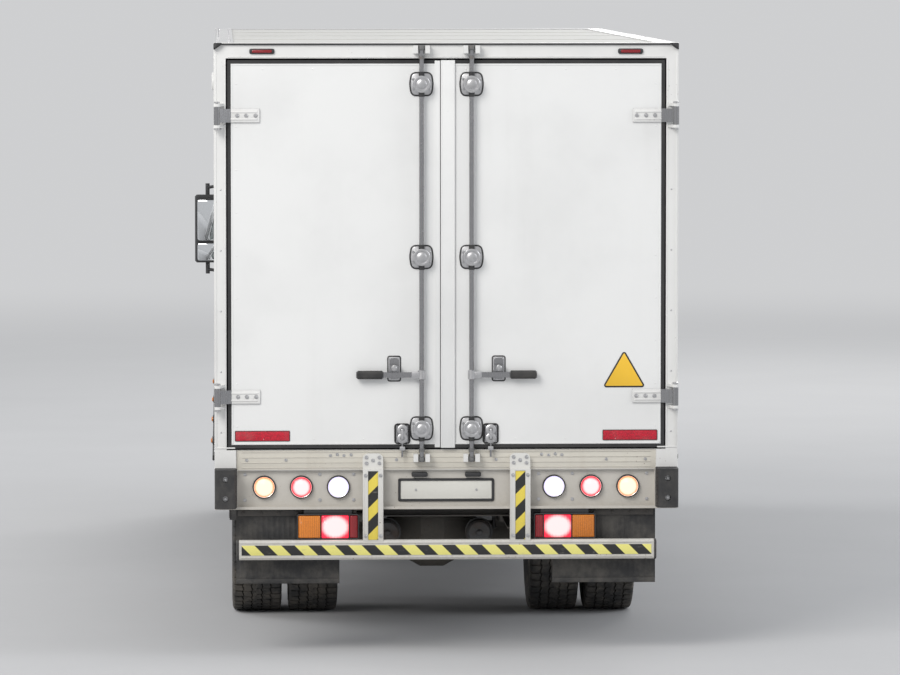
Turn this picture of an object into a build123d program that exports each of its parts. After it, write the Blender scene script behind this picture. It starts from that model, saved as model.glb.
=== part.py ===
from build123d import *
import os

# Refrigerated truck: insulated box body with two rear doors, on a two-axle chassis with a
# tilting cab. Millimetres, +Z up, +Y forward, +X to the truck's right. The origin is on the
# ground, on the centre line, at the middle of the overall length.

# Lengths along the truck
body_length = 6300.0
fridge_depth = 500.0
cab_gap = 120.0
cab_length = 1750.0
bumper_proud = 70.0
buffer_depth = 90.0

# Insulated body
body_width = 2600.0
body_height = 2390.0
floor_thick = 110.0
deck_thick = 25.0
deck_gap = 2.0
wall_thick = 62.0
roof_thick = 81.0
front_wall_thick = 90.0
trim_proud = 6.0
trim_leg = 110.0
trim_radius = 14.0

# Rear frame and doors
frame_depth = 100.0
sill_drop = 5.0
sill_recess = 15.0
foot_width = 120.0
door_gap = 8.0
sill_gap = 10.0
leaf_thick = 85.0
leaf_bevel = 15.0
seam_gap = 12.0
seam_offset = -38.0
seal_width = 20.0
seal_depth = 30.0
strip_width = 80.0
strip_proud = 8.0
hinge_low_inset = 290.0
hinge_high_inset = 309.0
pivot_inset = 18.0
pivot_out = 60.0
hinge_barrel_radius = 17.0
hinge_pin_radius = 9.0
hinge_barrel_half = 50.0
hinge_lug = 16.0
strap_length = 172.0
strap_half = 38.0
strap_thick = 8.0

# Lock rods and handles
rod_x = 140.0
rod_radius = 13.5
rod_out = 32.0
rod_foot_rise = 44.0
rod_head_drop = 15.0
guide_low_inset = 110.0
guide_middle_drop = 14.5
guide_high_inset = 134.0
guide_radius = 47.0
guide_out = 50.0
handle_rise = 413.0
handle_reach = 365.0
handle_tall = 30.0
handle_thick = 12.0
grip_length = 150.0
holder_x = 293.0
holder_width = 53.0
holder_tall = 120.0
catch_x = 248.0
catch_rise = 80.0
catch_width = 70.0
catch_tall = 95.0
keeper_width = 26.0
keeper_tall = 44.0
keeper_clear = 6.5
keeper_out = 46.0

# Lamps, buffers and underrun bar
panel_height = 220.0
panel_recess = 40.0
panel_sheet = 6.0
panel_lip = 15.0
panel_gap = 8.0
lamp_radius = 65.0
lamp_drop = 96.0
lamp_count = 3
lamp_shift = 7.0
lamp_depth = 45.0
cluster_gap = 20.0
cluster_width = 350.0
cluster_tall = 145.0
cluster_drop = 25.0
cluster_depth = 70.0
buffer_width = 120.0
buffer_rise = 12.0
buffer_over = 11.0
buffer_round = 25.0
upright_inset = 12.0
upright_width = 114.0
upright_depth = 50.0
band_width = 57.0
band_recess = 6.0
bar_drop = 280.0
bar_tall = 110.0
bar_depth = 60.0
bar_inset = 130.0
bar_corner = 12.0
flap_inset = 120.0
flap_width = 580.0
flap_drop = 425.0
flap_thick = 8.0

# Cooling unit and air cooler
fridge_height = 960.0
fridge_inset = 350.0
fridge_drop = 20.0
fridge_round = 45.0
slot_count = 7
slot_rise = 260.0
slot_pitch = 70.0
slot_tall = 36.0
slot_deep = 60.0
slot_inset = 160.0
cooler_inset = 532.0
cooler_length = 470.0
cooler_tall = 260.0
cooler_fan_x = 350.0
cooler_fan_drop = 150.0
cooler_fan_radius = 105.0
cooler_fan_deep = 30.0

# Chassis
rail_outer = 425.0
rail_height = 250.0
rail_flange = 75.0
rail_sheet = 8.0
rail_tail_gap = 120.0
rail_nose_gap = 155.0
member_low_gap = 70.0
member_high_gap = 20.0
member_depth = 70.0
runner_height = 42.0
bearer_height = 58.0
bearer_width = 50.0
bearer_count = 10
bearer_inset = 90.0
member_axle_gap = 780.0
member_gearbox_gap = 160.0
member_nose_gap = 130.0
rail_hole_back = 600.0
rail_hole_y = 150.0
rail_hole_z = 100.0
rail_hole_radius = 8.5
tow_x = 375.0
tow_drop = 100.0
tow_boss_radius = 38.0
tow_boss_length = 115.0
tow_bore_radius = 16.0
tow_bore_depth = 60.0

# Wheels, axles and steering
tyre_radius = 465.0
tyre_width = 295.0
bead_radius = 286.0
rim_width = 230.0
rim_sheet = 12.0
twin_spacing = 333.0
twin_centre = 886.0
front_track_half = 1010.0
front_overhang = 1385.0
rear_overhang = 2250.0
kingpin_x = 860.0
kingpin_radius = 20.0
kingpin_boss = 48.0
fit_gap = 0.4
touch_gap = 0.3
axle_end_radius = 45.0
hub_radius = 165.0
stud_circle_radius = 100.0
arm_reach = 200.0
arm_drop = 65.0
track_rod_radius = 18.0
spindle_radius = 36.0
axle_snout = 240.0
snout_rise = 55.0
drum_radius = 200.0
disc_sheet = 12.0
front_disc_face = 110.0
disc_seat = 30.0
spring_width = 75.0
leaf_sheet = 14.0
spring_clamp = 12.0
spring_clamp_half = 70.0
front_spring_rise = 5.0
rear_spring_rise = 80.0
rear_spring_x = 430.0
eye_pin_radius = 16.0
front_spring_x = 422.0
mudguard_gap = 38.0
mudguard_sheet = 6.0
mudguard_clear = 18.0
mudguard_inner_gap = 12.0
mudguard_outer_gap = 15.0
mudguard_arm_y = 340.0
mudguard_arm_tall = 30.0
mudguard_arm_x = 1100.0

# Drive train
engine_half = 330.0
engine_front = 530.0
engine_low = 200.0
engine_high = 390.0
gearbox_gap = 1070.0
gearbox_half = 210.0
gearbox_length = 370.0
gearbox_low = 140.0
gearbox_high = 200.0
shaft_front_length = 1920.0
shaft_radius = 45.0
shaft_drop = 10.0
radiator_half = 340.0
radiator_gap = 305.0
radiator_depth = 110.0
radiator_low = 140.0
radiator_high = 400.0

# Equipment on the chassis
tank_gap = 75.0
tank_length = 1000.0
tank_inner = 95.0
tank_width = 600.0
tank_low = 270.0
tank_high = 200.0
tank_round = 110.0
air_tank_radius = 110.0
air_tank_half = 390.0
air_tank_drop = 170.0
air_tank_places = (280.0, 550.0)
battery_inner = 95.0
battery_width = 560.0
battery_length = 550.0
battery_low = 180.0
battery_high = 160.0
battery_lid = 30.0
silencer_x = 800.0
silencer_radius = 190.0
silencer_drop = 60.0
silencer_length = 680.0
silencer_gap = 400.0
tail_pipe_radius = 45.0
tail_pipe_x = 1090.0
guard_inset = 100.0
guard_sheet = 30.0
guard_post = 40.0
guard_rail_tall = 100.0
guard_low_drop = 220.0
guard_high_rise = 50.0
guard_post_rise = 220.0
guard_front_gap = 650.0
guard_axle_gap = 190.0

# Cab
cab_width = 2320.0
cab_lift = 100.0
cab_wall = 45.0
cab_round = 120.0
cab_step = 60.0
cab_inner_height = 1560.0
screen_rise = 420.0
screen_lean = 315.0
nose_step = 45.0
nose_rise = 240.0
arch_gap = 110.0
arch_foot_rise = 85.0
door_inset = 445.0
door_width = 1020.0
door_arch_gap = 40.0
door_top_gap = 220.0
window_inset = 100.0
window_round = 70.0
screen_low_inset = 150.0
screen_high_inset = 210.0
screen_low_gap = 80.0
screen_high_gap = 200.0
rear_window_inset = 600.0
rear_window_rise = 640.0
rear_window_drop = 400.0
cab_door_gap = 7.0
cab_hinge_places = (150.0, 480.0)
cab_hinge_radius = 11.0
cab_hinge_pin = 5.0
cab_hinge_half = 32.0
cab_hinge_clear = 2.0
glass_thick = 6.0
glass_recess = 8.0
tilt_inset = 105.0
tilt_tube_half = 620.0
tilt_tube_radius = 24.0
bumper_tall = 300.0
bumper_sheet = 55.0
bumper_round = 220.0
headlamp_inset = 150.0
headlamp_width = 310.0
headlamp_tall = 140.0
headlamp_rise = 70.0
step_inset = 280.0
step_gap = 35.0
step_front_gap = 265.0
step_rise = 50.0
step_tread_drop = 100.0
step_tread_inset = 170.0
grille_inset = 360.0
grille_rise = 160.0
grille_tall = 380.0
grille_slats = 5
mirror_out = 290.0
mirror_width = 190.0
mirror_setback = 285.0
mirror_depth = 100.0
mirror_low_rise = 200.0
mirror_tall = 480.0
wheel_x = 560.0
wheel_radius = 215.0
seat_rise = 300.0
seat_inset = 190.0
seat_length = 480.0
seat_tall = 140.0
seat_back_half = 60.0
seat_back_tall = 800.0
seat_round = 40.0

# Heights worked out from the wheels upwards
bearer_low = 2 * tyre_radius + mudguard_gap + mudguard_sheet + mudguard_clear
rail_top = bearer_low - runner_height
rail_bottom = rail_top - rail_height
member_bottom = rail_bottom + member_low_gap
member_top = rail_top - member_high_gap
body_underside = bearer_low + bearer_height
floor_top = body_underside + floor_thick
body_top = body_underside + body_height
roof_under = body_top - trim_proud - roof_thick
sill_bottom = body_underside - sill_drop
panel_bottom = sill_bottom - panel_height
leaf_bottom = floor_top + sill_gap
leaf_top = roof_under - sill_gap
hinge_heights = (leaf_bottom + hinge_low_inset, leaf_top - hinge_high_inset)
guide_heights = (leaf_bottom + guide_low_inset, (leaf_bottom + leaf_top) / 2 - guide_middle_drop,
                 leaf_top - guide_high_inset)
rod_bottom = body_underside + rod_foot_rise
rod_top = body_top - rod_head_drop
handle_height = leaf_bottom + handle_rise
catch_height = leaf_bottom + catch_rise
lamp_height = sill_bottom - lamp_drop
cluster_top = panel_bottom - cluster_drop
cluster_bottom = cluster_top - cluster_tall
buffer_bottom = panel_bottom + buffer_rise
buffer_top = sill_bottom + buffer_over
bar_bottom = panel_bottom - bar_drop
flap_bottom = panel_bottom - flap_drop
shaft_height = rail_bottom
snout_height = tyre_radius + snout_rise
tow_z = rail_bottom - tow_drop
bumper_top = rail_bottom
bumper_bottom = bumper_top - bumper_tall
arch_radius = tyre_radius + arch_gap
door_bottom = tyre_radius + arch_radius + door_arch_gap
cab_bottom = rail_bottom + cab_lift
cab_floor = door_bottom + cab_step
cab_top = cab_floor + cab_inner_height
screen_base = cab_floor + screen_rise
nose_height = cab_floor + nose_rise
door_top = cab_top - door_top_gap
cab_hinge_heights = tuple(door_bottom + place for place in cab_hinge_places)
tilt_z = cab_bottom
grille_bottom = cab_bottom + grille_rise
grille_top = grille_bottom + grille_tall
seat_height = cab_floor + seat_rise

# Places worked out along the truck
overall_length = buffer_depth + body_length + fridge_depth + cab_gap + cab_length + bumper_proud
tail_end = -overall_length / 2
rear_face = tail_end + buffer_depth
body_front = rear_face + body_length
fridge_front = body_front + fridge_depth
cab_back = fridge_front + cab_gap
cab_front = cab_back + cab_length
front_end = cab_front + bumper_proud
frame_front = rear_face + frame_depth
wall_front = body_front - trim_proud
inside_front = wall_front - front_wall_thick
pivot_y = rear_face - pivot_out
rear_axle_y = rear_face + rear_overhang
front_axle_y = front_end - front_overhang
gearbox_back = front_axle_y - gearbox_gap
shaft_bearing_y = gearbox_back - shaft_front_length
rail_front = cab_front - rail_nose_gap
radiator_back = cab_front - radiator_gap - radiator_depth
tank_front = body_front - tank_gap
tank_back = tank_front - tank_length
door_front = cab_front - door_inset
door_back = door_front - door_width
door_axis_y = door_front - cab_door_gap / 2
tilt_y = cab_front - tilt_inset
step_back = front_axle_y + arch_radius + step_gap
step_front = front_end - step_front_gap
bumper_back = step_back + 60.0
seat_back = cab_back + seat_inset

# Places worked out across the truck
side_x = body_width / 2
panel_x = side_x - trim_proud
inner_x = panel_x - wall_thick
leaf_edge = inner_x - door_gap
right_seam = seam_offset + seam_gap / 2
left_seam = seam_offset - seam_gap / 2
pivot_x = side_x - pivot_inset
panel_half = side_x - buffer_width - panel_gap
upright_x = rail_outer - upright_inset
upright_edge = upright_x + upright_width / 2
lamp_gap = (panel_half - upright_edge - 2 * lamp_count * lamp_radius) / (lamp_count + 1)
lamp_places = [upright_edge + (2 * place + 1) * lamp_radius + (place + 1) * lamp_gap - lamp_shift
               for place in range(lamp_count)]
cluster_inner = upright_edge + cluster_gap
cluster_outer = cluster_inner + cluster_width
bar_half = side_x - bar_inset
flap_outer = side_x - flap_inset
flap_inner = flap_outer - flap_width
bearer_half = side_x - bearer_inset
guard_outer = side_x - guard_inset
cab_half = cab_width / 2
mirror_reach = cab_half + mirror_out
grille_half = cab_half - grille_inset
outer_twin_x = twin_centre + twin_spacing / 2
inner_twin_x = twin_centre - twin_spacing / 2


# Shapes in common use

def block(x0, x1, y0, y1, z0, z1):
    """Box between two planes on each axis."""
    centre = Pos((x0 + x1) / 2, (y0 + y1) / 2, (z0 + z1) / 2)
    return centre * Box(x1 - x0, y1 - y0, z1 - z0)


def face_of(*points):
    """Flat face inside a closed outline of straight lines."""
    return make_face(Polyline(*points, close=True))


def round_face(points, radius):
    """Flat face with every corner rounded."""
    corner = face_of(*points)
    return fillet(corner.vertices(), radius)


def along_x(face, x0, x1):
    """Carry a (y, z) face from one x to another."""
    return extrude(Plane.YZ.offset(x0) * face, amount=x1 - x0)


def along_y(face, y0, y1):
    """Carry an (x, z) face from one y to another."""
    return extrude(Plane.XZ.offset(-y1) * face, amount=y1 - y0)


def along_z(face, z0, z1):
    """Carry an (x, y) face from one z to another."""
    return extrude(Plane.XY.offset(z0) * face, amount=z1 - z0)


def rod(radius, start, end):
    """Round bar between two points."""
    line = Line(start, end)
    return extrude(Plane(origin=start, z_dir=line % 0) * Circle(radius), amount=line.length)


def other_side(shape):
    """The same shape on the truck's other side."""
    return mirror(shape, about=Plane.YZ)


def both_sides(shape):
    """A right-hand shape with its left-hand twin."""
    return shape + other_side(shape)


def group(*shapes):
    """Separate solids kept together in one node."""
    return Compound([solid for shape in shapes for solid in shape.solids()])


def turned(points, x_shift=0.0, y=0.0, z=0.0):
    """Solid of revolution about a cross axis from an (x, radius) outline."""
    face = face_of(*points)
    return Pos(x_shift, y, z) * revolve(face, axis=Axis.X)


# Insulated body

def deck_space(gap):
    """Space of the load deck between the walls, smaller by a gap."""
    half = inner_x - gap
    return block(-half, half, frame_front + gap, inside_front - gap, floor_top - deck_thick, floor_top)


def box_floor():
    """Insulated floor panel with a recess for the load deck."""
    panel = block(-panel_x, panel_x, frame_front, inside_front, body_underside, floor_top)
    return panel - deck_space(0)


def box_right_wall():
    """Side wall between floor and roof."""
    return block(inner_x, panel_x, frame_front, inside_front, floor_top, roof_under)


def box_roof():
    """Roof panel over both side walls."""
    return block(-panel_x, panel_x, frame_front, inside_front, roof_under, body_top - trim_proud)


def box_front_wall():
    """Front wall over the whole height, closing floor, walls and roof."""
    top = body_top - trim_proud
    return block(-panel_x, panel_x, inside_front, wall_front, body_underside, top)


def angle_trim(leg, sheet, radius):
    """Right-angle cover strip with a rounded outer corner, in its own two axes."""
    outline = face_of((0, 0), (-leg, 0), (-leg, -sheet), (-sheet, -sheet), (-sheet, -leg), (0, -leg))
    corner = outline.vertices().sort_by_distance((0, 0, 0))[0]
    return fillet(corner, radius)


def box_trim():
    """Metal cover strips along the long edges and the front edges of the body."""
    strip = angle_trim(trim_leg, trim_proud, trim_radius)
    top = along_y(Pos(side_x, body_top) * strip, frame_front, wall_front)
    foot = block(panel_x, side_x, frame_front, wall_front, body_underside, body_underside + trim_leg)
    post = along_z(Pos(side_x, body_front) * strip, body_underside, body_top)
    post -= block(0, panel_x, frame_front, wall_front, body_underside, body_top)
    side = top + foot + post
    brow = along_x(Pos(body_front, body_top) * strip, -panel_x, panel_x)
    brow -= block(-panel_x, panel_x, frame_front, wall_front, body_underside, body_top - trim_proud)
    return both_sides(side) + brow


# Rear frame

def rod_keepers(height):
    """Pair of lugs beside each lock rod's end, open to the rear."""
    reach = rod_radius + keeper_clear
    lug = block(rod_x + reach, rod_x + reach + keeper_width, rear_face - keeper_out,
                rear_face + sill_recess, height - keeper_tall / 2, height + keeper_tall / 2)
    pair = lug + mirror(lug, about=Plane.YZ.offset(rod_x))
    return both_sides(pair)


def hinge_lugs():
    """Lugs and pins on the posts that carry the door hinges."""
    half = hinge_barrel_half + 2.0
    lug = face_of((inner_x + door_gap, rear_face + 1), (side_x, rear_face + 1),
                  (side_x, pivot_y), (pivot_x, pivot_y), (pivot_x - hinge_barrel_radius, pivot_y + 8))
    lug += Pos(pivot_x, pivot_y) * Circle(hinge_barrel_radius)
    lugs = Part()
    for height in hinge_heights:
        lugs += along_z(lug, height + half, height + half + hinge_lug)
        lugs += along_z(lug, height - half - hinge_lug, height - half)
        lugs += rod(hinge_pin_radius, (pivot_x, pivot_y, height - half - hinge_lug - 8),
                    (pivot_x, pivot_y, height + half + hinge_lug + 8))
    return lugs


def rear_frame():
    """Door posts, header and recessed sill in one welded frame, with hinge lugs and rod keepers."""
    frame = block(-side_x, side_x, rear_face, frame_front, sill_bottom, body_top)
    frame -= block(-inner_x, inner_x, rear_face, frame_front, floor_top, roof_under)
    sill_half = side_x - foot_width
    frame -= block(-sill_half, sill_half, rear_face, rear_face + sill_recess, sill_bottom, floor_top)
    rib_pitch = (floor_top - sill_bottom) / 4
    for step in (1, 2, 3):
        height = sill_bottom + step * rib_pitch
        groove = rod(3.0, (-sill_half, rear_face + sill_recess, height),
                     (sill_half, rear_face + sill_recess, height))
        frame -= groove
    frame += both_sides(hinge_lugs())
    frame += rod_keepers(rod_bottom + keeper_tall / 2)
    frame += rod_keepers(rod_top - keeper_tall / 2)
    return frame


def lamp_panel():
    """Channel across the tail under the sill, with the blocks that carry the buffers."""
    web = rear_face + panel_recess
    channel = face_of((web, sill_bottom), (web + panel_sheet, sill_bottom),
                      (web + panel_sheet, panel_bottom), (rear_face, panel_bottom),
                      (rear_face, panel_bottom + panel_lip),
                      (rear_face + panel_sheet, panel_bottom + panel_lip),
                      (rear_face + panel_sheet, panel_bottom + panel_sheet),
                      (web, panel_bottom + panel_sheet))
    panel = along_x(channel, -panel_half, panel_half)
    end = block(panel_half, side_x, rear_face, frame_front, panel_bottom, sill_bottom)
    return panel + both_sides(end)


def corner_buffers():
    """Rubber blocks at both rear corners, rounded towards the rear, each with two bolt holes."""
    x0 = side_x - buffer_width
    plan = face_of((x0, rear_face), (x0, tail_end), (side_x, tail_end), (side_x, rear_face))
    rear_corners = plan.vertices().sort_by(Axis.Y)[:2]
    plan = fillet(rear_corners, buffer_round)
    buffer = along_z(plan, buffer_bottom, buffer_top)
    middle = (x0 + side_x) / 2
    for share in (0.25, 0.75):
        height = buffer_bottom + share * (buffer_top - buffer_bottom)
        buffer -= rod(16.0, (middle, tail_end, height), (middle, tail_end + 30, height))
    return both_sides(buffer)


def rear_lamps():
    """Round lamps in the panel and the lamp clusters hung under it."""
    lamps = Part()
    web = rear_face + panel_recess
    for place in lamp_places:
        lens = turned(((0, 0), (0, lamp_radius), (lamp_depth * 0.7, lamp_radius),
                       (lamp_depth, lamp_radius - 12), (lamp_depth, 0)))
        lamps += Pos(place, web, lamp_height) * (Rot(0, 0, -90) * lens)
    cluster = block(cluster_inner, cluster_outer, rear_face - panel_lip,
                    rear_face - panel_lip + cluster_depth,
                    cluster_bottom, cluster_top)
    cluster = fillet(cluster.edges().filter_by(Axis.Y), 12)
    hanger = block(cluster_inner + 40, cluster_outer - 40, rear_face + panel_sheet,
                   rear_face + panel_recess, cluster_top, panel_bottom)
    return both_sides(lamps + cluster + hanger)


def underrun_bar():
    """Underrun bar across the tail on two uprights that are bolted to the sill."""
    bar_face = round_face(((rear_face - upright_depth, bar_bottom),
                           (rear_face - upright_depth + bar_depth, bar_bottom),
                           (rear_face - upright_depth + bar_depth, bar_bottom + bar_tall),
                           (rear_face - upright_depth, bar_bottom + bar_tall)), bar_corner)
    bar = along_x(bar_face, -bar_half, bar_half)
    bar_top = bar_bottom + bar_tall
    x0 = upright_x - upright_width / 2
    x1 = upright_x + upright_width / 2
    upright = block(x0, x1, rear_face - upright_depth, rear_face - 1, bar_top - 20, sill_bottom + 8)
    upright -= block(upright_x - band_width / 2, upright_x + band_width / 2, rear_face - upright_depth,
                     rear_face - upright_depth + band_recess, bar_top, sill_bottom)
    head = round_face(((x0, sill_bottom - 30), (x1, sill_bottom - 30), (x1, floor_top - 20),
                       (x0, floor_top - 20)), 30)
    head = along_y(head, rear_face - 14, rear_face + sill_recess)
    head -= block(x0, x1, rear_face - 1, rear_face + sill_recess, sill_bottom - 40, sill_bottom)
    return bar + both_sides(upright + head)


# Rear doors

def leaf_block(seam, grow, y0, y1):
    """Right-hand door leaf as a plain block, from its seam to its hinge edge."""
    return block(seam - grow, leaf_edge + grow, y0, y1, leaf_bottom - grow, leaf_top + grow)


def rear_door(seam):
    """Insulated leaf with a bevelled inner edge and a rebate for its seal."""
    inner = rear_face + leaf_thick
    leaf = leaf_block(seam, 0, rear_face, inner)
    leaf = chamfer(leaf.faces().sort_by(Axis.Y)[-1].edges(), leaf_bevel)
    rim = leaf_block(seam, 0, rear_face, rear_face + seal_depth)
    rim -= leaf_block(seam, -seal_width, rear_face, rear_face + seal_depth)
    return leaf - rim


def door_seal(seam):
    """Rubber ring in the leaf's rebate."""
    ring = leaf_block(seam, 0, rear_face, rear_face + seal_depth)
    return ring - leaf_block(seam, -seal_width, rear_face, rear_face + seal_depth)


def hinge_strap(height):
    """Hinge strap on the leaf's face, bent out to its barrel."""
    edge = leaf_edge - 8
    plan = face_of((edge - strap_length, rear_face), (edge, rear_face),
                   (pivot_x + 6, pivot_y + 10), (pivot_x - 6, pivot_y - 10),
                   (edge - 14, rear_face - strap_thick),
                   (edge - strap_length, rear_face - strap_thick))
    strap = along_z(plan, height - strap_half, height + strap_half)
    barrel = Pos(pivot_x, pivot_y) * (Circle(hinge_barrel_radius))
    strap += along_z(barrel, height - hinge_barrel_half, height + hinge_barrel_half)
    bore = Pos(pivot_x, pivot_y) * Circle(hinge_pin_radius + fit_gap)
    return strap - along_z(bore, height - hinge_barrel_half, height + hinge_barrel_half)


def door_hardware(seam, strip):
    """Lock rod with guides, handle, holder, catch, hinge straps and the seam strip."""
    rod_y = rear_face - rod_out
    metal = rod(rod_radius, (rod_x, rod_y, rod_bottom), (rod_x, rod_y, rod_top))
    for height in guide_heights:
        metal += rod(guide_radius, (rod_x, rear_face - guide_out, height), (rod_x, rear_face, height))
    end = rod_x + handle_reach
    low = handle_height - handle_tall / 2
    high = handle_height + handle_tall / 2
    metal += block(rod_x, end, rod_y - handle_thick / 2, rod_y + handle_thick / 2, low, high)
    grip = block(end - grip_length, end, rod_y - handle_thick, rod_y + handle_thick, low - 4, high + 4)
    metal += fillet(grip.edges().filter_by(Axis.X), 9)
    x0 = holder_x - holder_width / 2
    x1 = holder_x + holder_width / 2
    holder = block(x0, x1, rear_face - 8, rear_face, low - 12, low - 12 + holder_tall)
    holder += block(x0, x1, rod_y - 20, rear_face, high + 6, high + 40)
    metal += holder + block(x0, x1, rod_y + handle_thick / 2, rear_face, low, high)
    catch = block(catch_x - catch_width / 2, catch_x + catch_width / 2, rear_face - 22, rear_face,
                  catch_height - catch_tall / 2, catch_height + catch_tall / 2)
    catch = fillet(catch.edges().filter_by(Axis.Z), 8)
    bolt = rod(6.0, (catch_x, rear_face - 12, floor_top - 40), (catch_x, rear_face - 12, catch_height))
    pieces = [metal, catch + bolt]
    pieces += [hinge_strap(height) for height in hinge_heights]
    if strip:
        pieces.append(block(seam, seam + strip_width, rear_face - strip_proud, rear_face, leaf_bottom,
                            leaf_top))
    return group(*pieces)


# Refrigeration

def fridge_unit():
    """Refrigeration unit on the front wall, with a sloped, rounded casing and open air slots."""
    high = body_top - trim_leg - fridge_drop
    low = high - fridge_height
    half = side_x - fridge_inset
    profile = face_of((wall_front, low), (fridge_front - 90, low), (fridge_front, low + 170),
                      (fridge_front, high - 190), (fridge_front - 110, high), (wall_front, high))
    casing = along_x(profile, -half, half)
    ends = [edge for edge in casing.edges() if abs(abs(edge.center().X) - half) < 1
            and edge.center().Y > wall_front + 1]
    casing = fillet(ends, fridge_round)
    slot_half = half - slot_inset
    for step in range(slot_count):
        height = low + slot_rise + step * slot_pitch
        casing -= block(-slot_half, slot_half, fridge_front - slot_deep, fridge_front, height,
                        height + slot_tall)
    return casing


def evaporator():
    """Air cooler under the roof against the front wall, with two fan openings."""
    back = inside_front - cooler_length
    low = roof_under - cooler_tall
    half = inner_x - cooler_inset
    profile = face_of((inside_front, low + 90), (back, low), (back, roof_under - 60),
                      (back + 60, roof_under), (inside_front, roof_under))
    case = along_x(profile, -half, half)
    height = roof_under - cooler_fan_drop
    for place in (-cooler_fan_x, cooler_fan_x):
        case -= rod(cooler_fan_radius, (place, back, height), (place, back + cooler_fan_deep, height))
    return case


# Chassis

def rail():
    """Right-hand frame rail, a channel open to the inside."""
    edge = rail_outer - rail_flange
    web = rail_outer - rail_sheet
    channel = face_of((rail_outer, rail_bottom), (rail_outer, rail_top), (edge, rail_top),
                      (edge, rail_top - rail_sheet), (web, rail_top - rail_sheet),
                      (web, rail_bottom + rail_sheet), (edge, rail_bottom + rail_sheet),
                      (edge, rail_bottom))
    return along_y(channel, rear_face + rail_tail_gap, rail_front)


def cross_member(y):
    """Channel between the rails, open to the rear."""
    inside = rail_outer - rail_sheet
    channel = face_of((y, member_bottom), (y + member_depth, member_bottom), (y + member_depth, member_top),
                      (y, member_top), (y, member_top - rail_sheet),
                      (y + member_depth - rail_sheet, member_top - rail_sheet),
                      (y + member_depth - rail_sheet, member_bottom + rail_sheet),
                      (y, member_bottom + rail_sheet))
    return along_x(channel, -inside, inside)


def spring_hanger(x, y, eye):
    """Two cheeks under the rail with the pin of a spring eye."""
    cheek = face_of((y - 60, rail_bottom), (y + 60, rail_bottom), (y + 28, eye - 28), (y - 28, eye - 28))
    near = spring_width / 2 + 2
    far = near + 14
    hanger = along_x(cheek, x - far, x - near) + along_x(cheek, x + near, x + far)
    hanger += block(x - far, x + far, y - 60, y + 60, rail_bottom - 30, rail_bottom)
    return hanger + rod(eye_pin_radius, (x - far, y, eye), (x + far, y, eye))


# Steel springs: x centre, axle y, leaf underside at the axle, half length, camber, leaf count
spring_table = (
    (front_spring_x, front_axle_y, tyre_radius + front_spring_rise, 640.0, 70.0, 4),
    (rear_spring_x, rear_axle_y, tyre_radius + rear_spring_rise, 700.0, 20.0, 5),
)


def spring_eye(low, camber, leaves):
    """Height of a spring's eyes above ground."""
    return low + camber + leaf_sheet * (leaves - 0.5)


def leaf_spring(x, y, low, half, camber, leaves):
    """Stack of curved leaves with rolled eyes, clamped in the middle."""
    bend = (half * half + camber * camber) / (2 * camber)
    centre = low + bend
    pack = Part()
    for step in range(leaves):
        outer = bend - step * leaf_sheet
        reach = half * (1.0 - 0.16 * (leaves - 1 - step)) if step < leaves - 1 else half
        ring = Circle(outer) - Circle(outer - leaf_sheet)
        window = Pos(0, -bend) * Rectangle(2 * reach, bend)
        pack += along_x(Pos(y, centre) * (ring & window), x - spring_width / 2, x + spring_width / 2)
    eye_height = spring_eye(low, camber, leaves)
    for side in (-half, half):
        eye = Pos(y + side, eye_height) * Circle(28)
        pack += along_x(eye, x - spring_width / 2, x + spring_width / 2)
        pack -= rod(eye_pin_radius + fit_gap, (x - spring_width, y + side, eye_height),
                    (x + spring_width, y + side, eye_height))
    reach = spring_width / 2 + spring_clamp
    top = low + leaf_sheet * leaves
    clamp = block(x - reach, x + reach, y - spring_clamp_half, y + spring_clamp_half, low - spring_clamp,
                  top + 14)
    clamp -= block(x - reach, x + reach, y - 40, y + 40, top + 6, low + 400)
    return pack + clamp


def frame_rails():
    """Two frame rails with the bolt pattern near the tail."""
    rails = both_sides(rail())
    for y in (-rail_hole_y / 2, rail_hole_y / 2):
        for z in (-rail_hole_z / 2, rail_hole_z / 2):
            place = (rear_face + rail_hole_back + y, (rail_bottom + rail_top) / 2 + z)
            rails -= rod(rail_hole_radius, (-rail_outer - 5, *place), (rail_outer + 5, *place))
    return rails


def cross_members():
    """Channels that join the rails, from the tail to the cab."""
    tail = rear_face + rail_tail_gap
    places = (tail + 15, rear_axle_y - member_axle_gap, rear_axle_y + member_axle_gap, shaft_bearing_y,
              gearbox_back - member_gearbox_gap, rail_front - member_nose_gap)
    return group(*[cross_member(y) for y in places])


def frame_brackets():
    """Spring hangers under the rails, and the cab's rests, tilt plates and tilt tube."""
    pieces = []
    for x, y, low, half, camber, leaves in spring_table:
        eye = spring_eye(low, camber, leaves)
        for end in (-half, half):
            pieces.append(spring_hanger(x, y + end, eye))
    tube = rod(tilt_tube_radius, (-tilt_tube_half, tilt_y, tilt_z), (tilt_tube_half, tilt_y, tilt_z))
    tilt_plate = round_face(((rail_front - 160, rail_bottom + 20), (rail_front - 160, rail_top - 20),
                             (tilt_y + 20, tilt_z + 30), (tilt_y + 20, tilt_z - 40)), 12)
    pieces.append(along_x(tilt_plate, rail_outer, rail_outer + 14) - tube)
    pieces.append(block(rail_outer - rail_flange, rail_outer, cab_back + 40, cab_back + 120,
                        rail_top, cab_floor - touch_gap))
    right = group(*pieces)
    return group(right, other_side(right), tube)


def subframe():
    """Long bearers on the rails and the cross bearers under the floor."""
    inside = rail_outer - rail_flange
    bearer_low = body_underside - bearer_height
    runner = block(inside, rail_outer, frame_front, wall_front, rail_top, bearer_low)
    pieces = [runner, other_side(runner)]
    pitch = (wall_front - frame_front - bearer_width) / (bearer_count - 1)
    for step in range(bearer_count):
        y = frame_front + step * pitch
        pieces.append(block(-bearer_half, bearer_half, y, y + bearer_width, bearer_low, body_underside))
    return group(*pieces)


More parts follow.
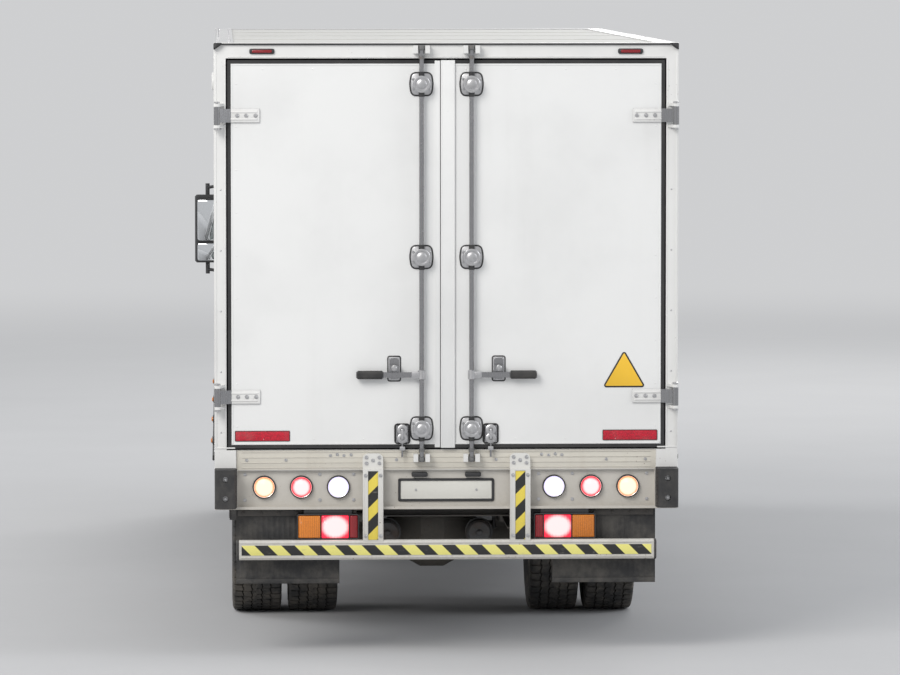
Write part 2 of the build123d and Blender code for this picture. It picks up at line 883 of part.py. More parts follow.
def engine():
    """Engine as one plain block with the gearbox behind it, on four arms from the rails."""
    bell = gearbox_back + gearbox_length
    body = block(-engine_half, engine_half, bell, front_axle_y + engine_front,
                 rail_bottom - engine_low, rail_bottom + engine_high)
    gearbox = block(-gearbox_half, gearbox_half, gearbox_back, bell,
                    rail_bottom - gearbox_low, rail_bottom + gearbox_high)
    body += fillet(gearbox.edges().filter_by(Axis.Y), 60)
    for y in (bell + 170, front_axle_y + 170):
        arm = block(engine_half, rail_outer - rail_sheet, y, y + 90, rail_bottom + 60, rail_bottom + 120)
        body += both_sides(arm)
    return body


def radiator():
    """Radiator block between the rails behind the grille, on two side arms."""
    core = block(-radiator_half, radiator_half, radiator_back, radiator_back + radiator_depth,
                 rail_bottom - radiator_low, rail_bottom + radiator_high)
    arm = block(radiator_half, rail_outer - rail_sheet, radiator_back + 20, radiator_back + 70,
                rail_bottom + 100, rail_bottom + 160)
    return core + both_sides(arm)


def propshaft():
    """Two-piece shaft from the gearbox to the rear axle, with a centre bearing."""
    start = (0, gearbox_back - 0.5, shaft_height)
    middle = (0, shaft_bearing_y + member_depth / 2, shaft_height - shaft_drop)
    end = (0, rear_axle_y + axle_snout + 5, snout_height)
    shaft = rod(shaft_radius, start, middle) + rod(shaft_radius, middle, end)
    for place, radius in ((start, 66), (middle, 75)):
        shaft += rod(radius, (0, place[1] - 50, place[2]), (0, place[1], place[2]))
    hanger = block(-90, 90, shaft_bearing_y, shaft_bearing_y + member_depth, shaft_height - shaft_drop,
                   member_bottom)
    return shaft + hanger


# Axles and steering

def front_axle():
    """Forged I-beam with dropped middle, kingpins and both front springs."""
    centre = tyre_radius
    top = ((-kingpin_x, centre + 50), (-700, centre + 50), (-500, centre - 20),
           (500, centre - 20), (700, centre + 50), (kingpin_x, centre + 50))
    bottom = ((kingpin_x, centre - 45), (700, centre - 45), (500, centre - 115),
              (-500, centre - 115), (-700, centre - 45), (-kingpin_x, centre - 45))
    beam = along_y(face_of(*top, *bottom), front_axle_y - 48, front_axle_y + 48)
    pocket = along_y(face_of((-480, centre - 42), (480, centre - 42), (480, centre - 93),
                             (-480, centre - 93)), 0, 34)
    beam -= Pos(0, front_axle_y + 16, 0) * pocket
    beam -= Pos(0, front_axle_y - 50, 0) * pocket
    for side in (-1, 1):
        x = side * kingpin_x
        beam += rod(kingpin_boss, (x, front_axle_y, centre - 45), (x, front_axle_y, centre + 50))
        beam += rod(kingpin_radius, (x, front_axle_y, centre - 100), (x, front_axle_y, centre + 105))
    x, y, low, half, camber, leaves = spring_table[0]
    spring = leaf_spring(x, y, low, half, camber, leaves)
    pad = block(x - 50, x + 50, y - 60, y + 60, centre - 20, low - spring_clamp)
    return group(beam + both_sides(pad), spring, other_side(spring))


def steering_knuckle():
    """Right-hand forked knuckle on its kingpin, with spindle and steering arm."""
    centre = tyre_radius
    x = kingpin_x
    upper = rod(44, (x, front_axle_y, centre + 56), (x, front_axle_y, centre + 92))
    lower = rod(44, (x, front_axle_y, centre - 92), (x, front_axle_y, centre - 51))
    web = block(x + kingpin_boss + 8, x + kingpin_boss + 34, front_axle_y - 55, front_axle_y + 55,
                centre - 92, centre + 92)
    bridge_up = block(x, x + kingpin_boss + 20, front_axle_y - 40, front_axle_y + 40, centre + 56,
                      centre + 92)
    bridge_low = block(x, x + kingpin_boss + 20, front_axle_y - 40, front_axle_y + 40, centre - 92,
                       centre - 51)
    spindle = rod(spindle_radius, (x + kingpin_boss + 30, front_axle_y, centre),
                  (front_track_half + 60, front_axle_y, centre))
    arm_top = centre - arm_drop
    arm = block(x - 22, x + 22, front_axle_y - arm_reach, front_axle_y - 30, arm_top - 27, arm_top)
    arm += rod(27, (x, front_axle_y - arm_reach, arm_top - 27), (x, front_axle_y - arm_reach, arm_top))
    stud = rod(11, (x, front_axle_y - arm_reach, arm_top - 27), (x, front_axle_y - arm_reach, arm_top + 48))
    knuckle = upper + lower + web + bridge_up + bridge_low + spindle + arm + stud
    bore = rod(kingpin_radius + fit_gap, (x, front_axle_y, centre - 120), (x, front_axle_y, centre + 120))
    return knuckle - bore


def track_rod():
    """Track rod between the steering arms, with an eye at each end."""
    y = front_axle_y - arm_reach
    z = tyre_radius - arm_drop + 22
    rod_body = rod(track_rod_radius, (-kingpin_x, y, z), (kingpin_x, y, z))
    for side in (-1, 1):
        x = side * kingpin_x
        rod_body += rod(26, (x, y, z - 19), (x, y, z + 19))
        rod_body -= rod(11 + fit_gap, (x, y, z - 40), (x, y, z + 40))
    return rod_body


def rear_axle():
    """Axle housing with its round drive case, and both rear springs."""
    end = twin_centre + 20
    tip = axle_end_radius
    case = turned(((-end, 0), (-end, tip), (-560, tip), (-560, 62), (-300, 70), (-170, 150), (-70, 205),
                   (70, 205),
                   (170, 150), (300, 70), (560, 62), (560, tip), (end, tip), (end, 0)), 0, rear_axle_y,
                   tyre_radius)
    x, y, low, half, camber, leaves = spring_table[1]
    spring = leaf_spring(x, y, low, half, camber, leaves)
    seat = block(x - 45, x + 45, y - 55, y + 55, tyre_radius + 20, low - spring_clamp)
    snout = rod(90, (0, rear_axle_y + 100, tyre_radius + 30),
                (0, rear_axle_y + axle_snout - 10, snout_height - 2))
    snout += rod(60, (0, rear_axle_y + 100, snout_height), (0, rear_axle_y + axle_snout, snout_height))
    return group(case + both_sides(seat) + snout, spring, other_side(spring))


# Wheels

def tyre(centre_x, axle_y):
    """Tyre with a flat crown, round shoulders and bulged side walls."""
    half = tyre_width / 2
    bead = rim_width / 2
    crown = half - 14
    section = face_of((-bead, bead_radius), (-bead, bead_radius + 16), (-half, bead_radius + 70),
                      (-half, tyre_radius - 50), (-crown, tyre_radius), (crown, tyre_radius),
                      (half, tyre_radius - 50), (half, bead_radius + 70), (bead, bead_radius + 16),
                      (bead, bead_radius))
    round_points = [point for point in section.vertices() if point.Y > bead_radius + 20]
    section = fillet(round_points, 12)
    return Pos(centre_x, axle_y, tyre_radius) * revolve(section, axis=Axis.X)


def rim(centre_x, axle_y, face, bore):
    """Steel rim with a dropped well and a coned disc, from the well to its mounting face."""
    edge = rim_width / 2
    outer = bead_radius
    barrel = turned(((-edge - 8, outer + 14), (-edge, outer + 14), (-edge, outer), (-edge + 45, outer),
                     (-edge + 70, outer - 32), (edge - 70, outer - 32), (edge - 45, outer), (edge, outer),
                     (edge, outer + 14), (edge + 8, outer + 14), (edge + 8, outer - 4),
                     (edge, outer - rim_sheet),
                     (edge - 50, outer - rim_sheet), (edge - 74, outer - 44), (-edge + 74, outer - 44),
                     (-edge + 50, outer - rim_sheet), (-edge, outer - rim_sheet), (-edge - 8, outer - 4)))
    way = 1 if face > 0 else -1
    back = face - way * disc_sheet
    seat = way * disc_seat
    disc = turned(((face, bore), (face, 178), (seat + way * disc_sheet, outer - 40), (seat, outer - 40),
                   (seat, outer - 50), (back, 170), (back, bore)))
    for step in range(8):
        disc -= Rot(step * 45, 0, 0) * rod(24, (-way * 10, 0, 205), (face + way * 20, 0, 205))
    return Pos(centre_x, axle_y, tyre_radius) * (barrel + disc)


def front_rim():
    """Right front rim with hub and brake drum."""
    wheel = rim(front_track_half, front_axle_y, front_disc_face, stud_circle_radius)
    back = front_disc_face - disc_sheet
    inner = drum_radius - 11
    bore = spindle_radius + fit_gap
    hub = turned(((-95, inner), (-95, drum_radius), (5, drum_radius), (5, 120), (back - 18, 120),
                  (back - 18, hub_radius), (back, hub_radius), (back, stud_circle_radius), (back + 24, 98),
                  (back + 34, 86), (back + 34, 0), (78, 0), (78, bore), (-60, bore), (-60, 100), (-10, 100),
                  (-10, inner)), front_track_half, front_axle_y, tyre_radius)
    return wheel + hub


def rear_rims():
    """Right twin rims with their hub and brake drum."""
    shift = twin_spacing / 2
    wheels = rim(twin_centre + shift, rear_axle_y, -shift, 110.0)
    wheels += rim(twin_centre - shift, rear_axle_y, shift, 110.0)
    inner = drum_radius - 11
    bore = axle_end_radius + fit_gap
    hub = turned(((-270, inner), (-270, drum_radius), (-80, drum_radius), (-80, 120),
                  (-disc_sheet - 18, 120),
                  (-disc_sheet - 18, hub_radius), (-disc_sheet, hub_radius), (-disc_sheet, 110), (40, 110),
                  (60, 98),
                  (190, 92), (205, 80), (205, 0), (24, 0), (24, bore), (-200, bore), (-200, 100),
                  (-96, 100),
                  (-96, inner)), twin_centre, rear_axle_y, tyre_radius)
    return wheels + hub


# Equipment on the chassis

def fuel_tank():
    """Round-cornered fuel tank on the right rail, on two brackets."""
    x0 = rail_outer + tank_inner
    x1 = x0 + tank_width
    z0 = rail_bottom - tank_low
    z1 = rail_bottom + tank_high
    outline = round_face(((x0, z0), (x1, z0), (x1, z1), (x0, z1)), tank_round)
    tank = along_y(outline, tank_back, tank_front)
    for y in (tank_back + 160, tank_front - 220):
        tank += block(rail_outer, x0 + 40, y, y + 70, rail_bottom + 20, z1)
    return tank


def air_tanks():
    """Two air tanks across the frame behind the gearbox."""
    tanks = Part()
    z = rail_bottom - air_tank_drop
    for place in air_tank_places:
        y = tank_back + place
        tank = rod(air_tank_radius, (-air_tank_half, y, z), (air_tank_half, y, z))
        tank = fillet(tank.edges(), 45)
        tanks += tank
        for x in (-air_tank_half + 22, air_tank_half - 22):
            tanks += block(x - 14, x + 14, y - 30, y + 30, z + 30, rail_bottom)
    return tanks


def battery_box():
    """Battery box on the left rail."""
    x1 = -rail_outer - battery_inner
    x0 = x1 - battery_width
    y0 = tank_front - battery_length
    top = rail_bottom + battery_high
    case = block(x0, x1, y0, tank_front, rail_bottom - battery_low, top)
    case = fillet(case.edges().filter_by(Axis.Z), 25)
    lid = block(x0 - 10, x1 + 10, y0 - 10, tank_front + 10, top, top + battery_lid)
    arm = block(x1 - 40, -rail_outer, y0 + 150, tank_front - 150, rail_bottom + 20, rail_bottom + 120)
    return case + fillet(lid.edges().filter_by(Axis.Z), 25) + arm


def exhaust_silencer():
    """Silencer drum with its tail pipe on the left rail."""
    z = rail_bottom - silencer_drop
    y0 = tank_back - silencer_gap
    drum = rod(silencer_radius, (-silencer_x, y0, z), (-silencer_x, y0 + silencer_length, z))
    drum = fillet(drum.edges(), 30)
    pipe_y = y0 - 120
    bend = FilletPolyline((-silencer_x, y0 + 10, z), (-silencer_x, pipe_y, z),
                          (-tail_pipe_x, pipe_y, z - 40),
                          radius=60)
    pipe = sweep(Plane(origin=bend @ 0, z_dir=bend % 0) * Circle(tail_pipe_radius), path=bend)
    arm = block(-silencer_x + 100, -rail_outer, y0 + 280, y0 + 360, rail_bottom + 60, rail_bottom + 150)
    return drum + pipe + arm


def side_guards():
    """Two guard rails on each side between the axles, on upright brackets."""
    y0 = rear_axle_y + tyre_radius + guard_axle_gap
    y1 = tank_back - guard_front_gap
    low = rail_bottom - guard_low_drop
    high = rail_bottom + guard_high_rise
    top = rail_bottom + guard_post_rise
    inner = guard_outer - guard_sheet
    pieces = [block(inner, guard_outer, y0, y1, z, z + guard_rail_tall) for z in (low, high)]
    for y in (y0 + 120, (y0 + y1) / 2, y1 - 180):
        pieces.append(block(inner - guard_post, inner, y, y + 60, low, top))
        pieces.append(block(rail_outer, inner - guard_post, y, y + 60, top - 60, top))
    guard = group(*pieces)
    return group(guard, other_side(guard))


def mudguards():
    """Curved guards over the twin wheels on brackets, and the flaps at the tail."""
    radius = tyre_radius + mudguard_gap
    ring = Circle(radius + mudguard_sheet) - Circle(radius)
    window = Pos(0, radius) * Rectangle(2.2 * radius, 1.5 * radius)
    inner = inner_twin_x - tyre_width / 2 - mudguard_inner_gap
    outer = outer_twin_x + tyre_width / 2 + mudguard_outer_gap
    arch = along_x(Pos(rear_axle_y, tyre_radius) * (ring & window), inner, outer)
    low = tyre_radius + round((radius ** 2 - mudguard_arm_y ** 2) ** 0.5) + 2
    for y in (rear_axle_y - mudguard_arm_y, rear_axle_y + mudguard_arm_y):
        arch += block(rail_outer, mudguard_arm_x, y - 14, y + 14, low, low + mudguard_arm_tall)
    web = rear_face + panel_recess + panel_sheet
    hang = web + 24
    flap = block(flap_inner, flap_outer, hang, hang + flap_thick, flap_bottom, panel_bottom)
    flap += block(flap_inner, panel_half - 2, web, hang + flap_thick, panel_bottom,
                  panel_bottom + panel_sheet)
    arch_and_flap = group(arch, flap)
    return group(arch_and_flap, other_side(arch_and_flap))


# Cab

def cab_form(inset):
    """Outer form of the cab moved inwards by an inset: a side profile with rounded corners."""
    back = cab_back + inset
    nose = cab_front - inset
    half = cab_half - inset
    top = cab_top - inset
    screen_top = cab_front - nose_step - screen_lean - inset
    screen_low = cab_front - nose_step - inset
    profile = face_of((back, cab_bottom), (back, top), (screen_top, top), (screen_low, screen_base),
                      (nose, nose_height), (nose, cab_bottom))
    upper = [point for point in profile.vertices() if point.Y > nose_height - 1]
    profile = fillet(upper, cab_round - inset)
    form = along_x(profile, -half, half)
    ends = [edge for edge in form.edges() if abs(abs(edge.center().X) - half) < 0.5
            and edge.center().Z > cab_bottom + 1]
    return fillet(ends, cab_round - inset - 10)


def hinge_bar(radius, low, high):
    """Upright round bars on the right-hand door's axis, one for each hinge."""
    bars = Part()
    for height in cab_hinge_heights:
        bars += rod(radius, (cab_half, door_axis_y, height + low), (cab_half, door_axis_y, height + high))
    return bars


def door_outline(gap):
    """Side outline of a cab door in (y, z), smaller by a gap."""
    return round_face(((door_back + gap, door_bottom + gap), (door_front - gap, door_bottom + gap),
                       (door_front - gap, door_top - gap), (door_back + gap, door_top - gap)), 60)


def window_outline(grow):
    """Side window outline in (y, z), larger by an amount."""
    y0 = door_back + window_inset + 10 - grow
    y1 = door_front - window_inset + grow
    top = door_top - window_inset + grow
    low = screen_base + 60 - grow
    return round_face(((y0, low + 60), (y1, low), (y1, top), (y0, top)), window_round)


def screen_outline():
    """Windscreen outline in (x, z)."""
    low = cab_half - screen_low_inset
    high = cab_half - screen_high_inset
    bottom = screen_base + screen_low_gap
    top = cab_top - screen_high_gap
    return round_face(((-low, bottom), (low, bottom), (high, top), (-high, top)), 80)


def rear_window_outline():
    """Cab rear window outline in (x, z)."""
    half = cab_half - rear_window_inset
    bottom = cab_floor + rear_window_rise
    top = cab_top - rear_window_drop
    return round_face(((-half, bottom), (half, bottom), (half, top), (-half, top)), 60)


def cab_shell(outer, inner):
    """Hollow cab with floor, open underneath, with arches and door, window and grille openings."""
    inside = cab_half - cab_wall
    cabin = inner & block(-cab_half, cab_half, cab_back, front_end, cab_floor + cab_wall, cab_top)
    below = inner & block(-cab_half, cab_half, cab_back, front_end, cab_bottom - 10, cab_floor)
    below += block(-inside, inside, cab_back - 10, cab_back + 200, cab_bottom - 10, cab_floor)
    shell = outer - cabin - below
    arch = Pos(front_axle_y, tyre_radius) * Circle(arch_radius)
    shell -= along_x(arch, -cab_half, cab_half)
    shell -= block(-cab_half, cab_half, cab_back, front_axle_y, cab_bottom, cab_bottom + arch_foot_rise)
    outline = door_outline(0)
    shell -= along_x(outline, inside - 1, cab_half + 1)
    shell -= along_x(outline, -cab_half - 1, -inside + 1)
    shell -= along_y(screen_outline(), front_axle_y + 600, front_end)
    shell -= along_y(rear_window_outline(), cab_back - 1, cab_back + cab_wall + 1)
    shell -= block(-grille_half, grille_half, cab_front - cab_wall - 1, cab_front + 1, grille_bottom,
                   grille_top)
    lug = round_face(((tilt_y - 60, cab_floor + 20), (tilt_y - 40, tilt_z - 45), (tilt_y + 40, tilt_z - 45),
                      (tilt_y + 60, cab_floor + 20)), 20)
    lug = along_x(lug, 560, 600) - rod(tilt_tube_radius + fit_gap, (500, tilt_y, tilt_z),
                                       (660, tilt_y, tilt_z))
    half = cab_hinge_half
    shell -= both_sides(hinge_bar(cab_hinge_radius + cab_hinge_clear, -1, half + 1))
    shell += both_sides(hinge_bar(cab_hinge_radius, -half, 0) + hinge_bar(cab_hinge_pin, -half, half))
    return shell + both_sides(lug)


def cab_glass():
    """Windscreen and rear window set into their openings."""
    glass_outer = cab_form(glass_recess)
    glass_inner = cab_form(glass_recess + glass_thick)
    skin = glass_outer - glass_inner
    screen = skin & along_y(screen_outline(), front_axle_y + 600, front_end)
    rear = skin & along_y(rear_window_outline(), cab_back - 1, cab_back + cab_wall + 1)
    return group(screen, rear)


def cab_door(outer, inner):
    """Right-hand door cut from the cab's own wall, with its window opening."""
    inside = cab_half - cab_wall
    wall = outer - inner
    leaf = wall & along_x(door_outline(cab_door_gap), inside, cab_half + 1)
    leaf -= along_x(window_outline(0), inside - 1, cab_half + 1)
    half = cab_hinge_half
    leaf -= hinge_bar(cab_hinge_radius + cab_hinge_clear, -half - 1, touch_gap)
    leaf += hinge_bar(cab_hinge_radius, touch_gap, half)
    return leaf - hinge_bar(cab_hinge_pin + fit_gap, 0, half + 1)


def cab_door_glass():
    """Pane of the right-hand door, set into its window opening."""
    outside = cab_half - glass_recess
    return along_x(window_outline(0), outside - glass_thick, outside)


def grille():
    """Grille frame with level slats in the cab's front opening."""
    y0 = cab_front - cab_wall
    frame = block(-grille_half, grille_half, y0, cab_front, grille_bottom, grille_top)
    frame -= block(-grille_half + 30, grille_half - 30, y0, cab_front, grille_bottom + 30, grille_top - 30)
    pitch = (grille_top - grille_bottom - 60) / (grille_slats + 1)
    for step in range(grille_slats):
        height = grille_bottom + 30 + (step + 1) * pitch
        slat = face_of((y0 + 2, height + 14), (y0 + 8, height + 18), (cab_front - 4, height - 8),
                       (cab_front - 4, height - 18), (y0 + 6, height + 4))
        frame += along_x(slat, -grille_half + 20, grille_half - 20)
    return frame


def bumper_plan(inset, back):
    """Plan of the bumper with rounded front corners, moved inwards by an inset."""
    half = cab_half - inset
    front = front_end - inset
    plan = face_of((-half, back), (-half, front), (half, front), (half, back))
    return fillet(plan.vertices().sort_by(Axis.Y)[-2:], bumper_round - inset)


def lamp_block(front):
    """Space of the right headlamp in the bumper, up to a front plane."""
    x1 = cab_half - headlamp_inset
    z0 = bumper_bottom + headlamp_rise
    return block(x1 - headlamp_width, x1, front_end - bumper_sheet, front, z0, z0 + headlamp_tall)


def front_bumper():
    """Wrap-around bumper with a tow socket on the right, and the step boxes behind its ends."""
    plan = bumper_plan(0, bumper_back) - bumper_plan(bumper_sheet, bumper_back - 100)
    shell = along_z(plan, bumper_bottom, bumper_top)
    shell -= both_sides(lamp_block(front_end + 1))
    beam = block(-cab_half + 30, cab_half - 30, front_end - 195, front_end - 145, tow_z - 40, tow_z + 40)
    carriers = both_sides(block(330, 420, rail_front - 60, front_end - 35, tow_z - 40, rail_bottom))
    inner = cab_half - step_inset
    step = block(inner, cab_half - bumper_sheet, step_back, step_front, bumper_bottom + 20,
                 bumper_top + step_rise)
    tread = bumper_top - step_tread_drop
    step -= block(cab_half - step_tread_inset, cab_half, step_back + 30, step_front - 30, tread,
                  bumper_top + step_rise + 10)
    arm = block(rail_outer, inner, step_front - 250, step_front - 170, tread + 20, tread + 120)
    boss = rod(tow_boss_radius, (tow_x, front_end - tow_boss_length, tow_z), (tow_x, front_end, tow_z))
    bumper = shell + beam + carriers + both_sides(step + arm) + boss
    return bumper - rod(tow_bore_radius, (tow_x, front_end - tow_bore_depth, tow_z),
                        (tow_x, front_end + 1, tow_z))


def headlamps():
    """Headlamp blocks in the bumper's openings."""
    inside = along_z(bumper_plan(6, bumper_back), bumper_bottom, bumper_top)
    return both_sides(lamp_block(front_end) & inside)


def mirrors():
    """Door mirrors on two arms from the front pillars."""
    y = cab_front - mirror_setback
    low = screen_base + mirror_low_rise
    high = low + mirror_tall
    head = block(mirror_reach - mirror_width, mirror_reach, y - mirror_depth / 2, y + mirror_depth / 2,
                 low, high)
    head = fillet(head.edges().filter_by(Axis.Z), 28)
    head = chamfer(head.faces().sort_by(Axis.Z)[-1].edges() + head.faces().sort_by(Axis.Z)[0].edges(), 12)
    stalk_x = mirror_reach - 90
    arms = rod(15, (stalk_x, y, low - 80), (stalk_x, y, high + 80))
    foot_y = y - 105
    for height, level in ((high + 90, high + 50), (low - 70, low - 50)):
        arms += rod(11, (cab_half + 11, foot_y, height), (stalk_x, y, level))
        arms += block(cab_half, cab_half + 14, foot_y - 20, foot_y + 20, height - 32, height + 32)
    return both_sides(head + arms)


def dashboard():
    """Dashboard with the steering column and wheel on the left."""
    inside = cab_half - cab_wall - 12
    base = cab_front - cab_wall - nose_step
    foot = cab_floor + 280
    profile = round_face(((base - 380, foot + 30), (base - 60, foot), (base - 60, foot + 220),
                          (base - 260, foot + 280), (base - 400, foot + 200)), 25)
    panel = along_x(profile, -inside, inside)
    panel += block(-inside, inside, base - 260, base - 200, cab_floor + cab_wall, foot + 40)
    centre = (-wheel_x, base - 560, cab_floor + 550)
    column = rod(28, (-wheel_x, base - 300, cab_floor + 340), centre)
    wheel_plane = Plane(origin=centre, z_dir=(0, -260, 210))
    wheel = wheel_plane * Torus(wheel_radius, 15)
    spokes = wheel_plane * (Box(2 * wheel_radius - 10, 36, 14) + Cylinder(55, 40))
    return panel + column + wheel + spokes


# Seats: x centre, width
seat_table = (
    (-wheel_x, 520.0),
    (60.0, 460.0),
    (600.0, 480.0),
)


def seat_frames():
    """Seat boxes on the cab floor."""
    boxes = Part()
    for x, width in seat_table:
        boxes += block(x - width / 2 + 40, x + width / 2 - 40, seat_back - seat_back_half, seat_back + 450,
                       cab_floor + cab_wall, seat_height)
    return boxes


def seats():
    """Seat cushions and backs as simple padded blocks."""
    pieces = []
    for x, width in seat_table:
        front = seat_back + seat_back_half + 12
        cushion = block(x - width / 2, x + width / 2, front, front + seat_length, seat_height,
                        seat_height + seat_tall)
        back = block(-width / 2, width / 2, -seat_back_half, seat_back_half, 0, seat_back_tall)
        back = fillet(back.edges(), seat_round)
        back = Pos(x, seat_back, seat_height + 2.5) * (Rot(6, 0, 0) * back)
        pieces += [fillet(cushion.edges(), seat_round), back]
    return group(*pieces)


# Nodes

outer_form = cab_form(0)
inner_form = cab_form(cab_wall)
right_wall = box_right_wall()
right_door_leaf = rear_door(right_seam)
left_door_leaf = other_side(rear_door(-left_seam))
right_knuckle = steering_knuckle()
right_front_tyre = tyre(front_track_half, front_axle_y)
right_rear_tyres = group(tyre(outer_twin_x, rear_axle_y), tyre(inner_twin_x, rear_axle_y))
right_front_rim = front_rim()
right_rear_rims = rear_rims()
right_cab_door = cab_door(outer_form, inner_form)
right_cab_glass = cab_door_glass()

nodes = {
    "box_floor": box_floor(),
    "box_deck": deck_space(deck_gap),
    "box_right_wall": right_wall,
    "box_left_wall": other_side(right_wall),
    "box_roof": box_roof(),
    "box_front_wall": box_front_wall(),
    "box_trim": box_trim(),
    "rear_frame": rear_frame(),
    "lamp_panel": lamp_panel(),
    "corner_buffers": corner_buffers(),
    "rear_lamps": rear_lamps(),
    "underrun_bar": underrun_bar(),
    "rear_door_right": right_door_leaf,
    "rear_door_left": left_door_leaf,
    "rear_door_right_seal": door_seal(right_seam),
    "rear_door_left_seal": other_side(door_seal(-left_seam)),
    "rear_door_right_hardware": door_hardware(right_seam, True),
    "rear_door_left_hardware": other_side(door_hardware(-left_seam, False)),
    "fridge_unit": fridge_unit(),
    "evaporator": evaporator(),
    "frame_rails": frame_rails(),
    "cross_members": cross_members(),
    "frame_brackets": frame_brackets(),
    "subframe": subframe(),
    "engine": engine(),
    "radiator": radiator(),
    "propshaft": propshaft(),
    "front_axle": front_axle(),
    "rear_axle": rear_axle(),
    "steering_knuckle_right": right_knuckle,
    "steering_knuckle_left": other_side(right_knuckle),
    "track_rod": track_rod(),
    "front_tyre_right": right_front_tyre,
    "front_tyre_left": other_side(right_front_tyre),
    "front_rim_right": right_front_rim,
    "front_rim_left": other_side(right_front_rim),
    "rear_tyres_right": right_rear_tyres,
    "rear_tyres_left": other_side(right_rear_tyres),
    "rear_rims_right": right_rear_rims,
    "rear_rims_left": other_side(right_rear_rims),
    "fuel_tank": fuel_tank(),
    "air_tanks": air_tanks(),
    "battery_box": battery_box(),
    "exhaust_silencer": exhaust_silencer(),
    "side_guards": side_guards(),
    "mudguards": mudguards(),
    "front_bumper": front_bumper(),
    "headlamps": headlamps(),
    "cab_shell": cab_shell(outer_form, inner_form),
    "cab_glass": cab_glass(),
    "grille": grille(),
    "mirrors": mirrors(),
    "dashboard": dashboard(),
    "seat_frames": seat_frames(),
    "seats": seats(),
    "cab_door_right": right_cab_door,
    "cab_door_left": other_side(right_cab_door),
    "cab_door_right_glass": right_cab_glass,
    "cab_door_left_glass": other_side(right_cab_glass),
}

os.makedirs("parts", exist_ok=True)
for name, shape in nodes.items():
    export_step(shape, f"parts/{name}.step")
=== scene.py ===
"""Looks of the refrigerated truck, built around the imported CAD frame.

Everything is in metres in the frame's own axes: +Z up, +Y forward, +X to the truck's right, with the
origin on the ground under the middle of the truck.
"""

import logging
import math
from dataclasses import dataclass
from enum import Enum
from typing import Any, Iterable, Sequence

import bpy
import numpy as np
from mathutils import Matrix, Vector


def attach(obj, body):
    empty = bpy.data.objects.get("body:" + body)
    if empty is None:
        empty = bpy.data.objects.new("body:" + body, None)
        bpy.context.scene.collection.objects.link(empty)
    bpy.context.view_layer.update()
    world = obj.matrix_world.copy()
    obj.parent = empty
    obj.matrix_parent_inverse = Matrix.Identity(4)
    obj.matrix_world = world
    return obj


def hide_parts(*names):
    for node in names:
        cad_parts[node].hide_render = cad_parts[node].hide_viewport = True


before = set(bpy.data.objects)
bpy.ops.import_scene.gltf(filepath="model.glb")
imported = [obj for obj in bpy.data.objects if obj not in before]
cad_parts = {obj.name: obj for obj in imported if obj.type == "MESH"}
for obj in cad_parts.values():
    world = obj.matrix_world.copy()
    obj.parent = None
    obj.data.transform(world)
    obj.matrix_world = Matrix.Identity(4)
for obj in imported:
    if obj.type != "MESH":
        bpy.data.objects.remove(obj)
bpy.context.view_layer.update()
log = logging.getLogger("truck")

Colour = tuple[float, float, float]
Value = Any  # a number, a colour, a point or a Wire

REAR = -4.325  # rear face of the body
TAIL = -4.415  # rear face of the rubber buffers
PANEL_Y = REAR + 0.040  # face of the lamp panel
STRAP_Y = REAR - 0.008  # face of the hinge straps and of the overlap strip
ROD_Y = REAR - 0.032  # axis of the lock rods
HINGE_X = 1.282  # axis of the rear doors' hinges
HINGE_Y = REAR - 0.060
HINGE_HEIGHTS = (1.460, 3.034)
BODY_SIDE = 1.300
BODY_TOP = 3.440
SILL_TOP = 1.160  # also the load floor
LAMP_Z = 0.949  # middle of the round tail lamps
LENS_RADIUS = 0.0550
AXLE_Z = 0.465  # wheel centres, and the tyres' radius
FRONT_AXLE = 3.03
REAR_AXLE = -2.075
RAIL_X = 0.425
CAB_SIDE = 1.16
CAB_FRONT = 4.345
CAB_BACK = 2.595
CAB_TOP = 2.700
CAB_FLOOR = 1.186
SIDES = ((1, "right"), (-1, "left"))


# Shader wiring

class Wire:
    """Output of a shader node, with arithmetic that adds Math nodes."""

    def __init__(self, sheet: "Sheet", socket: bpy.types.NodeSocket) -> None:
        """Hold one output socket of a sheet."""
        self.sheet = sheet
        self.socket = socket

    def __add__(self, other: Value) -> "Wire":
        """Sum."""
        return self.sheet.math("ADD", self, other)

    def __sub__(self, other: Value) -> "Wire":
        """Difference."""
        return self.sheet.math("SUBTRACT", self, other)

    def __rsub__(self, other: Value) -> "Wire":
        """Difference from a number."""
        return self.sheet.math("SUBTRACT", other, self)

    def __mul__(self, other: Value) -> "Wire":
        """Product."""
        return self.sheet.math("MULTIPLY", self, other)

    def __truediv__(self, other: Value) -> "Wire":
        """Quotient."""
        return self.sheet.math("DIVIDE", self, other)

    __radd__ = __add__
    __rmul__ = __mul__

    def band(self, low: float, high: float, start: float = 0.0, end: float = 1.0) -> "Wire":
        """Smooth step of this value.

        Args:
            low: value at which the step starts.
            high: value at which it ends; it may be the lower of the two.
            start: result before the step.
            end: result after it.

        Returns:
            The stepped value.
        """
        if low > high:
            low, high, start, end = high, low, end, start
        sockets = {"Value": self, "From Min": low, "From Max": high, "To Min": start, "To Max": end}
        return self.sheet.node("ShaderNodeMapRange", {"interpolation_type": "SMOOTHSTEP"}, sockets)


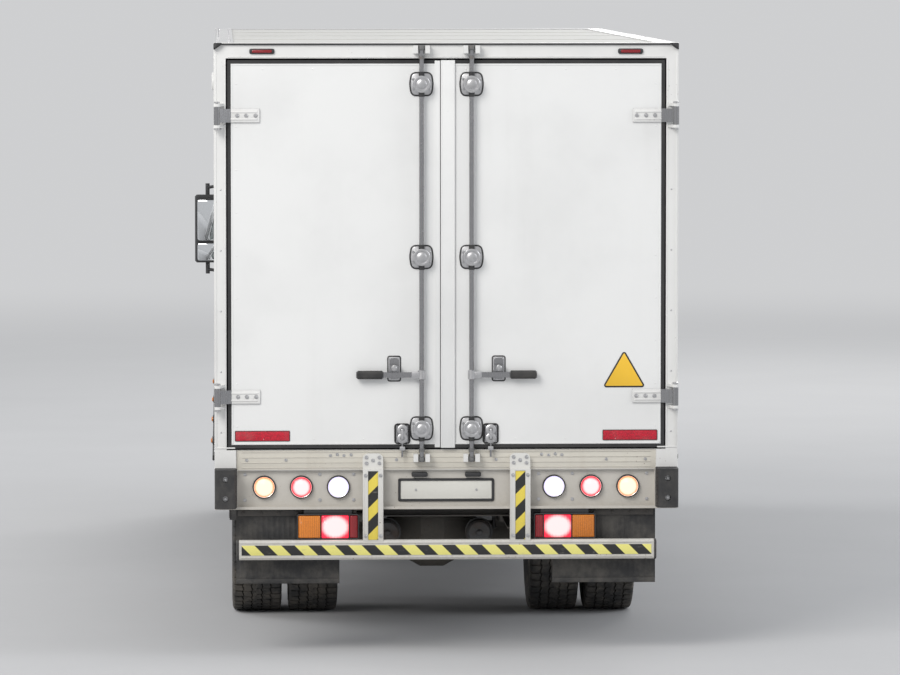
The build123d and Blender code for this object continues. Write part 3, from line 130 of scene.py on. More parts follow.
class Sheet:
    """Node tree of one material."""

    def __init__(self, tree: bpy.types.NodeTree) -> None:
        """Start with an empty tree."""
        self.tree = tree
        tree.nodes.clear()

    def node(self, kind: str, settings: dict[str, Any] | None = None,
             sockets: dict[str | int, Value] | None = None, out: int | str = 0) -> Wire:
        """Add one node.

        Args:
            kind: the node's type.
            settings: properties that are set first.
            sockets: values or wires of its inputs.
            out: the output to give back.

        Returns:
            That output.
        """
        made = self.tree.nodes.new(kind)
        for key, value in (settings or {}).items():
            setattr(made, key, value)
        for key, value in (sockets or {}).items():
            if isinstance(value, Wire):
                self.tree.links.new(value.socket, made.inputs[key])
            elif isinstance(value, tuple) and made.inputs[key].type == "RGBA":
                made.inputs[key].default_value = (*value, 1.0)
            else:
                made.inputs[key].default_value = value
        return Wire(self, made.outputs[out] if made.outputs else None)

    def math(self, operation: str, first: Value, second: Value = 0.0) -> Wire:
        """Math node on two values."""
        return self.node("ShaderNodeMath", {"operation": operation}, {0: first, 1: second})

    def most(self, first: Value, second: Value) -> Wire:
        """The larger of two values."""
        return self.math("MAXIMUM", first, second)

    def mix(self, first: Value, second: Value, share: Value) -> Wire:
        """Colour between two colours."""
        settings = {"data_type": "RGBA", "clamp_factor": True}
        return self.node("ShaderNodeMix", settings, {0: share, 6: first, 7: second}, 2)

    def place(self, stretch: Sequence[float] = (1.0, 1.0, 1.0)) -> Wire:
        """Object coordinates, stretched along each axis."""
        point = self.node("ShaderNodeTexCoord", out="Object")
        if tuple(stretch) == (1.0, 1.0, 1.0):
            return point
        return self.node("ShaderNodeMapping", None, {"Vector": point, "Scale": tuple(stretch)})

    def axes(self, point: Wire) -> tuple[Wire, Wire, Wire]:
        """The three numbers of a point."""
        split = self.node("ShaderNodeSeparateXYZ", None, {0: point})
        outs = split.socket.node.outputs
        return split, Wire(self, outs[1]), Wire(self, outs[2])

    def noise(self, scale: float, stretch: Sequence[float] = (1.0, 1.0, 1.0), detail: float = 3.0,
              roughness: float = 0.55) -> Wire:
        """Cloud noise between 0 and 1 on object coordinates."""
        sockets = {"Vector": self.place(stretch), "Scale": scale, "Detail": detail, "Roughness": roughness}
        return self.node("ShaderNodeTexNoise", None, sockets)

    def cells(self, scale: float, feature: str = "F1", out: int = 0,
              stretch: Sequence[float] = (1.0, 1.0, 1.0)) -> Wire:
        """Voronoi cells on object coordinates."""
        sockets = {"Vector": self.place(stretch), "Scale": scale}
        return self.node("ShaderNodeTexVoronoi", {"feature": feature}, sockets, out)

    def bump(self, height: Wire, strength: float, distance: float, normal: Wire | None = None) -> Wire:
        """Normal raised by a height."""
        sockets: dict[str | int, Value] = {"Height": height, "Strength": strength, "Distance": distance}
        if normal is not None:
            sockets["Normal"] = normal
        return self.node("ShaderNodeBump", None, sockets)


# Finishes

@dataclass(frozen=True)
class Finish:
    """What every surface finish has."""

    name: str
    colour: Colour
    roughness: float = 0.5
    metallic: float = 0.0
    coat: float = 0.0
    specular: float = 0.5

    def surface(self, sheet: Sheet) -> dict[str, Value]:
        """Shader inputs that vary over the surface."""
        cloud = sheet.noise(9.0)
        return {"Base Color": sheet.mix(self.colour, shade(self.colour, 0.82), cloud * 0.5),
                "Roughness": self.roughness + (cloud - 0.5) * 0.12,
                "Normal": sheet.bump(sheet.noise(160.0), 0.08, 0.001)}

    def constants(self) -> dict[str, Value]:
        """Shader inputs that are the same all over."""
        return {"Roughness": self.roughness, "Metallic": self.metallic, "Coat Weight": self.coat,
                "Specular IOR Level": self.specular}

    def material(self) -> bpy.types.Material:
        """The finish as a material, made once under a name no CAD colour has."""
        name = f"finish_{self.name}"
        found = bpy.data.materials.get(name)
        if found:
            return found
        made = bpy.data.materials.new(name)
        made.use_nodes = True
        sheet = Sheet(made.node_tree)
        inputs = {**self.constants(), **self.surface(sheet)}
        shader = sheet.node("ShaderNodeBsdfPrincipled", None, inputs)
        sheet.node("ShaderNodeOutputMaterial", None, {"Surface": shader})
        return made


def shade(colour: Colour, by: float) -> Colour:
    """A colour made darker or lighter by a factor."""
    return tuple(min(1.0, part * by) for part in colour)


@dataclass(frozen=True)
class Paint(Finish):
    """Painted or moulded panel: faint clouds, rain streaks, road film from below, chips and ripple."""

    film: float = 0.25
    film_top: float = 1.4
    film_colour: Colour = (0.30, 0.27, 0.23)
    streaks: float = 0.12
    chips: float = 0.0
    ripple: float = 0.15
    panel_pitch: float = 0.0

    def surface(self, sheet: Sheet) -> dict[str, Value]:
        """Road film fades with height and noise; streaks are noise drawn out along Z."""
        _, along, height = sheet.axes(sheet.place())
        cloud = sheet.noise(1.7, detail=5.0)
        fine = sheet.noise(55.0, detail=4.0)
        drawn = sheet.noise(7.0, (1.0, 1.0, 0.07), 4.0).band(0.52, 0.74)
        foot = (height + (cloud - 0.5) * 0.7).band(self.film_top, 0.15)
        film = foot * self.film * (0.55 + fine * 0.9)
        film = film + drawn * self.streaks * cloud
        base = sheet.mix(self.colour, shade(self.colour, 0.93), cloud.band(0.35, 0.75))
        base = sheet.mix(base, self.film_colour, film)
        rough = self.roughness + film * 0.5 + (fine - 0.5) * 0.08
        if self.chips:
            spots = sheet.cells(38.0).band(0.16, 0.09) * sheet.noise(3.0).band(0.52, 0.66)
            base = sheet.mix(base, (0.16, 0.10, 0.07), spots * self.chips)
            rough = rough + spots * 0.2
        normal = sheet.bump(sheet.noise(2.6, detail=1.5), self.ripple, 0.012)
        if self.panel_pitch:
            wave = sheet.math("PINGPONG", along, self.panel_pitch)
            seam = wave.band(0.006, 0.0)
            base = sheet.mix(base, shade(self.colour, 0.62), seam * 0.7)
            normal = sheet.bump(seam, 0.5, 0.002, normal)
        normal = sheet.bump(fine, 0.06, 0.0012, normal)
        return {"Base Color": base, "Roughness": rough, "Normal": normal}


class Grain(Enum):
    """How a bare metal surface is drawn out; each value stretches its noise."""

    ALONG_X = (0.03, 1.0, 1.0)
    ALONG_Y = (1.0, 0.03, 1.0)
    ALONG_Z = (1.0, 1.0, 0.03)
    CAST = (1.0, 1.0, 1.0)


@dataclass(frozen=True)
class Metal(Finish):
    """Bare or plated metal: drawn grain, spangle, oxide clouds and dirt in the low places."""

    metallic: float = 1.0
    grain: Grain = Grain.CAST
    spangle: float = 0.0
    oxide: float = 0.25
    oxide_colour: Colour = (0.30, 0.29, 0.28)

    def surface(self, sheet: Sheet) -> dict[str, Value]:
        """Grain is fine noise stretched along the drawing direction; spangle is flat cells."""
        grain = sheet.noise(130.0, self.grain.value, 3.0)
        cloud = sheet.noise(6.0, detail=6.0, roughness=0.65)
        stain = cloud.band(0.50, 0.75) * self.oxide
        base = sheet.mix(shade(self.colour, 1.08), shade(self.colour, 0.78), grain)
        rough = self.roughness + (grain - 0.5) * 0.25 + stain * 0.35
        if self.spangle:
            cell, _, _ = sheet.axes(sheet.cells(70.0, out=1))
            base = sheet.mix(base, shade(self.colour, 0.62), cell * self.spangle)
            rough = rough + cell * 0.12
        base = sheet.mix(base, self.oxide_colour, stain)
        return {"Base Color": base, "Roughness": rough, "Metallic": self.metallic - stain * 0.6,
                "Normal": sheet.bump(grain, 0.12, 0.0008)}


@dataclass(frozen=True)
class Rubber(Finish):
    """Black rubber: grey bloom, dust that is thicker low down, fine skin and optional ribs."""

    dust: float = 0.35
    dust_top: float = 0.9
    dust_colour: Colour = (0.22, 0.20, 0.17)

    def surface(self, sheet: Sheet) -> dict[str, Value]:
        """Dust is noise times a fall with height; the skin is fine noise."""
        _, _, height = sheet.axes(sheet.place())
        cloud = sheet.noise(5.0, detail=6.0, roughness=0.7)
        fine = sheet.noise(240.0, detail=2.0)
        fall = height.band(self.dust_top, 0.0, 0.35, 1.0)
        dust = cloud.band(0.38, 0.72) * fall * self.dust
        base = sheet.mix(self.colour, shade(self.colour, 2.2), cloud * 0.6)
        base = sheet.mix(base, self.dust_colour, dust)
        return {"Base Color": base, "Roughness": self.roughness + dust * 0.2 - (fine - 0.5) * 0.1,
                "Normal": sheet.bump(fine, 0.25, 0.0008)}


@dataclass(frozen=True)
class Grained(Finish):
    """Moulded plastic with a leather-like grain and rubbed, paler clouds."""

    grain_scale: float = 260.0

    def surface(self, sheet: Sheet) -> dict[str, Value]:
        """Grain is the distance to cell edges; rubbing is broad noise."""
        edge = sheet.cells(self.grain_scale, "DISTANCE_TO_EDGE").band(0.0, 0.18)
        cloud = sheet.noise(4.0, detail=5.0)
        base = sheet.mix(self.colour, shade(self.colour, 1.55), cloud.band(0.45, 0.8) * 0.6)
        return {"Base Color": base, "Roughness": self.roughness + (cloud - 0.5) * 0.2,
                "Normal": sheet.bump(edge, 0.30, 0.0006)}


@dataclass(frozen=True)
class Stripes(Finish):
    """Reflective tape with slanted bands: two colours, a fine cell pattern, scratches and dirt."""

    second: Colour = (0.02, 0.02, 0.02)
    pitch: float = 0.15
    lean: float = 1.0
    share: float = 0.5

    def surface(self, sheet: Sheet) -> dict[str, Value]:
        """A band is where the remainder of (x + lean z) over the pitch is under the share."""
        across, _, height = sheet.axes(sheet.place())
        turn = sheet.math("FRACT", (across + height * self.lean) / self.pitch + 50.0)
        edge = sheet.math("PINGPONG", turn + (1.0 - self.share) / 2.0, 0.5)
        dark = edge.band(0.25 - 0.012, 0.25 + 0.012)
        cloud = sheet.noise(14.0, detail=6.0, roughness=0.7)
        mesh = sheet.cells(420.0, "DISTANCE_TO_EDGE").band(0.0, 0.12)
        worn = sheet.noise(60.0, (0.25, 1.0, 1.0), 5.0).band(0.60, 0.72) * cloud.band(0.4, 0.65)
        base = sheet.mix(self.colour, shade(self.colour, 0.78), mesh * 0.5 + cloud * 0.3)
        base = sheet.mix(base, self.second, dark)
        base = sheet.mix(base, (0.35, 0.33, 0.29), worn * 0.35)
        return {"Base Color": base, "Roughness": self.roughness + worn * 0.3,
                "Normal": sheet.bump(mesh, 0.12, 0.0005)}


@dataclass(frozen=True)
class Prism(Finish):
    """Reflector film or moulded reflector: honeycomb of prisms that catch light unevenly."""

    cell: float = 210.0

    def surface(self, sheet: Sheet) -> dict[str, Value]:
        """Each prism has its own brightness, a painted glint for the light it catches; its edges are darker.
        """
        tone, _, _ = sheet.axes(sheet.cells(self.cell, out=1))
        edge = sheet.cells(self.cell, "DISTANCE_TO_EDGE").band(0.10, 0.0)
        # Lighter and darker prisms are painted glint.
        base = sheet.mix(shade(self.colour, 1.2), shade(self.colour, 0.6), tone)
        base = sheet.mix(base, shade(self.colour, 0.4), edge * 0.6)
        film = sheet.noise(8.0, detail=5.0).band(0.5, 0.8) * 0.2
        return {"Base Color": sheet.mix(base, (0.4, 0.37, 0.33), film),
                "Roughness": self.roughness + tone * 0.15, "Normal": sheet.bump(tone, 0.3, 0.0006)}


@dataclass(frozen=True)
class LitLens(Finish):
    """Lit lamp lens: a white-hot middle in a coloured edge, with flutes; reads the lens's own UV."""

    core: Colour = (1.0, 0.97, 0.92)
    core_size: float = 0.62
    glow: float = 1.0
    flutes: float = 22.0

    def constants(self) -> dict[str, Value]:
        """Adds the strength of the light."""
        return {**super().constants(), "Emission Strength": self.glow}

    def surface(self, sheet: Sheet) -> dict[str, Value]:
        """The distance from the lens's middle blends the core into the edge colour."""
        across, up, _ = sheet.axes(sheet.node("ShaderNodeTexCoord", out="UV"))
        far = sheet.math("SQRT", across * across + up * up)
        flute = sheet.math("PINGPONG", across * self.flutes, 1.0)
        rings = sheet.math("PINGPONG", far * self.flutes * 0.6, 1.0)
        speck = sheet.noise(90.0)
        hot = (far + (speck - 0.5) * 0.10 + (flute - 0.5) * 0.06).band(self.core_size + 0.22,
                                                                       self.core_size - 0.12)
        tone = sheet.mix(self.colour, self.core, hot)
        return {"Base Color": sheet.mix(self.colour, shade(self.colour, 0.7), flute * 0.5),
                "Emission Color": tone, "Roughness": self.roughness + speck * 0.05,
                "Normal": sheet.bump(flute + rings, 0.35, 0.0012)}


@dataclass(frozen=True)
class Lens(Finish):
    """Unlit lamp lens: deep colour with flutes and a moulded cell pattern."""

    flutes: float = 190.0

    def surface(self, sheet: Sheet) -> dict[str, Value]:
        """Flutes run up the lens; cells darken its colour."""
        across, along, _ = sheet.axes(sheet.place())
        flute = sheet.math("PINGPONG", (across + along) * self.flutes, 1.0)
        cell = sheet.cells(150.0)
        base = sheet.mix(self.colour, shade(self.colour, 0.45), flute * 0.5 + cell * 0.4)
        return {"Base Color": base, "Roughness": self.roughness + cell * 0.05,
                "Normal": sheet.bump(flute, 0.4, 0.0012)}


@dataclass(frozen=True)
class Pane(Finish):
    """Window glass: clear, with wiped arcs of dust and a little film."""

    clear: float = 1.0

    def constants(self) -> dict[str, Value]:
        """Adds what light goes through."""
        return {**super().constants(), "Transmission Weight": self.clear, "IOR": 1.45}

    def surface(self, sheet: Sheet) -> dict[str, Value]:
        """Dust roughens the glass in soft clouds."""
        cloud = sheet.noise(3.0, detail=6.0).band(0.45, 0.8)
        fine = sheet.noise(45.0)
        return {"Base Color": sheet.mix(self.colour, shade(self.colour, 0.9), cloud),
                "Roughness": self.roughness + cloud * 0.05 + fine * 0.02}


@dataclass(frozen=True)
class Cloth(Finish):
    """Woven seat cover: crossing threads, heather tones and pile."""

    thread: float = 900.0

    def constants(self) -> dict[str, Value]:
        """Adds the pile's sheen."""
        return {**super().constants(), "Sheen Weight": 0.35, "Sheen Roughness": 0.5}

    def surface(self, sheet: Sheet) -> dict[str, Value]:
        """Warp and weft are waves along two axes, multiplied."""
        across, along, height = sheet.axes(sheet.place())
        warp = sheet.math("SINE", across * self.thread)
        weft = sheet.math("SINE", (along + height) * self.thread)
        weave = warp * weft * 0.5 + 0.5
        heather = sheet.noise(70.0, detail=5.0)
        base = sheet.mix(shade(self.colour, 0.7), shade(self.colour, 1.5), heather)
        base = sheet.mix(base, shade(self.colour, 0.45), weave * 0.5)
        return {"Base Color": base, "Roughness": self.roughness + weave * 0.1,
                "Normal": sheet.bump(weave + heather, 0.45, 0.0008)}


WHITE_PANEL = Paint("white_gelcoat", (0.80, 0.80, 0.79), 0.30, coat=0.25, film=0.10, film_top=1.7,
                    streaks=0.06,
                    ripple=0.10)
# The roof is the walls' white gelcoat painted far darker: painted shade, so that its strongly lit top stays
# short of white; the road film over it is real dirt.
SHADED_ROOF_PANEL = Paint("roof_gelcoat_painted_shade", (0.55, 0.55, 0.535), 0.62, film=0.30, film_top=8.0, streaks=0.16,
                   ripple=0.12)
SIDE_PANEL = Paint("white_side_panel", (0.80, 0.80, 0.79), 0.32, coat=0.2, film=0.28, film_top=2.1,
                   streaks=0.16,
                   ripple=0.12, panel_pitch=0.61)
WHITE_STEEL = Paint("white_steel_paint", (0.76, 0.755, 0.74), 0.38, coat=0.15, film=0.22, film_top=1.9,
                    streaks=0.18,
                    chips=0.35)
SILL_PAINT = Paint("cream_sill_paint", (0.66, 0.63, 0.56), 0.46, film=0.55, film_top=1.5, streaks=0.30,
                   chips=0.8,
                   film_colour=(0.34, 0.29, 0.22))
# The lamp panel is the sill's off-white paint drawn darker and greyer: partly real dirt, partly painted shade
# of its recess under the sill.
PANEL_PAINT_DIRT_AND_SHADE = Paint("lamp_panel_paint", (0.60, 0.575, 0.53), 0.46, film=0.60, film_top=1.45, streaks=0.35,
                    chips=0.6,
                    film_colour=(0.36, 0.32, 0.26))
BAR_PAINT = Paint("underrun_paint", (0.72, 0.71, 0.68), 0.42, film=0.65, film_top=1.25, streaks=0.2,
                  chips=0.9,
                  film_colour=(0.30, 0.27, 0.22))
CAB_PAINT = Paint("cab_white_paint", (0.75, 0.75, 0.74), 0.22, coat=0.6, film=0.35, film_top=1.5,
                  streaks=0.05,
                  ripple=0.05)
FRAME_PAINT = Paint("chassis_black", (0.035, 0.036, 0.040), 0.5, film=0.75, film_top=1.25, streaks=0.2,
                    chips=0.5,
                    film_colour=(0.20, 0.175, 0.145))
UNDERBODY = Paint("underbody_grey", (0.10, 0.10, 0.105), 0.62, film=0.7, film_top=1.6, streaks=0.2, chips=0.6,
                  film_colour=(0.22, 0.19, 0.16))
RIM_PAINT = Paint("rim_silver", (0.50, 0.51, 0.52), 0.38, metallic=0.35, film=0.75, film_top=1.3, streaks=0.1,
                  chips=0.6, film_colour=(0.20, 0.16, 0.12))
CAST_IRON = Metal("cast_iron", (0.20, 0.20, 0.20), 0.6, metallic=0.7, oxide=0.6,
                  oxide_colour=(0.20, 0.13, 0.09))
AXLE_CAST = Paint("axle_cast", (0.10, 0.10, 0.10), 0.62, film=0.85, film_top=1.1, streaks=0.2, chips=0.6,
                  film_colour=(0.24, 0.215, 0.18))
ZINC = Metal("zinc_plated", (0.62, 0.62, 0.63), 0.34, spangle=0.45, oxide=0.3)
STAINLESS = Metal("brushed_rod", (0.36, 0.36, 0.37), 0.26, grain=Grain.ALONG_Z, oxide=0.15)
DECK_PAINT = Paint("deck_aluminium", (0.47, 0.475, 0.48), 0.36, film=0.22, film_top=2.2, streaks=0.2,
                   chips=0.2)
ALUMINIUM = Metal("anodised_strip", (0.72, 0.72, 0.72), 0.34, grain=Grain.ALONG_Y, oxide=0.2)
TANK_METAL = Metal("tank_aluminium", (0.66, 0.66, 0.67), 0.30, grain=Grain.ALONG_X, oxide=0.35)
CHROME = Metal("bright_reflector", (0.85, 0.85, 0.86), 0.08, oxide=0.05)
BLACK_RUBBER = Rubber("black_rubber", (0.018, 0.018, 0.019), 0.62, dust=0.45, dust_top=1.3)
SEAL_RUBBER = Rubber("seal_rubber", (0.016, 0.016, 0.017), 0.55, dust=0.15, dust_top=2.0)
TYRE_RUBBER = Rubber("tyre_rubber", (0.022, 0.022, 0.022), 0.75, dust=0.75, dust_top=1.1,
                     dust_colour=(0.17, 0.15, 0.125))
BLACK_PLASTIC = Grained("black_plastic", (0.028, 0.028, 0.030), 0.5)
GREY_PLASTIC = Grained("dash_plastic", (0.075, 0.077, 0.082), 0.6)
PALE_LINING = Grained("cab_lining", (0.42, 0.42, 0.40), 0.8, grain_scale=180.0)
BAND_TAPE = Stripes("upright_tape", (0.85, 0.68, 0.10), 0.35, lean=-1.0, share=0.5)
BAR_TAPE = Stripes("bar_tape", (0.86, 0.80, 0.24), 0.35, lean=1.0, share=0.5)
RED_FILM = Prism("red_reflector", (0.58, 0.012, 0.035), 0.25)
AMBER_FILM = Prism("amber_reflector", (0.85, 0.28, 0.02), 0.25)
SIGN_YELLOW = Paint("sign_yellow", (0.83, 0.50, 0.035), 0.4, film=0.1, streaks=0.15, ripple=0.0)
SIGN_BLACK = Paint("sign_black", (0.02, 0.02, 0.02), 0.4, film=0.1, streaks=0.1, ripple=0.0)
PLATE_WHITE = Paint("blank_plate", (0.72, 0.71, 0.66), 0.35, film=0.3, streaks=0.1, ripple=0.0)
REVERSE_LENS = LitLens("reverse_lens", (0.42, 0.34, 0.88), 0.15, core=(1.0, 0.98, 1.0), core_size=0.92,
                       glow=1.0)
STOP_LENS = LitLens("stop_lens", (0.85, 0.03, 0.05), 0.15, core=(1.0, 0.90, 0.89), core_size=0.76, glow=1.0)
TURN_LENS = LitLens("turn_lens", (0.90, 0.20, 0.02), 0.15, core=(1.0, 0.93, 0.80), core_size=0.84, glow=1.0)
TAIL_LENS = LitLens("tail_lens", (0.80, 0.02, 0.05), 0.15, core=(1.0, 0.86, 0.84), core_size=0.70, glow=1.0)
DARK_RED_LENS = Lens("dark_red_lens", (0.32, 0.008, 0.015), 0.12, coat=0.5)
AMBER_LENS = Lens("amber_lens", (0.80, 0.24, 0.02), 0.12, coat=0.5)
CLEAR_LENS = Pane("clear_lens", (0.93, 0.95, 0.97), 0.03)
WINDOW = Pane("tinted_glass", (0.62, 0.72, 0.70), 0.02)
MIRROR_GLASS = Metal("mirror_glass", (0.80, 0.82, 0.84), 0.03, oxide=0.08)
SEAT_CLOTH = Cloth("seat_cloth", (0.060, 0.068, 0.090), 0.9)
SEAT_SIDE = Cloth("seat_bolster", (0.030, 0.031, 0.034), 0.85, thread=1300.0)
# Near-black finish for real dark mesh, housings and joints, and also for sheets of painted shade in slots,
# holes and openings.
DARK_MESH_AND_SHADE = Grained("dark_mesh_and_shade", (0.010, 0.010, 0.011), 0.7)


# Surfaces

class Facing(Enum):
    """The way a flat piece looks: its across, up and outward directions."""

    REAR = ((1, 0, 0), (0, 0, 1), (0, -1, 0))
    FRONT = ((1, 0, 0), (0, 0, 1), (0, 1, 0))
    RIGHT = ((0, 1, 0), (0, 0, 1), (1, 0, 0))
    LEFT = ((0, 1, 0), (0, 0, 1), (-1, 0, 0))
    TOP = ((1, 0, 0), (0, 1, 0), (0, 0, 1))
    BELOW = ((1, 0, 0), (0, 1, 0), (0, 0, -1))

    def put(self, points: np.ndarray, at: Sequence[float]) -> np.ndarray:
        """Turn (across, up, outward) points into the frame and move them to a place."""
        return points @ np.array(self.value, float) + np.array(at, float)


@dataclass
class Skin:
    """Surface of points and faces; the faces are grouped by their number of corners."""

    points: np.ndarray
    faces: list[np.ndarray]

    def __add__(self, other: "Skin") -> "Skin":
        """Both surfaces in one."""
        shifted = [rows + len(self.points) for rows in other.faces]
        return Skin(np.vstack([self.points, other.points]), self.faces + shifted)

    def moved(self, shift: Sequence[float]) -> "Skin":
        """The surface at another place."""
        return Skin(self.points + np.array(shift, float), self.faces)

    def mirrored(self) -> "Skin":
        """The surface on the truck's other side, faces still outwards."""
        return Skin(self.points * (-1, 1, 1), [rows[:, ::-1] for rows in self.faces])

    def both(self) -> "Skin":
        """The surface with its twin on the other side."""
        return self + self.mirrored()

    def side(self, sign: int) -> "Skin":
        """The right-hand surface, or its twin for a sign of -1."""
        return self if sign > 0 else self.mirrored()

    def copies(self, places: Iterable[Sequence[float]]) -> "Skin":
        """The surface repeated at each place; point k of copy n is point k plus place n."""
        shifts = np.array(list(places), float)
        points = (self.points[None] + shifts[:, None]).reshape(-1, 3)
        steps = (np.arange(len(shifts)) * len(self.points))[:, None, None]
        return Skin(points, [(rows[None] + steps).reshape(-1, rows.shape[1]) for rows in self.faces])

    def spun(self, centre: Sequence[float], count: int, phase: float = 0.0) -> "Skin":
        """The surface repeated in equal turns about a cross axis through a centre."""
        turn = np.arange(count) * 2 * math.pi / count + phase
        cos, sin, rest = np.cos(turn), np.sin(turn), np.zeros(count)
        spin = np.stack([rest + 1, rest, rest, rest, cos, -sin, rest, sin, cos], 1).reshape(count, 3, 3)
        points = np.einsum("nij,kj->nki", spin, self.points - np.array(centre)) + np.array(centre)
        steps = (np.arange(count) * len(self.points))[:, None, None]
        return Skin(points.reshape(-1, 3), [(rows[None] + steps).reshape(-1, rows.shape[1])
                                            for rows in self.faces])

    def outward(self) -> "Skin":
        """The same closed surface with its faces turned outwards, by the sign of its volume."""
        volume = sum(np.einsum("ni,ni->", self.points[rows[:, 0]],
                               np.cross(self.points[rows[:, k]], self.points[rows[:, k + 1]]))
                     for rows in self.faces for k in range(1, rows.shape[1] - 1))
        return self if volume > 0 else Skin(self.points, [rows[:, ::-1] for rows in self.faces])


def net(rings: np.ndarray, looped: bool = False, caps: bool = True) -> Skin:
    """Quads between rings of points, each ring closed on itself.

    Args:
        rings: points as (ring, place in the ring, xyz).
        looped: joins the last ring to the first, as on a torus.
        caps: closes the first and last ring with one face each, if they aren't joined.

    Returns:
        The surface, faces outwards.
    """
    count, size = rings.shape[:2]
    row = np.arange(count if looped else count - 1)[:, None]
    col = np.arange(size)[None, :]
    after, beside = (row + 1) % count, (col + 1) % size
    quads = np.stack([row * size + col, row * size + beside, after * size + beside, after * size + col], -1)
    faces = [quads.reshape(-1, 4)]
    if caps and not looped:
        faces.append(np.arange(size)[None, ::-1])
        faces.append(np.arange(size)[None, :] + (count - 1) * size)
    return Skin(rings.reshape(-1, 3), faces).outward()


def circle(radius: float, count: int = 32) -> np.ndarray:
    """Points of a circle: (r cos t, r sin t)."""
    turn = np.arange(count) * 2 * math.pi / count
    return radius * np.stack([np.cos(turn), np.sin(turn)], 1)


def hexagon(radius: float) -> np.ndarray:
    """Hexagon in twelve points, a corner and a middle in turn."""
    return circle(radius, 12) * np.where(np.arange(12) % 2, math.cos(math.pi / 6), 1.0)[:, None]


def rounded(points: Sequence[Sequence[float]], radius: float, steps: int = 5) -> np.ndarray:
    """Closed outline with rounded corners.

    Each corner is an arc between two points the radius short of it: the rational quadratic curve whose
    middle weight is the sine of half the corner's angle.
    """
    corner = np.array(points, float)
    before, after = np.roll(corner, 1, 0) - corner, np.roll(corner, -1, 0) - corner
    back, on = (v / np.linalg.norm(v, axis=1, keepdims=True) * np.minimum(
        radius, 0.48 * np.linalg.norm(v, axis=1, keepdims=True)) for v in (before, after))
    cosine = np.sum(back * on, 1) / (np.linalg.norm(back, axis=1) * np.linalg.norm(on, axis=1))
    weight = np.sqrt((1 - cosine) / 2)[:, None, None]
    share = np.linspace(0, 1, steps)[None, :, None]
    low, middle, high = (1 - share) ** 2, 2 * weight * share * (1 - share), share ** 2
    curve = (low * back[:, None] + high * on[:, None]) / (low + middle + high)
    return (corner[:, None] + curve).reshape(-1, 2)


def oblong(width: float, height: float, radius: float = 0.003, steps: int = 4) -> np.ndarray:
    """Rounded rectangle about the origin."""
    a, b = width / 2, height / 2
    return rounded([(-a, -b), (a, -b), (a, b), (-a, b)], min(radius, 0.98 * min(a, b)), steps)


def inset(outline: np.ndarray, by: float) -> np.ndarray:
    """Outline moved inwards: each point goes along the mean normal of its two sides."""
    ahead = np.roll(outline, -1, 0) - np.roll(outline, 1, 0)
    length = np.linalg.norm(ahead, axis=1, keepdims=True)
    normal = np.stack([-ahead[:, 1], ahead[:, 0]], 1) / np.maximum(length, 1e-9)
    area = np.sum(outline[:, 0] * np.roll(outline[:, 1], -1) - outline[:, 1] * np.roll(outline[:, 0], -1))
    return outline + normal * by * np.sign(area)


def stacked(layers: Sequence[tuple[np.ndarray, float]], facing: Facing, at: Sequence[float],
            looped: bool = False) -> Skin:
    """Outlines at rising heights joined into one closed surface.

    Args:
        layers: (outline, height) pairs, every outline with the same number of points.
        facing: which way the height goes.
        at: the origin of the outlines.
        looped: joins the last outline to the first.

    Returns:
        The surface.
    """
    rings = np.stack([np.column_stack([outline, np.full(len(outline), height)]) for outline,
                      height in layers])
    return net(facing.put(rings, at), looped)


def slab(outline: np.ndarray, thick: float, facing: Facing, at: Sequence[float],
         bevel: float = 0.001) -> Skin:
    """Plate with a softened front edge, from its outline."""
    layers = [(outline, 0.0), (outline, thick - bevel), (inset(outline, bevel * 0.4), thick - bevel * 0.3),
              (inset(outline, bevel), thick)]
    return stacked(layers, facing, at)


def hoop(outline: np.ndarray, width: float, thick: float, facing: Facing, at: Sequence[float],
         bevel: float = 0.0015) -> Skin:
    """Frame that follows an outline inwards by its width, with softened front edges."""
    inner = inset(outline, width)
    layers = [(outline, 0.0), (outline, thick - bevel), (inset(outline, bevel), thick),
              (inset(inner, -bevel), thick), (inner, thick - bevel), (inner, 0.0)]
    return stacked(layers, facing, at, True)


def turned(profile: Sequence[Sequence[float]], facing: Facing, at: Sequence[float], count: int = 32,
           looped: bool = False) -> Skin:
    """Solid of revolution from (outward place, radius) pairs; a pair is a circle of that radius."""
    return stacked([(circle(max(radius, 0.0004), count), place) for place, radius in profile], facing, at,
                   looped)


def crossbar(profile: np.ndarray, start: float, end: float, facing: Facing, at: Sequence[float]) -> Skin:
    """Section carried straight along the outward direction from one place to another."""
    return stacked([(profile, start), (profile, end)], facing, at)


def bent(points: Sequence[Sequence[float]], radius: float, steps: int = 6) -> np.ndarray:
    """Open path with its inner corners rounded by quadratic curves."""
    path = np.array(points, float)
    before, after = path[:-2] - path[1:-1], path[2:] - path[1:-1]
    back, on = (v / np.linalg.norm(v, axis=1, keepdims=True) * np.minimum(
        radius, 0.48 * np.linalg.norm(v, axis=1, keepdims=True)) for v in (before, after))
    share = np.linspace(0, 1, steps)[None, :, None]
    curve = (path[1:-1, None] + (1 - share) ** 2 * back[:, None] + share ** 2 * on[:, None]).reshape(-1, 3)
    return np.vstack([path[:1], curve, path[-1:]])


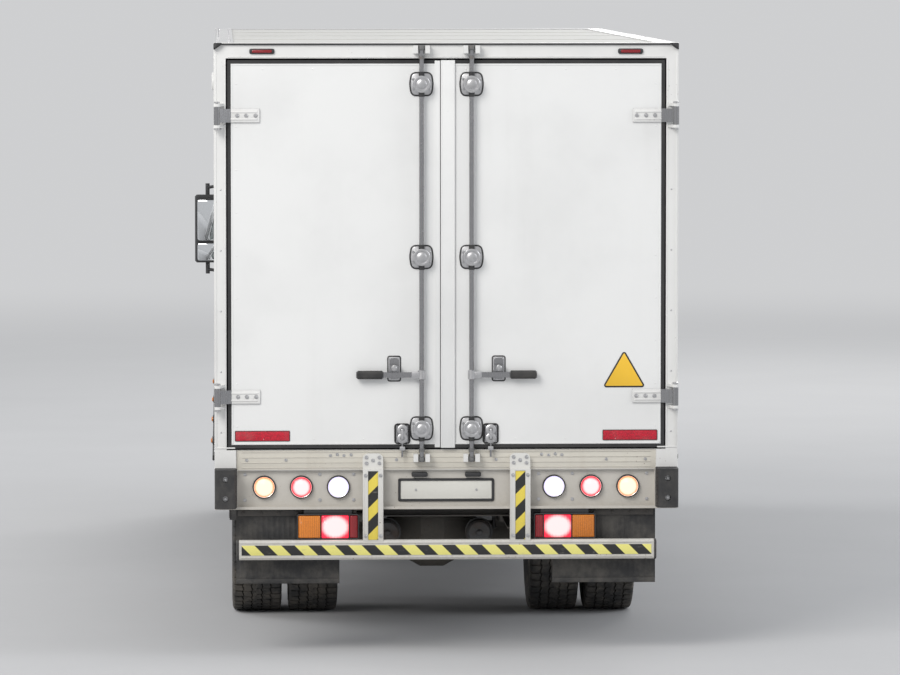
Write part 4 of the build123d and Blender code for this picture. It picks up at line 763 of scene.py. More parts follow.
def tube(path: np.ndarray, radius: float | np.ndarray, sides: int = 12,
         aside: Sequence[float] = (0.13, 0.29, 0.95),
         flat: float = 1.0) -> Skin:
    """Round bar along a path.

    At each path point a circle stands square to the path's direction, which is the difference of its
    neighbours; its axes are the direction crossed with a fixed vector, and crossed again.

    Args:
        path: points along the middle.
        radius: one radius, or one at each point.
        sides: corners of the circle.
        aside: fixed vector that is never along the path.
        flat: height of the section as a share of its width.

    Returns:
        The closed surface.
    """
    ahead = np.gradient(path, axis=0)
    ahead /= np.linalg.norm(ahead, axis=1, keepdims=True)
    first = np.cross(ahead, np.array(aside, float))
    first /= np.linalg.norm(first, axis=1, keepdims=True)
    second = np.cross(ahead, first)
    turn = np.arange(sides) * 2 * math.pi / sides
    width = np.broadcast_to(np.asarray(radius, float), (len(path),))[:, None, None]
    ring = first[:, None] * np.cos(turn)[None, :, None] + flat * second[:, None] * np.sin(turn)[None, :, None]
    return net(path[:, None] + width * ring)


def bolt(size: float, facing: Facing) -> Skin:
    """Hexagon head on a washer, at the origin; the size is the head's half width."""
    washer = stacked([(circle(size * 1.45, 12), 0.0), (circle(size * 1.4, 12), size * 0.28)], facing,
                     (0, 0, 0))
    head = stacked([(circle(size, 6), size * 0.2), (circle(size, 6), size * 0.85),
                    (circle(size * 0.8, 6), size)],
                   facing, (0, 0, 0))
    return washer + head


def rivet(size: float, facing: Facing) -> Skin:
    """Low domed rivet head at the origin."""
    return stacked([(circle(size, 8), 0.0), (circle(size * 0.85, 8), size * 0.3),
                    (circle(size * 0.4, 8), size * 0.5)],
                   facing, (0, 0, 0))


def piece(name: str, skin: Skin, finish: Finish, body: str, crease: float = 32.0,
          uv: np.ndarray | None = None) -> bpy.types.Object:
    """Put a surface into the scene and let it ride on a body.

    Args:
        name: the piece's name.
        skin: its surface.
        finish: its finish.
        body: the CAD body it moves with.
        crease: edges sharper than this many degrees stay sharp.
        uv: a flat place for each point, for a pattern that follows the surface.

    Returns:
        The new object.
    """
    mesh = bpy.data.meshes.new(name)
    faces = [row for rows in skin.faces for row in rows.tolist()]
    mesh.from_pydata(skin.points.tolist(), [], faces)
    mesh.polygons.foreach_set("use_smooth", np.ones(len(mesh.polygons), bool))
    mesh.set_sharp_from_angle(angle=math.radians(crease))
    if uv is not None:
        corner = np.zeros(len(mesh.loops), np.int32)
        mesh.loops.foreach_get("vertex_index", corner)
        mesh.uv_layers.new(name="UVMap").data.foreach_set("uv", uv[corner].astype(np.float32).ravel())
    mesh.materials.append(finish.material())
    mesh.update()
    made = bpy.data.objects.new(name, mesh)
    bpy.context.scene.collection.objects.link(made)
    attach(made, body)
    log.info("%s: %d points on %s", name, len(skin.points), body)
    return made


# Rear doors and frame

@dataclass
class RearDoor:
    """Dressing of one rear door: moulding, reflector, sign, guides, grips, hinges and inner skin."""

    sign: int
    inner_edge: float = -0.032  # of the right leaf, whose overlap strip crosses the middle
    left_inner_edge: float = 0.044
    outer_edge: float = 1.224
    low: float = 1.170
    high: float = 3.343
    rod_x: float = 0.140
    guide_heights: tuple[float, ...] = (1.280, 2.242, 3.209)
    handle_height: float = 1.583
    latch: tuple[float, float] = (0.293, 1.616)
    catch: tuple[float, float] = (0.248, 1.250)
    hinge_heights: tuple[float, ...] = HINGE_HEIGHTS

    @property
    def inner(self) -> float:
        """Inner edge of this leaf, as on the right side."""
        return self.inner_edge if self.sign > 0 else self.left_inner_edge

    @property
    def tall(self) -> float:
        """Height of the leaf."""
        return self.high - self.low

    @property
    def middle(self) -> float:
        """Height of the leaf's middle above the ground."""
        return (self.high + self.low) / 2

    @property
    def body(self) -> str:
        """The CAD body of this door."""
        return "rear_door_right" if self.sign > 0 else "rear_door_left"

    def add(self, part: str, skin: Skin, finish: Finish, slot: str = "") -> None:
        """Put one right-hand surface on this door, mirrored for the left."""
        piece(f"{self.body}_{part}", skin.side(self.sign), finish, self.body)

    def moulding(self) -> None:
        """Thin edge moulding just inside the seal: the leaf's outline carried round as a hoop."""
        x0, x1 = self.inner + 0.021, self.outer_edge - 0.021
        z0, z1 = self.low + 0.021, self.high - 0.021
        outline = rounded([(x0, z0), (x1, z0), (x1, z1), (x0, z1)], 0.006, 3)
        edge = hoop(outline, 0.009, 0.0022, Facing.REAR, (0, REAR, 0), 0.001)
        places = [(x1 - 0.030, REAR, z) for z in np.arange(z0 + 0.10, z1, 0.24)]
        places += [(x, REAR, z) for x in np.arange(x0 + 0.12, x1, 0.28) for z in (z0 + 0.030, z1 - 0.030)]
        self.add("moulding", edge + rivet(0.0045, Facing.REAR).copies(places), WHITE_PANEL, "white_panel")

    def reflector(self) -> None:
        """Red reflector strip low on the outer side, in its thin frame."""
        strip = oblong(0.303, 0.054, 0.003)
        at = (1.0315, REAR, 1.239)
        self.add("reflector", slab(strip, 0.0022, Facing.REAR, at, 0.0006), RED_FILM)
        self.add("reflector_frame", hoop(inset(strip, -0.003), 0.004, 0.003, Facing.REAR, at, 0.0008),
                 SIGN_BLACK)

    def warning_sign(self) -> None:
        """Blank triangle: a black rounded triangle under a smaller yellow one."""
        half, low, high = 0.122, 1.507, 1.719
        base = rounded([(-half, 0.0), (half, 0.0), (0.0, high - low)], 0.022, 6)
        at = (0.998, REAR, low)
        self.add("sign_border", slab(base, 0.0016, Facing.REAR, at, 0.0005), SIGN_BLACK)
        self.add("sign_face", slab(inset(base, 0.0085), 0.0022, Facing.REAR, at, 0.0004), SIGN_YELLOW)

    def guides(self) -> None:
        """Rod guides: a rubber plate, a flanged foot and a domed bearing cap with its bolts."""
        gasket, metal, bolts = [], [], []
        foot = rounded([(-0.052, -0.060), (0.052, -0.060), (0.062, 0.0), (0.052, 0.060), (-0.052, 0.060),
                        (-0.062, 0.0)], 0.020, 5)
        for height in self.guide_heights:
            at = (self.rod_x, REAR, height)
            gasket.append(slab(inset(foot, -0.008), 0.004, Facing.REAR, at))
            metal.append(slab(foot, 0.010, Facing.REAR, at, 0.003))
            dome = ((0.046, 0.0480), (0.0515, 0.0480), (0.0535, 0.0455), (0.0535, 0.036), (0.0515, 0.034),
                    (0.0515, 0.028), (0.0555, 0.022), (0.0575, 0.012), (0.058, 0.002))
            metal.append(turned(dome, Facing.REAR, at, 28))
            metal.append(turned(((0.006, 0.0485), (0.014, 0.0485), (0.016, 0.0470)), Facing.REAR, at, 28))
            bolts += [(self.rod_x + a, REAR - 0.010, height + b) for a in (-0.047, 0.047)
                      for b in (-0.028, 0.028)]
            gasket += [turned(((-0.020, 0.0165), (0.020, 0.0165)), Facing.TOP,
                              (self.rod_x, ROD_Y, height + way * 0.050), 16) for way in (-1, 1)]
        metal.append(bolt(0.0055, Facing.REAR).copies(bolts))
        self.add("guide_gaskets", join(gasket), SEAL_RUBBER)
        self.add("guide_caps", join(metal), ZINC, "galvanised_steel")

    def rod_ends(self) -> None:
        """Cams on the rod's ends between their keepers, with clamp collars."""
        cams = []
        for height, way in ((1.108, 1), (3.411, -1)):
            at = (self.rod_x, ROD_Y, height)
            cams.append(turned(((-0.012, 0.0145), (-0.010, 0.0185), (0.014, 0.0185), (0.016, 0.0145)),
                               Facing.TOP, at, 20))
            cams.append(slab(oblong(0.022, 0.020, 0.005), 0.013, Facing.REAR,
                             (self.rod_x, REAR - 0.044, height)))
            collar = (self.rod_x, ROD_Y, height + way * 0.052)
            cams.append(turned(((-0.010, 0.0165), (0.010, 0.0165)), Facing.TOP, collar, 20))
        self.add("rod_cams", join(cams), CAST_IRON)

    def handle(self) -> None:
        """Black ribbed grip, pivot block on the rod and the holder with its latch."""
        along = np.linspace(0.0, 1.0, 46)
        ridge = 1.0 + 0.10 * np.sin(along * 2 * math.pi * 11) ** 2
        swell = np.clip(np.minimum(along, 1 - along) / 0.05, 0.55, 1.0) ** 0.5 * ridge
        section = oblong(0.0300, 0.0450, 0.012, 5)
        rings = swell[:, None, None] * np.concatenate([section, np.zeros((len(section), 1))], 1)[None]
        rings[:, :, 2] = 0.3535 + along[:, None] * 0.153
        grip = net(np.stack([rings[:, :, 2], ROD_Y + rings[:, :, 0], self.handle_height + rings[:, :, 1]],
                            -1))
        self.add("handle_grip", grip, BLACK_RUBBER, "black_rubber")
        at = (self.rod_x, ROD_Y, self.handle_height)
        hub = turned(((-0.027, 0.016), (-0.024, 0.021), (0.024, 0.021), (0.027, 0.016)), Facing.TOP, at, 20)
        hub += slab(oblong(0.050, 0.036, 0.006), 0.008, Facing.REAR, (self.rod_x + 0.032, REAR - 0.038,
                                                                    self.handle_height))
        hub += bolt(0.006, Facing.REAR).copies([(self.rod_x + 0.030, REAR - 0.046, self.handle_height)])
        x, z = self.latch
        latch = slab(oblong(0.066, 0.132, 0.012), 0.004, Facing.REAR, (x, REAR, z))
        latch += turned(((0.052, 0.012), (0.058, 0.012), (0.060, 0.010)), Facing.REAR, (x, REAR, 1.622), 20)
        latch += turned(((0.044, 0.018), (0.051, 0.018), (0.053, 0.015)), Facing.REAR, (x, REAR, 1.622), 20)
        latch += bolt(0.005, Facing.REAR).copies([(x + a, REAR - 0.004, z + b) for a in (-0.024, 0.024)
                                                  for b in (-0.055, 0.055)])
        self.add("handle_latch", hub + latch, ZINC, "galvanised_steel")
        rim = hoop(oblong(0.078, 0.146, 0.014), 0.007, 0.003, Facing.REAR, (x, REAR, z))
        self.add("handle_gasket", rim, SEAL_RUBBER)

    def catches(self) -> None:
        """Door catch: a dark bezel, two round bosses one over the other, a lever and its guide loop."""
        x, z = self.catch
        metal = join([turned(((0.020, 0.030), (0.028, 0.029), (0.031, 0.024), (0.031, 0.012), (0.026, 0.010),
                              (0.026, 0.001)), Facing.REAR, (x, REAR, z + way * 0.024), 24)
                      for way in (-1, 1)])
        metal += slab(oblong(0.016, 0.060, 0.007), 0.010, Facing.REAR, (x, REAR - 0.029, z), 0.003)
        metal += slab(oblong(0.030, 0.022, 0.004), 0.020, Facing.REAR, (x, REAR, 1.168))
        self.add("catch_bosses", metal, ZINC, "galvanised_steel")
        bezel = hoop(oblong(0.090, 0.116, 0.018), 0.010, 0.006, Facing.REAR, (x, REAR, z), 0.002)
        self.add("catch_bezel", bezel, SEAL_RUBBER)

    def hinges(self) -> None:
        """Hinge straps: a thin cover with two raised ribs, three bolts, and the barrel's collars."""
        metal, covers = [], []
        for height in self.hinge_heights:
            covers.append(slab(oblong(0.172, 0.0755, 0.004), 0.0012, Facing.REAR,
                               (1.130, REAR - 0.0078, height), 0.0005))
            for lift in (-0.020, 0.020):
                covers.append(slab(oblong(0.150, 0.010, 0.004), 0.004, Facing.REAR,
                                   (1.130, STRAP_Y, height + lift), 0.002))
            places = [(x, STRAP_Y, height) for x in (1.066, 1.118, 1.168)]
            metal.append(bolt(0.0085, Facing.REAR).copies(places))
            for way in (-1, 1):
                metal.append(turned(((-0.005, 0.0150), (0.005, 0.0150)), Facing.TOP,
                                    (HINGE_X, HINGE_Y, height + way * 0.0515), 20))
        self.add("hinge_bolts", join(metal), ZINC, "galvanised_steel")
        self.add("hinge_covers", join(covers), WHITE_STEEL, "white_steel")

    def seam_beads(self) -> None:
        """White cover of the overlap strip with its two beads and screws, on the right door only."""
        cover = slab(oblong(0.0795, self.tall - 0.002, 0.003), 0.0012, Facing.REAR,
                     (0.008, REAR - 0.0078, self.middle), 0.0005)
        beads = join([slab(oblong(0.005, self.tall - 0.01, 0.002), 0.002, Facing.REAR,
                           (x, STRAP_Y, self.middle), 0.001)
                      for x in (-0.025, 0.041)])
        places = [(0.008, STRAP_Y, z) for z in np.arange(self.low + 0.09, self.high, 0.30)]
        self.add("seam_beads", cover + beads + rivet(0.005, Facing.REAR).copies(places), WHITE_PANEL,
                 "white_panel")

    def seam_edge(self) -> None:
        """White edging beside the overlap strip, on the left door only."""
        edge = slab(oblong(0.031, self.tall - 0.006, 0.002), 0.004, Facing.REAR, (0.0505, REAR, self.middle),
                    0.0015)
        self.add("seam_edge", edge, WHITE_PANEL, "white_panel")

    def inner_skin(self) -> None:
        """Inner face: kick plate with its ribs, and the second sealing lip."""
        x0, x1, y = self.inner + 0.03, self.outer_edge - 0.03, REAR + 0.085
        z0, z1 = self.low + 0.03, self.high - 0.03
        outline = rounded([(x0, z0), (x1, z0), (x1, z1), (x0, z1)], 0.01, 3)
        self.add("inner_lip", hoop(outline, 0.014, 0.006, Facing.FRONT, (0, y, 0), 0.003), SEAL_RUBBER)
        middle = (x0 + x1) / 2
        kick = slab(oblong(x1 - x0 - 0.07, 0.36, 0.006), 0.003, Facing.FRONT, (middle, y, self.low + 0.26))
        ribs = join([slab(oblong(x1 - x0 - 0.12, 0.010, 0.004), 0.004, Facing.FRONT,
                          (middle, y + 0.003, self.low + 0.13 + 0.055 * k), 0.002) for k in range(5)])
        self.add("kick_plate", kick + ribs, ALUMINIUM, "aluminium_trim")

    def build(self) -> None:
        """Dress the whole door."""
        self.moulding()
        self.reflector()
        self.guides()
        self.rod_ends()
        self.handle()
        self.catches()
        self.hinges()
        self.inner_skin()
        if self.sign > 0:
            self.warning_sign()
            self.seam_beads()
        else:
            self.seam_edge()


def join(skins: Sequence[Skin]) -> Skin:
    """All surfaces in one."""
    steps = np.cumsum([0] + [len(s.points) for s in skins])
    faces = [rows + step for s, step in zip(skins, steps) for rows in s.faces]
    return Skin(np.vstack([s.points for s in skins]), faces)


def drawn(section: np.ndarray, axis: int, ends: Sequence[float]) -> Skin:
    """Section carried straight along an axis, closed at both ends.

    Args:
        section: rows with the other two coordinates, in the order of the axes.
        axis: 0, 1 or 2 for the axis it is carried along.
        ends: both places on that axis.

    Returns:
        The surface.
    """
    return net(np.stack([np.insert(section, axis, end, axis=1) for end in ends]))


def arc(axle: float, radius: float, turn: np.ndarray) -> np.ndarray:
    """Rows of (y, z) on an arc round an axle."""
    return np.stack([axle + radius * np.cos(turn), AXLE_Z + radius * np.sin(turn)], 1)


@dataclass
class RearFrame:
    """Dressing of the frame round the doors: gutter, corner caps, marker lamps, sill and posts."""

    side_x: float = BODY_SIDE
    top: float = BODY_TOP
    sill_top: float = SILL_TOP
    sill_low: float = 1.045

    def gutter(self) -> None:
        """Dark rain gutter along the header, its section carried across, with wedge caps at the corners."""
        section = np.array([(0.0, 0.0), (0.010, 0.001), (0.013, 0.008), (0.010, 0.009), (0.008, 0.004),
                            (0.0, 0.004)])
        start = self.side_x - 0.046
        placed = np.column_stack([REAR - section[:, 0], self.top - 0.013 + section[:, 1]])
        wedge = rounded([(1.252, 3.431), (self.side_x, 3.398), (self.side_x, self.top), (1.252, self.top)],
                        0.008, 4)
        caps = slab(wedge, 0.030, Facing.REAR, (0, REAR, 0), 0.006).both()
        piece("header_gutter", drawn(placed, 0, (-start, start)) + caps, BLACK_PLASTIC, "chassis")

    def markers(self) -> None:
        """Slim marker lamps on the header."""
        at = (1.030, REAR, 3.392)
        holder = slab(oblong(0.140, 0.030, 0.010), 0.010, Facing.REAR, at, 0.003)
        lens = slab(oblong(0.112, 0.018, 0.008), 0.016, Facing.REAR, at, 0.005)
        piece("header_marker_holders", holder.both(), BLACK_PLASTIC, "chassis")
        piece("header_marker_lenses", lens.both(), DARK_RED_LENS, "chassis")

    def sill(self) -> None:
        """Ribs along the sill, and its bolts."""
        y = REAR + 0.015
        ribs = join([slab(oblong(2.30, 0.006, 0.003), 0.003, Facing.REAR, (0.0, y, z), 0.0015)
                     for z in (1.060, 1.088, 1.117, 1.146)])
        piece("sill_ribs", ribs, SILL_PAINT, "chassis")
        spots = [(x, y, z) for x, z in ((0.535, 1.131), (0.575, 1.126), (0.612, 1.133), (0.650, 1.127),
                                        (0.9, 1.102),
                                        (1.12, 1.102), (0.28, 1.102))]
        bolts = bolt(0.0065, Facing.REAR).copies(spots)
        piece("sill_bolts", bolts.both(), ZINC, "chassis")

    def sill_skin(self) -> None:
        """Thin painted skin in the sill's recess, from post to post."""
        flat = oblong(2.355, self.sill_top - self.sill_low - 0.004, 0.002)
        at = (0.0, REAR + 0.0155, (self.sill_top + self.sill_low) / 2)
        piece("sill_skin", slab(flat, 0.001, Facing.REAR, at, 0.0004), SILL_PAINT, "chassis")

    def posts(self) -> None:
        """Raised edge strips and door-side lips on both posts and along the header."""
        strip = slab(oblong(0.010, 2.20, 0.003), 0.003, Facing.REAR, (1.290, REAR, 2.275), 0.0015)
        lip = slab(oblong(0.006, 2.17, 0.002), 0.0025, Facing.REAR, (1.2385, REAR, 2.257), 0.001)
        foot = slab(oblong(0.112, 0.008, 0.003), 0.003, Facing.REAR, (1.240, REAR, 1.172), 0.0015)
        brow = slab(oblong(2.44, 0.006, 0.002), 0.003, Facing.REAR, (0.0, REAR, 3.362), 0.0015)
        piece("post_strips", (strip + lip + foot).both() + brow, WHITE_STEEL, "chassis")
        places = [(1.262, REAR, z) for z in np.arange(1.26, 3.3, 0.34)]
        piece("post_rivets", rivet(0.0055, Facing.REAR).copies(places).both(), ZINC, "chassis")

    def lug_bolts(self) -> None:
        """Pin heads of the hinge lugs."""
        heads = []
        for height in HINGE_HEIGHTS:
            for way in (-1, 1):
                heads.append(turned(((-0.004, 0.0165), (0.004, 0.0165), (0.006, 0.012)) if way > 0 else
                                    ((-0.006, 0.012), (-0.004, 0.0165), (0.004, 0.0165)), Facing.TOP,
                                    (HINGE_X, HINGE_Y, height + way * 0.074), 18))
        piece("hinge_pin_heads", join(heads).both(), ZINC, "chassis")

    def build(self) -> None:
        """Dress the whole frame."""
        self.gutter()
        self.markers()
        self.sill_skin()
        self.sill()
        self.posts()
        self.lug_bolts()


@dataclass
class RoundLamp:
    """One round tail lamp: rubber ring, bright bowl edge and a domed, fluted lens."""

    name: str
    x: float
    finish: LitLens
    z: float = LAMP_Z
    web: float = PANEL_Y
    radius: float = 0.065

    def rubber(self) -> Skin:
        """Rolled rubber ring with a circular section."""
        turn = np.arange(10) * 2 * math.pi / 10
        section = np.stack([0.010 + 0.008 * np.sin(turn), self.radius - 0.005 + 0.0055 * np.cos(turn)], 1)
        return turned(section, Facing.REAR, (self.x, self.web, self.z), 40, True)

    def bowl(self) -> Skin:
        """Ring round the lens's foot."""
        profile = ((0.004, 0.0590), (0.024, 0.0590), (0.026, 0.0575), (0.024, LENS_RADIUS),
                   (0.004, LENS_RADIUS))
        return turned(profile, Facing.REAR, (self.x, self.web, self.z), 40, True)

    def lens(self) -> tuple[Skin, np.ndarray]:
        """Domed lens and its UV: height falls with the square of the distance from the middle."""
        share = np.linspace(1.0, 0.0, 9)
        profile = [(0.006, LENS_RADIUS)] + [(0.022 + 0.018 * (1 - s * s), LENS_RADIUS * s) for s in share]
        skin = turned(profile, Facing.REAR, (self.x, self.web, self.z), 40)
        uv = (skin.points[:, (0, 2)] - (self.x, self.z)) / LENS_RADIUS
        return skin, uv

    def build(self) -> tuple[Skin, Skin]:
        """Place the lens and give back the ring and bowl of this lamp."""
        skin, uv = self.lens()
        piece(self.name, skin, self.finish, "chassis", 60.0, uv)
        return self.rubber(), self.bowl()


@dataclass
class TailLamps:
    """Round lamps in the panel, the clusters under it, and the blank plate with its lamp."""

    places: tuple[tuple[float, str], ...] = ((0.606, "reverse"), (0.814, "stop"), (1.022, "turn"))

    def round_lamps(self) -> None:
        """Three lamps on each side."""
        kinds = {"reverse": REVERSE_LENS, "stop": STOP_LENS, "turn": TURN_LENS}
        rubbers, bowls = [], []
        for sign, side in SIDES:
            for x, kind in self.places:
                ring, bowl = RoundLamp(f"{kind}_lamp_{side}", sign * x, kinds[kind]).build()
                rubbers.append(ring)
                bowls.append(bowl)
        backs = turned(((0.0, 0.0515), (0.006, 0.0515)), Facing.REAR, (0, 0, 0), 32).copies(
            [(sign * x, PANEL_Y, LAMP_Z) for sign in (1, -1) for x, _ in self.places])
        rings = piece("round_lamp_rubbers", join(rubbers) + backs, SEAL_RUBBER, "chassis")
        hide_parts("rear_lamps")
        piece("round_lamp_bowls", join(bowls), CHROME, "chassis")

    def clusters(self) -> None:
        """Clusters: a dark tray with a rim, three lenses and their dividers."""
        middle, low, high = 0.665, 0.655, 0.800
        at = (middle, REAR - 0.015 + 0.070, (low + high) / 2)
        outline = oblong(0.350, high - low, 0.014)
        tray = slab(outline, 0.058, Facing.REAR, at, 0.004)
        rim = hoop(outline, 0.008, 0.068, Facing.REAR, at, 0.003)
        hanger = slab(oblong(0.270, 0.030, 0.003), 0.040, Facing.REAR, (middle, REAR + 0.045, high + 0.012))
        bars = join([slab(oblong(0.006, high - low - 0.012, 0.002), 0.066, Facing.REAR, (x, at[1], at[2]),
                          0.002)
                     for x in (0.546, 0.704)])
        piece("cluster_trays", (tray + rim + hanger + bars).both(), BLACK_PLASTIC, "chassis")
        for part, x0, x1, finish in (("inner", 0.498, 0.543, DARK_RED_LENS),
                                     ("middle", 0.549, 0.701, TAIL_LENS),
                                     ("outer", 0.707, 0.832, AMBER_LENS)):
            width, height = x1 - x0, high - low - 0.018
            lens = slab(oblong(width, height, 0.006, 6), 0.068, Facing.REAR, ((x0 + x1) / 2, at[1], at[2]),
                        0.006)
            for sign, side in SIDES:
                skin = lens.side(sign)
                uv = (skin.points[:, (0, 2)] - (sign * (x0 + x1) / 2, at[2])) / (width * 0.62, height * 0.62)
                piece(f"cluster_{part}_{side}", skin, finish, "chassis", 40.0, uv)

    def plate(self) -> None:
        """Blank number plate in its holder, two hooded lamps over it, and the panel's bolts."""
        at = (0.0, PANEL_Y, 0.930)
        holder = hoop(oblong(0.540, 0.130, 0.010), 0.014, 0.009, Facing.REAR, at, 0.003)
        sheet = slab(oblong(0.520, 0.112, 0.008), 0.004, Facing.REAR, at)
        bead = hoop(oblong(0.508, 0.100, 0.008), 0.004, 0.0055, Facing.REAR, at, 0.001)
        hood = slab(oblong(0.090, 0.026, 0.008), 0.030, Facing.REAR, (0.0, PANEL_Y, 1.018), 0.006).copies(
            [(-0.15, 0, 0), (0.15, 0, 0)])
        piece("plate_holder", holder + hood, BLACK_PLASTIC, "chassis")
        piece("blank_plate", sheet + bead, PLATE_WHITE, "chassis")
        screws = bolt(0.005, Facing.REAR).copies([(x, REAR + 0.036, 0.930) for x in (-0.17, 0.17)])
        more = bolt(0.007, Facing.REAR).copies([(x, PANEL_Y, z)
                                                for x in (-1.13, -0.71, -0.52, 0.52, 0.71, 1.13)
                                                for z in (0.875, 1.020)])
        piece("panel_bolts", screws + more, ZINC, "chassis")

    def build(self) -> None:
        """Build every lamp and the plate."""
        self.round_lamps()
        self.clusters()
        self.plate()


@dataclass
class Underrun:
    """Tapes and bolts of the underrun bar, the rubber buffers' bolts and the mudflaps."""

    upright_x: float = 0.413
    bar_face: float = REAR - 0.050

    def tapes(self) -> None:
        """Slanted tape in both uprights' recesses and along the bar."""
        strip = slab(oblong(0.055, 0.384, 0.002), 0.0025, Facing.REAR,
                     (self.upright_x, self.bar_face + 0.006, 0.850),
                     0.0006)
        piece("upright_tapes", join([strip, strip.moved((-2 * self.upright_x, 0, 0))]), BAND_TAPE, "chassis")
        bar = slab(oblong(2.300, 0.056, 0.002), 0.0012, Facing.REAR, (0.0, self.bar_face, 0.600), 0.0004)
        piece("bar_tape", bar, BAR_TAPE, "chassis")

    def bar_fittings(self) -> None:
        """End caps, pressed beads and bolts of the bar and its uprights."""
        cap = stacked([(oblong(0.064, 0.114, 0.014), 0.0), (oblong(0.064, 0.114, 0.014), 0.010),
                       (oblong(0.052, 0.102, 0.012), 0.014)], Facing.RIGHT, (1.165, REAR - 0.020, 0.600))
        piece("bar_end_caps", cap.both(), BLACK_RUBBER, "chassis")
        beads = join([slab(oblong(2.31, 0.006, 0.003), 0.0025, Facing.REAR, (0, self.bar_face, z), 0.0012)
                      for z in (0.5595, 0.6405)])
        flange = join([slab(oblong(0.006, 0.36, 0.002), 0.002, Facing.REAR,
                            (self.upright_x + a, self.bar_face, 0.85),
                            0.001) for a in (-0.051, 0.051)])
        piece("bar_beads", beads + flange.both(), BAR_PAINT, "chassis")
        spots = [(self.upright_x + a, REAR - 0.014, z) for a in (-0.036, 0.036) for z in (1.085, 1.118)]
        spots += [(self.upright_x, REAR - 0.014, 1.101)]
        low = [(self.upright_x + a, self.bar_face, z) for a in (-0.042, 0.042) for z in (0.680, 1.020)]
        piece("upright_bolts", bolt(0.0075, Facing.REAR).copies(spots + low).both(), ZINC, "chassis")

    def buffers(self) -> None:
        """Bolts deep in the buffers' holes, a steel back plate and moulded ribs on the sides."""
        plate = slab(oblong(0.124, 0.226, 0.006), 0.004, Facing.REAR, (1.237, REAR + 0.001, 0.9465))
        heads = bolt(0.010, Facing.REAR).copies([(1.240, TAIL + 0.030, 0.837 + share * 0.219)
                                                 for share in (0.25, 0.75)])
        piece("buffer_bolts", heads.both(), ZINC, "chassis")
        piece("buffer_plates", plate.both(), FRAME_PAINT, "chassis")
        ribs = join([slab(oblong(0.066, 0.006, 0.003), 0.002, Facing.LEFT, (1.180, REAR - 0.042, z), 0.001)
                     for z in np.arange(0.862, 1.04, 0.024)])
        piece("buffer_ribs", ribs.both(), BLACK_RUBBER, "chassis")

    def flaps(self) -> None:
        """Mudflap dressing: clamp strip with bolts, a rolled foot and shallow upright ribs.

        The ribs are a wave across the flap: depth = 1.5 mm where the sine is positive.
        """
        y = REAR + 0.070
        clamp = slab(oblong(0.560, 0.034, 0.004), 0.006, Facing.REAR, (0.890, y, 0.800))
        clamp += bolt(0.008, Facing.REAR).copies([(x, y - 0.006, 0.800) for x in np.linspace(0.64, 1.14, 6)])
        piece("flap_clamps", clamp.both(), FRAME_PAINT, "chassis")
        across = np.linspace(0.604, 1.176, 115)
        depth = 0.0015 + 0.0016 * np.clip(np.sin((across - 0.604) * 2 * math.pi / 0.0301), -0.2, 0.9)
        front = np.column_stack([across, y - depth])
        back = np.column_stack([across[::-1], np.full(len(across), y - 0.0002)])
        section = np.vstack([front, back])
        foot = slab(oblong(0.578, 0.026, 0.010), 0.005, Facing.REAR, (0.890, y, 0.415), 0.002)
        piece("flap_ribs", (drawn(section, 2, (0.436, 0.776)) + foot).both(), BLACK_RUBBER, "chassis")

    def build(self) -> None:
        """Dress everything under the sill."""
        self.tapes()
        self.bar_fittings()
        self.buffers()
        self.flaps()


# Wheels

class Tread(Enum):
    """Tread of a tyre: blocks round it, groove width and depth, zigzag and shoulder slots."""

    STEER = (66, 0.0075, 0.011, 0.0018, 0.010)
    DRIVE = (54, 0.0085, 0.014, 0.0050, 0.016)


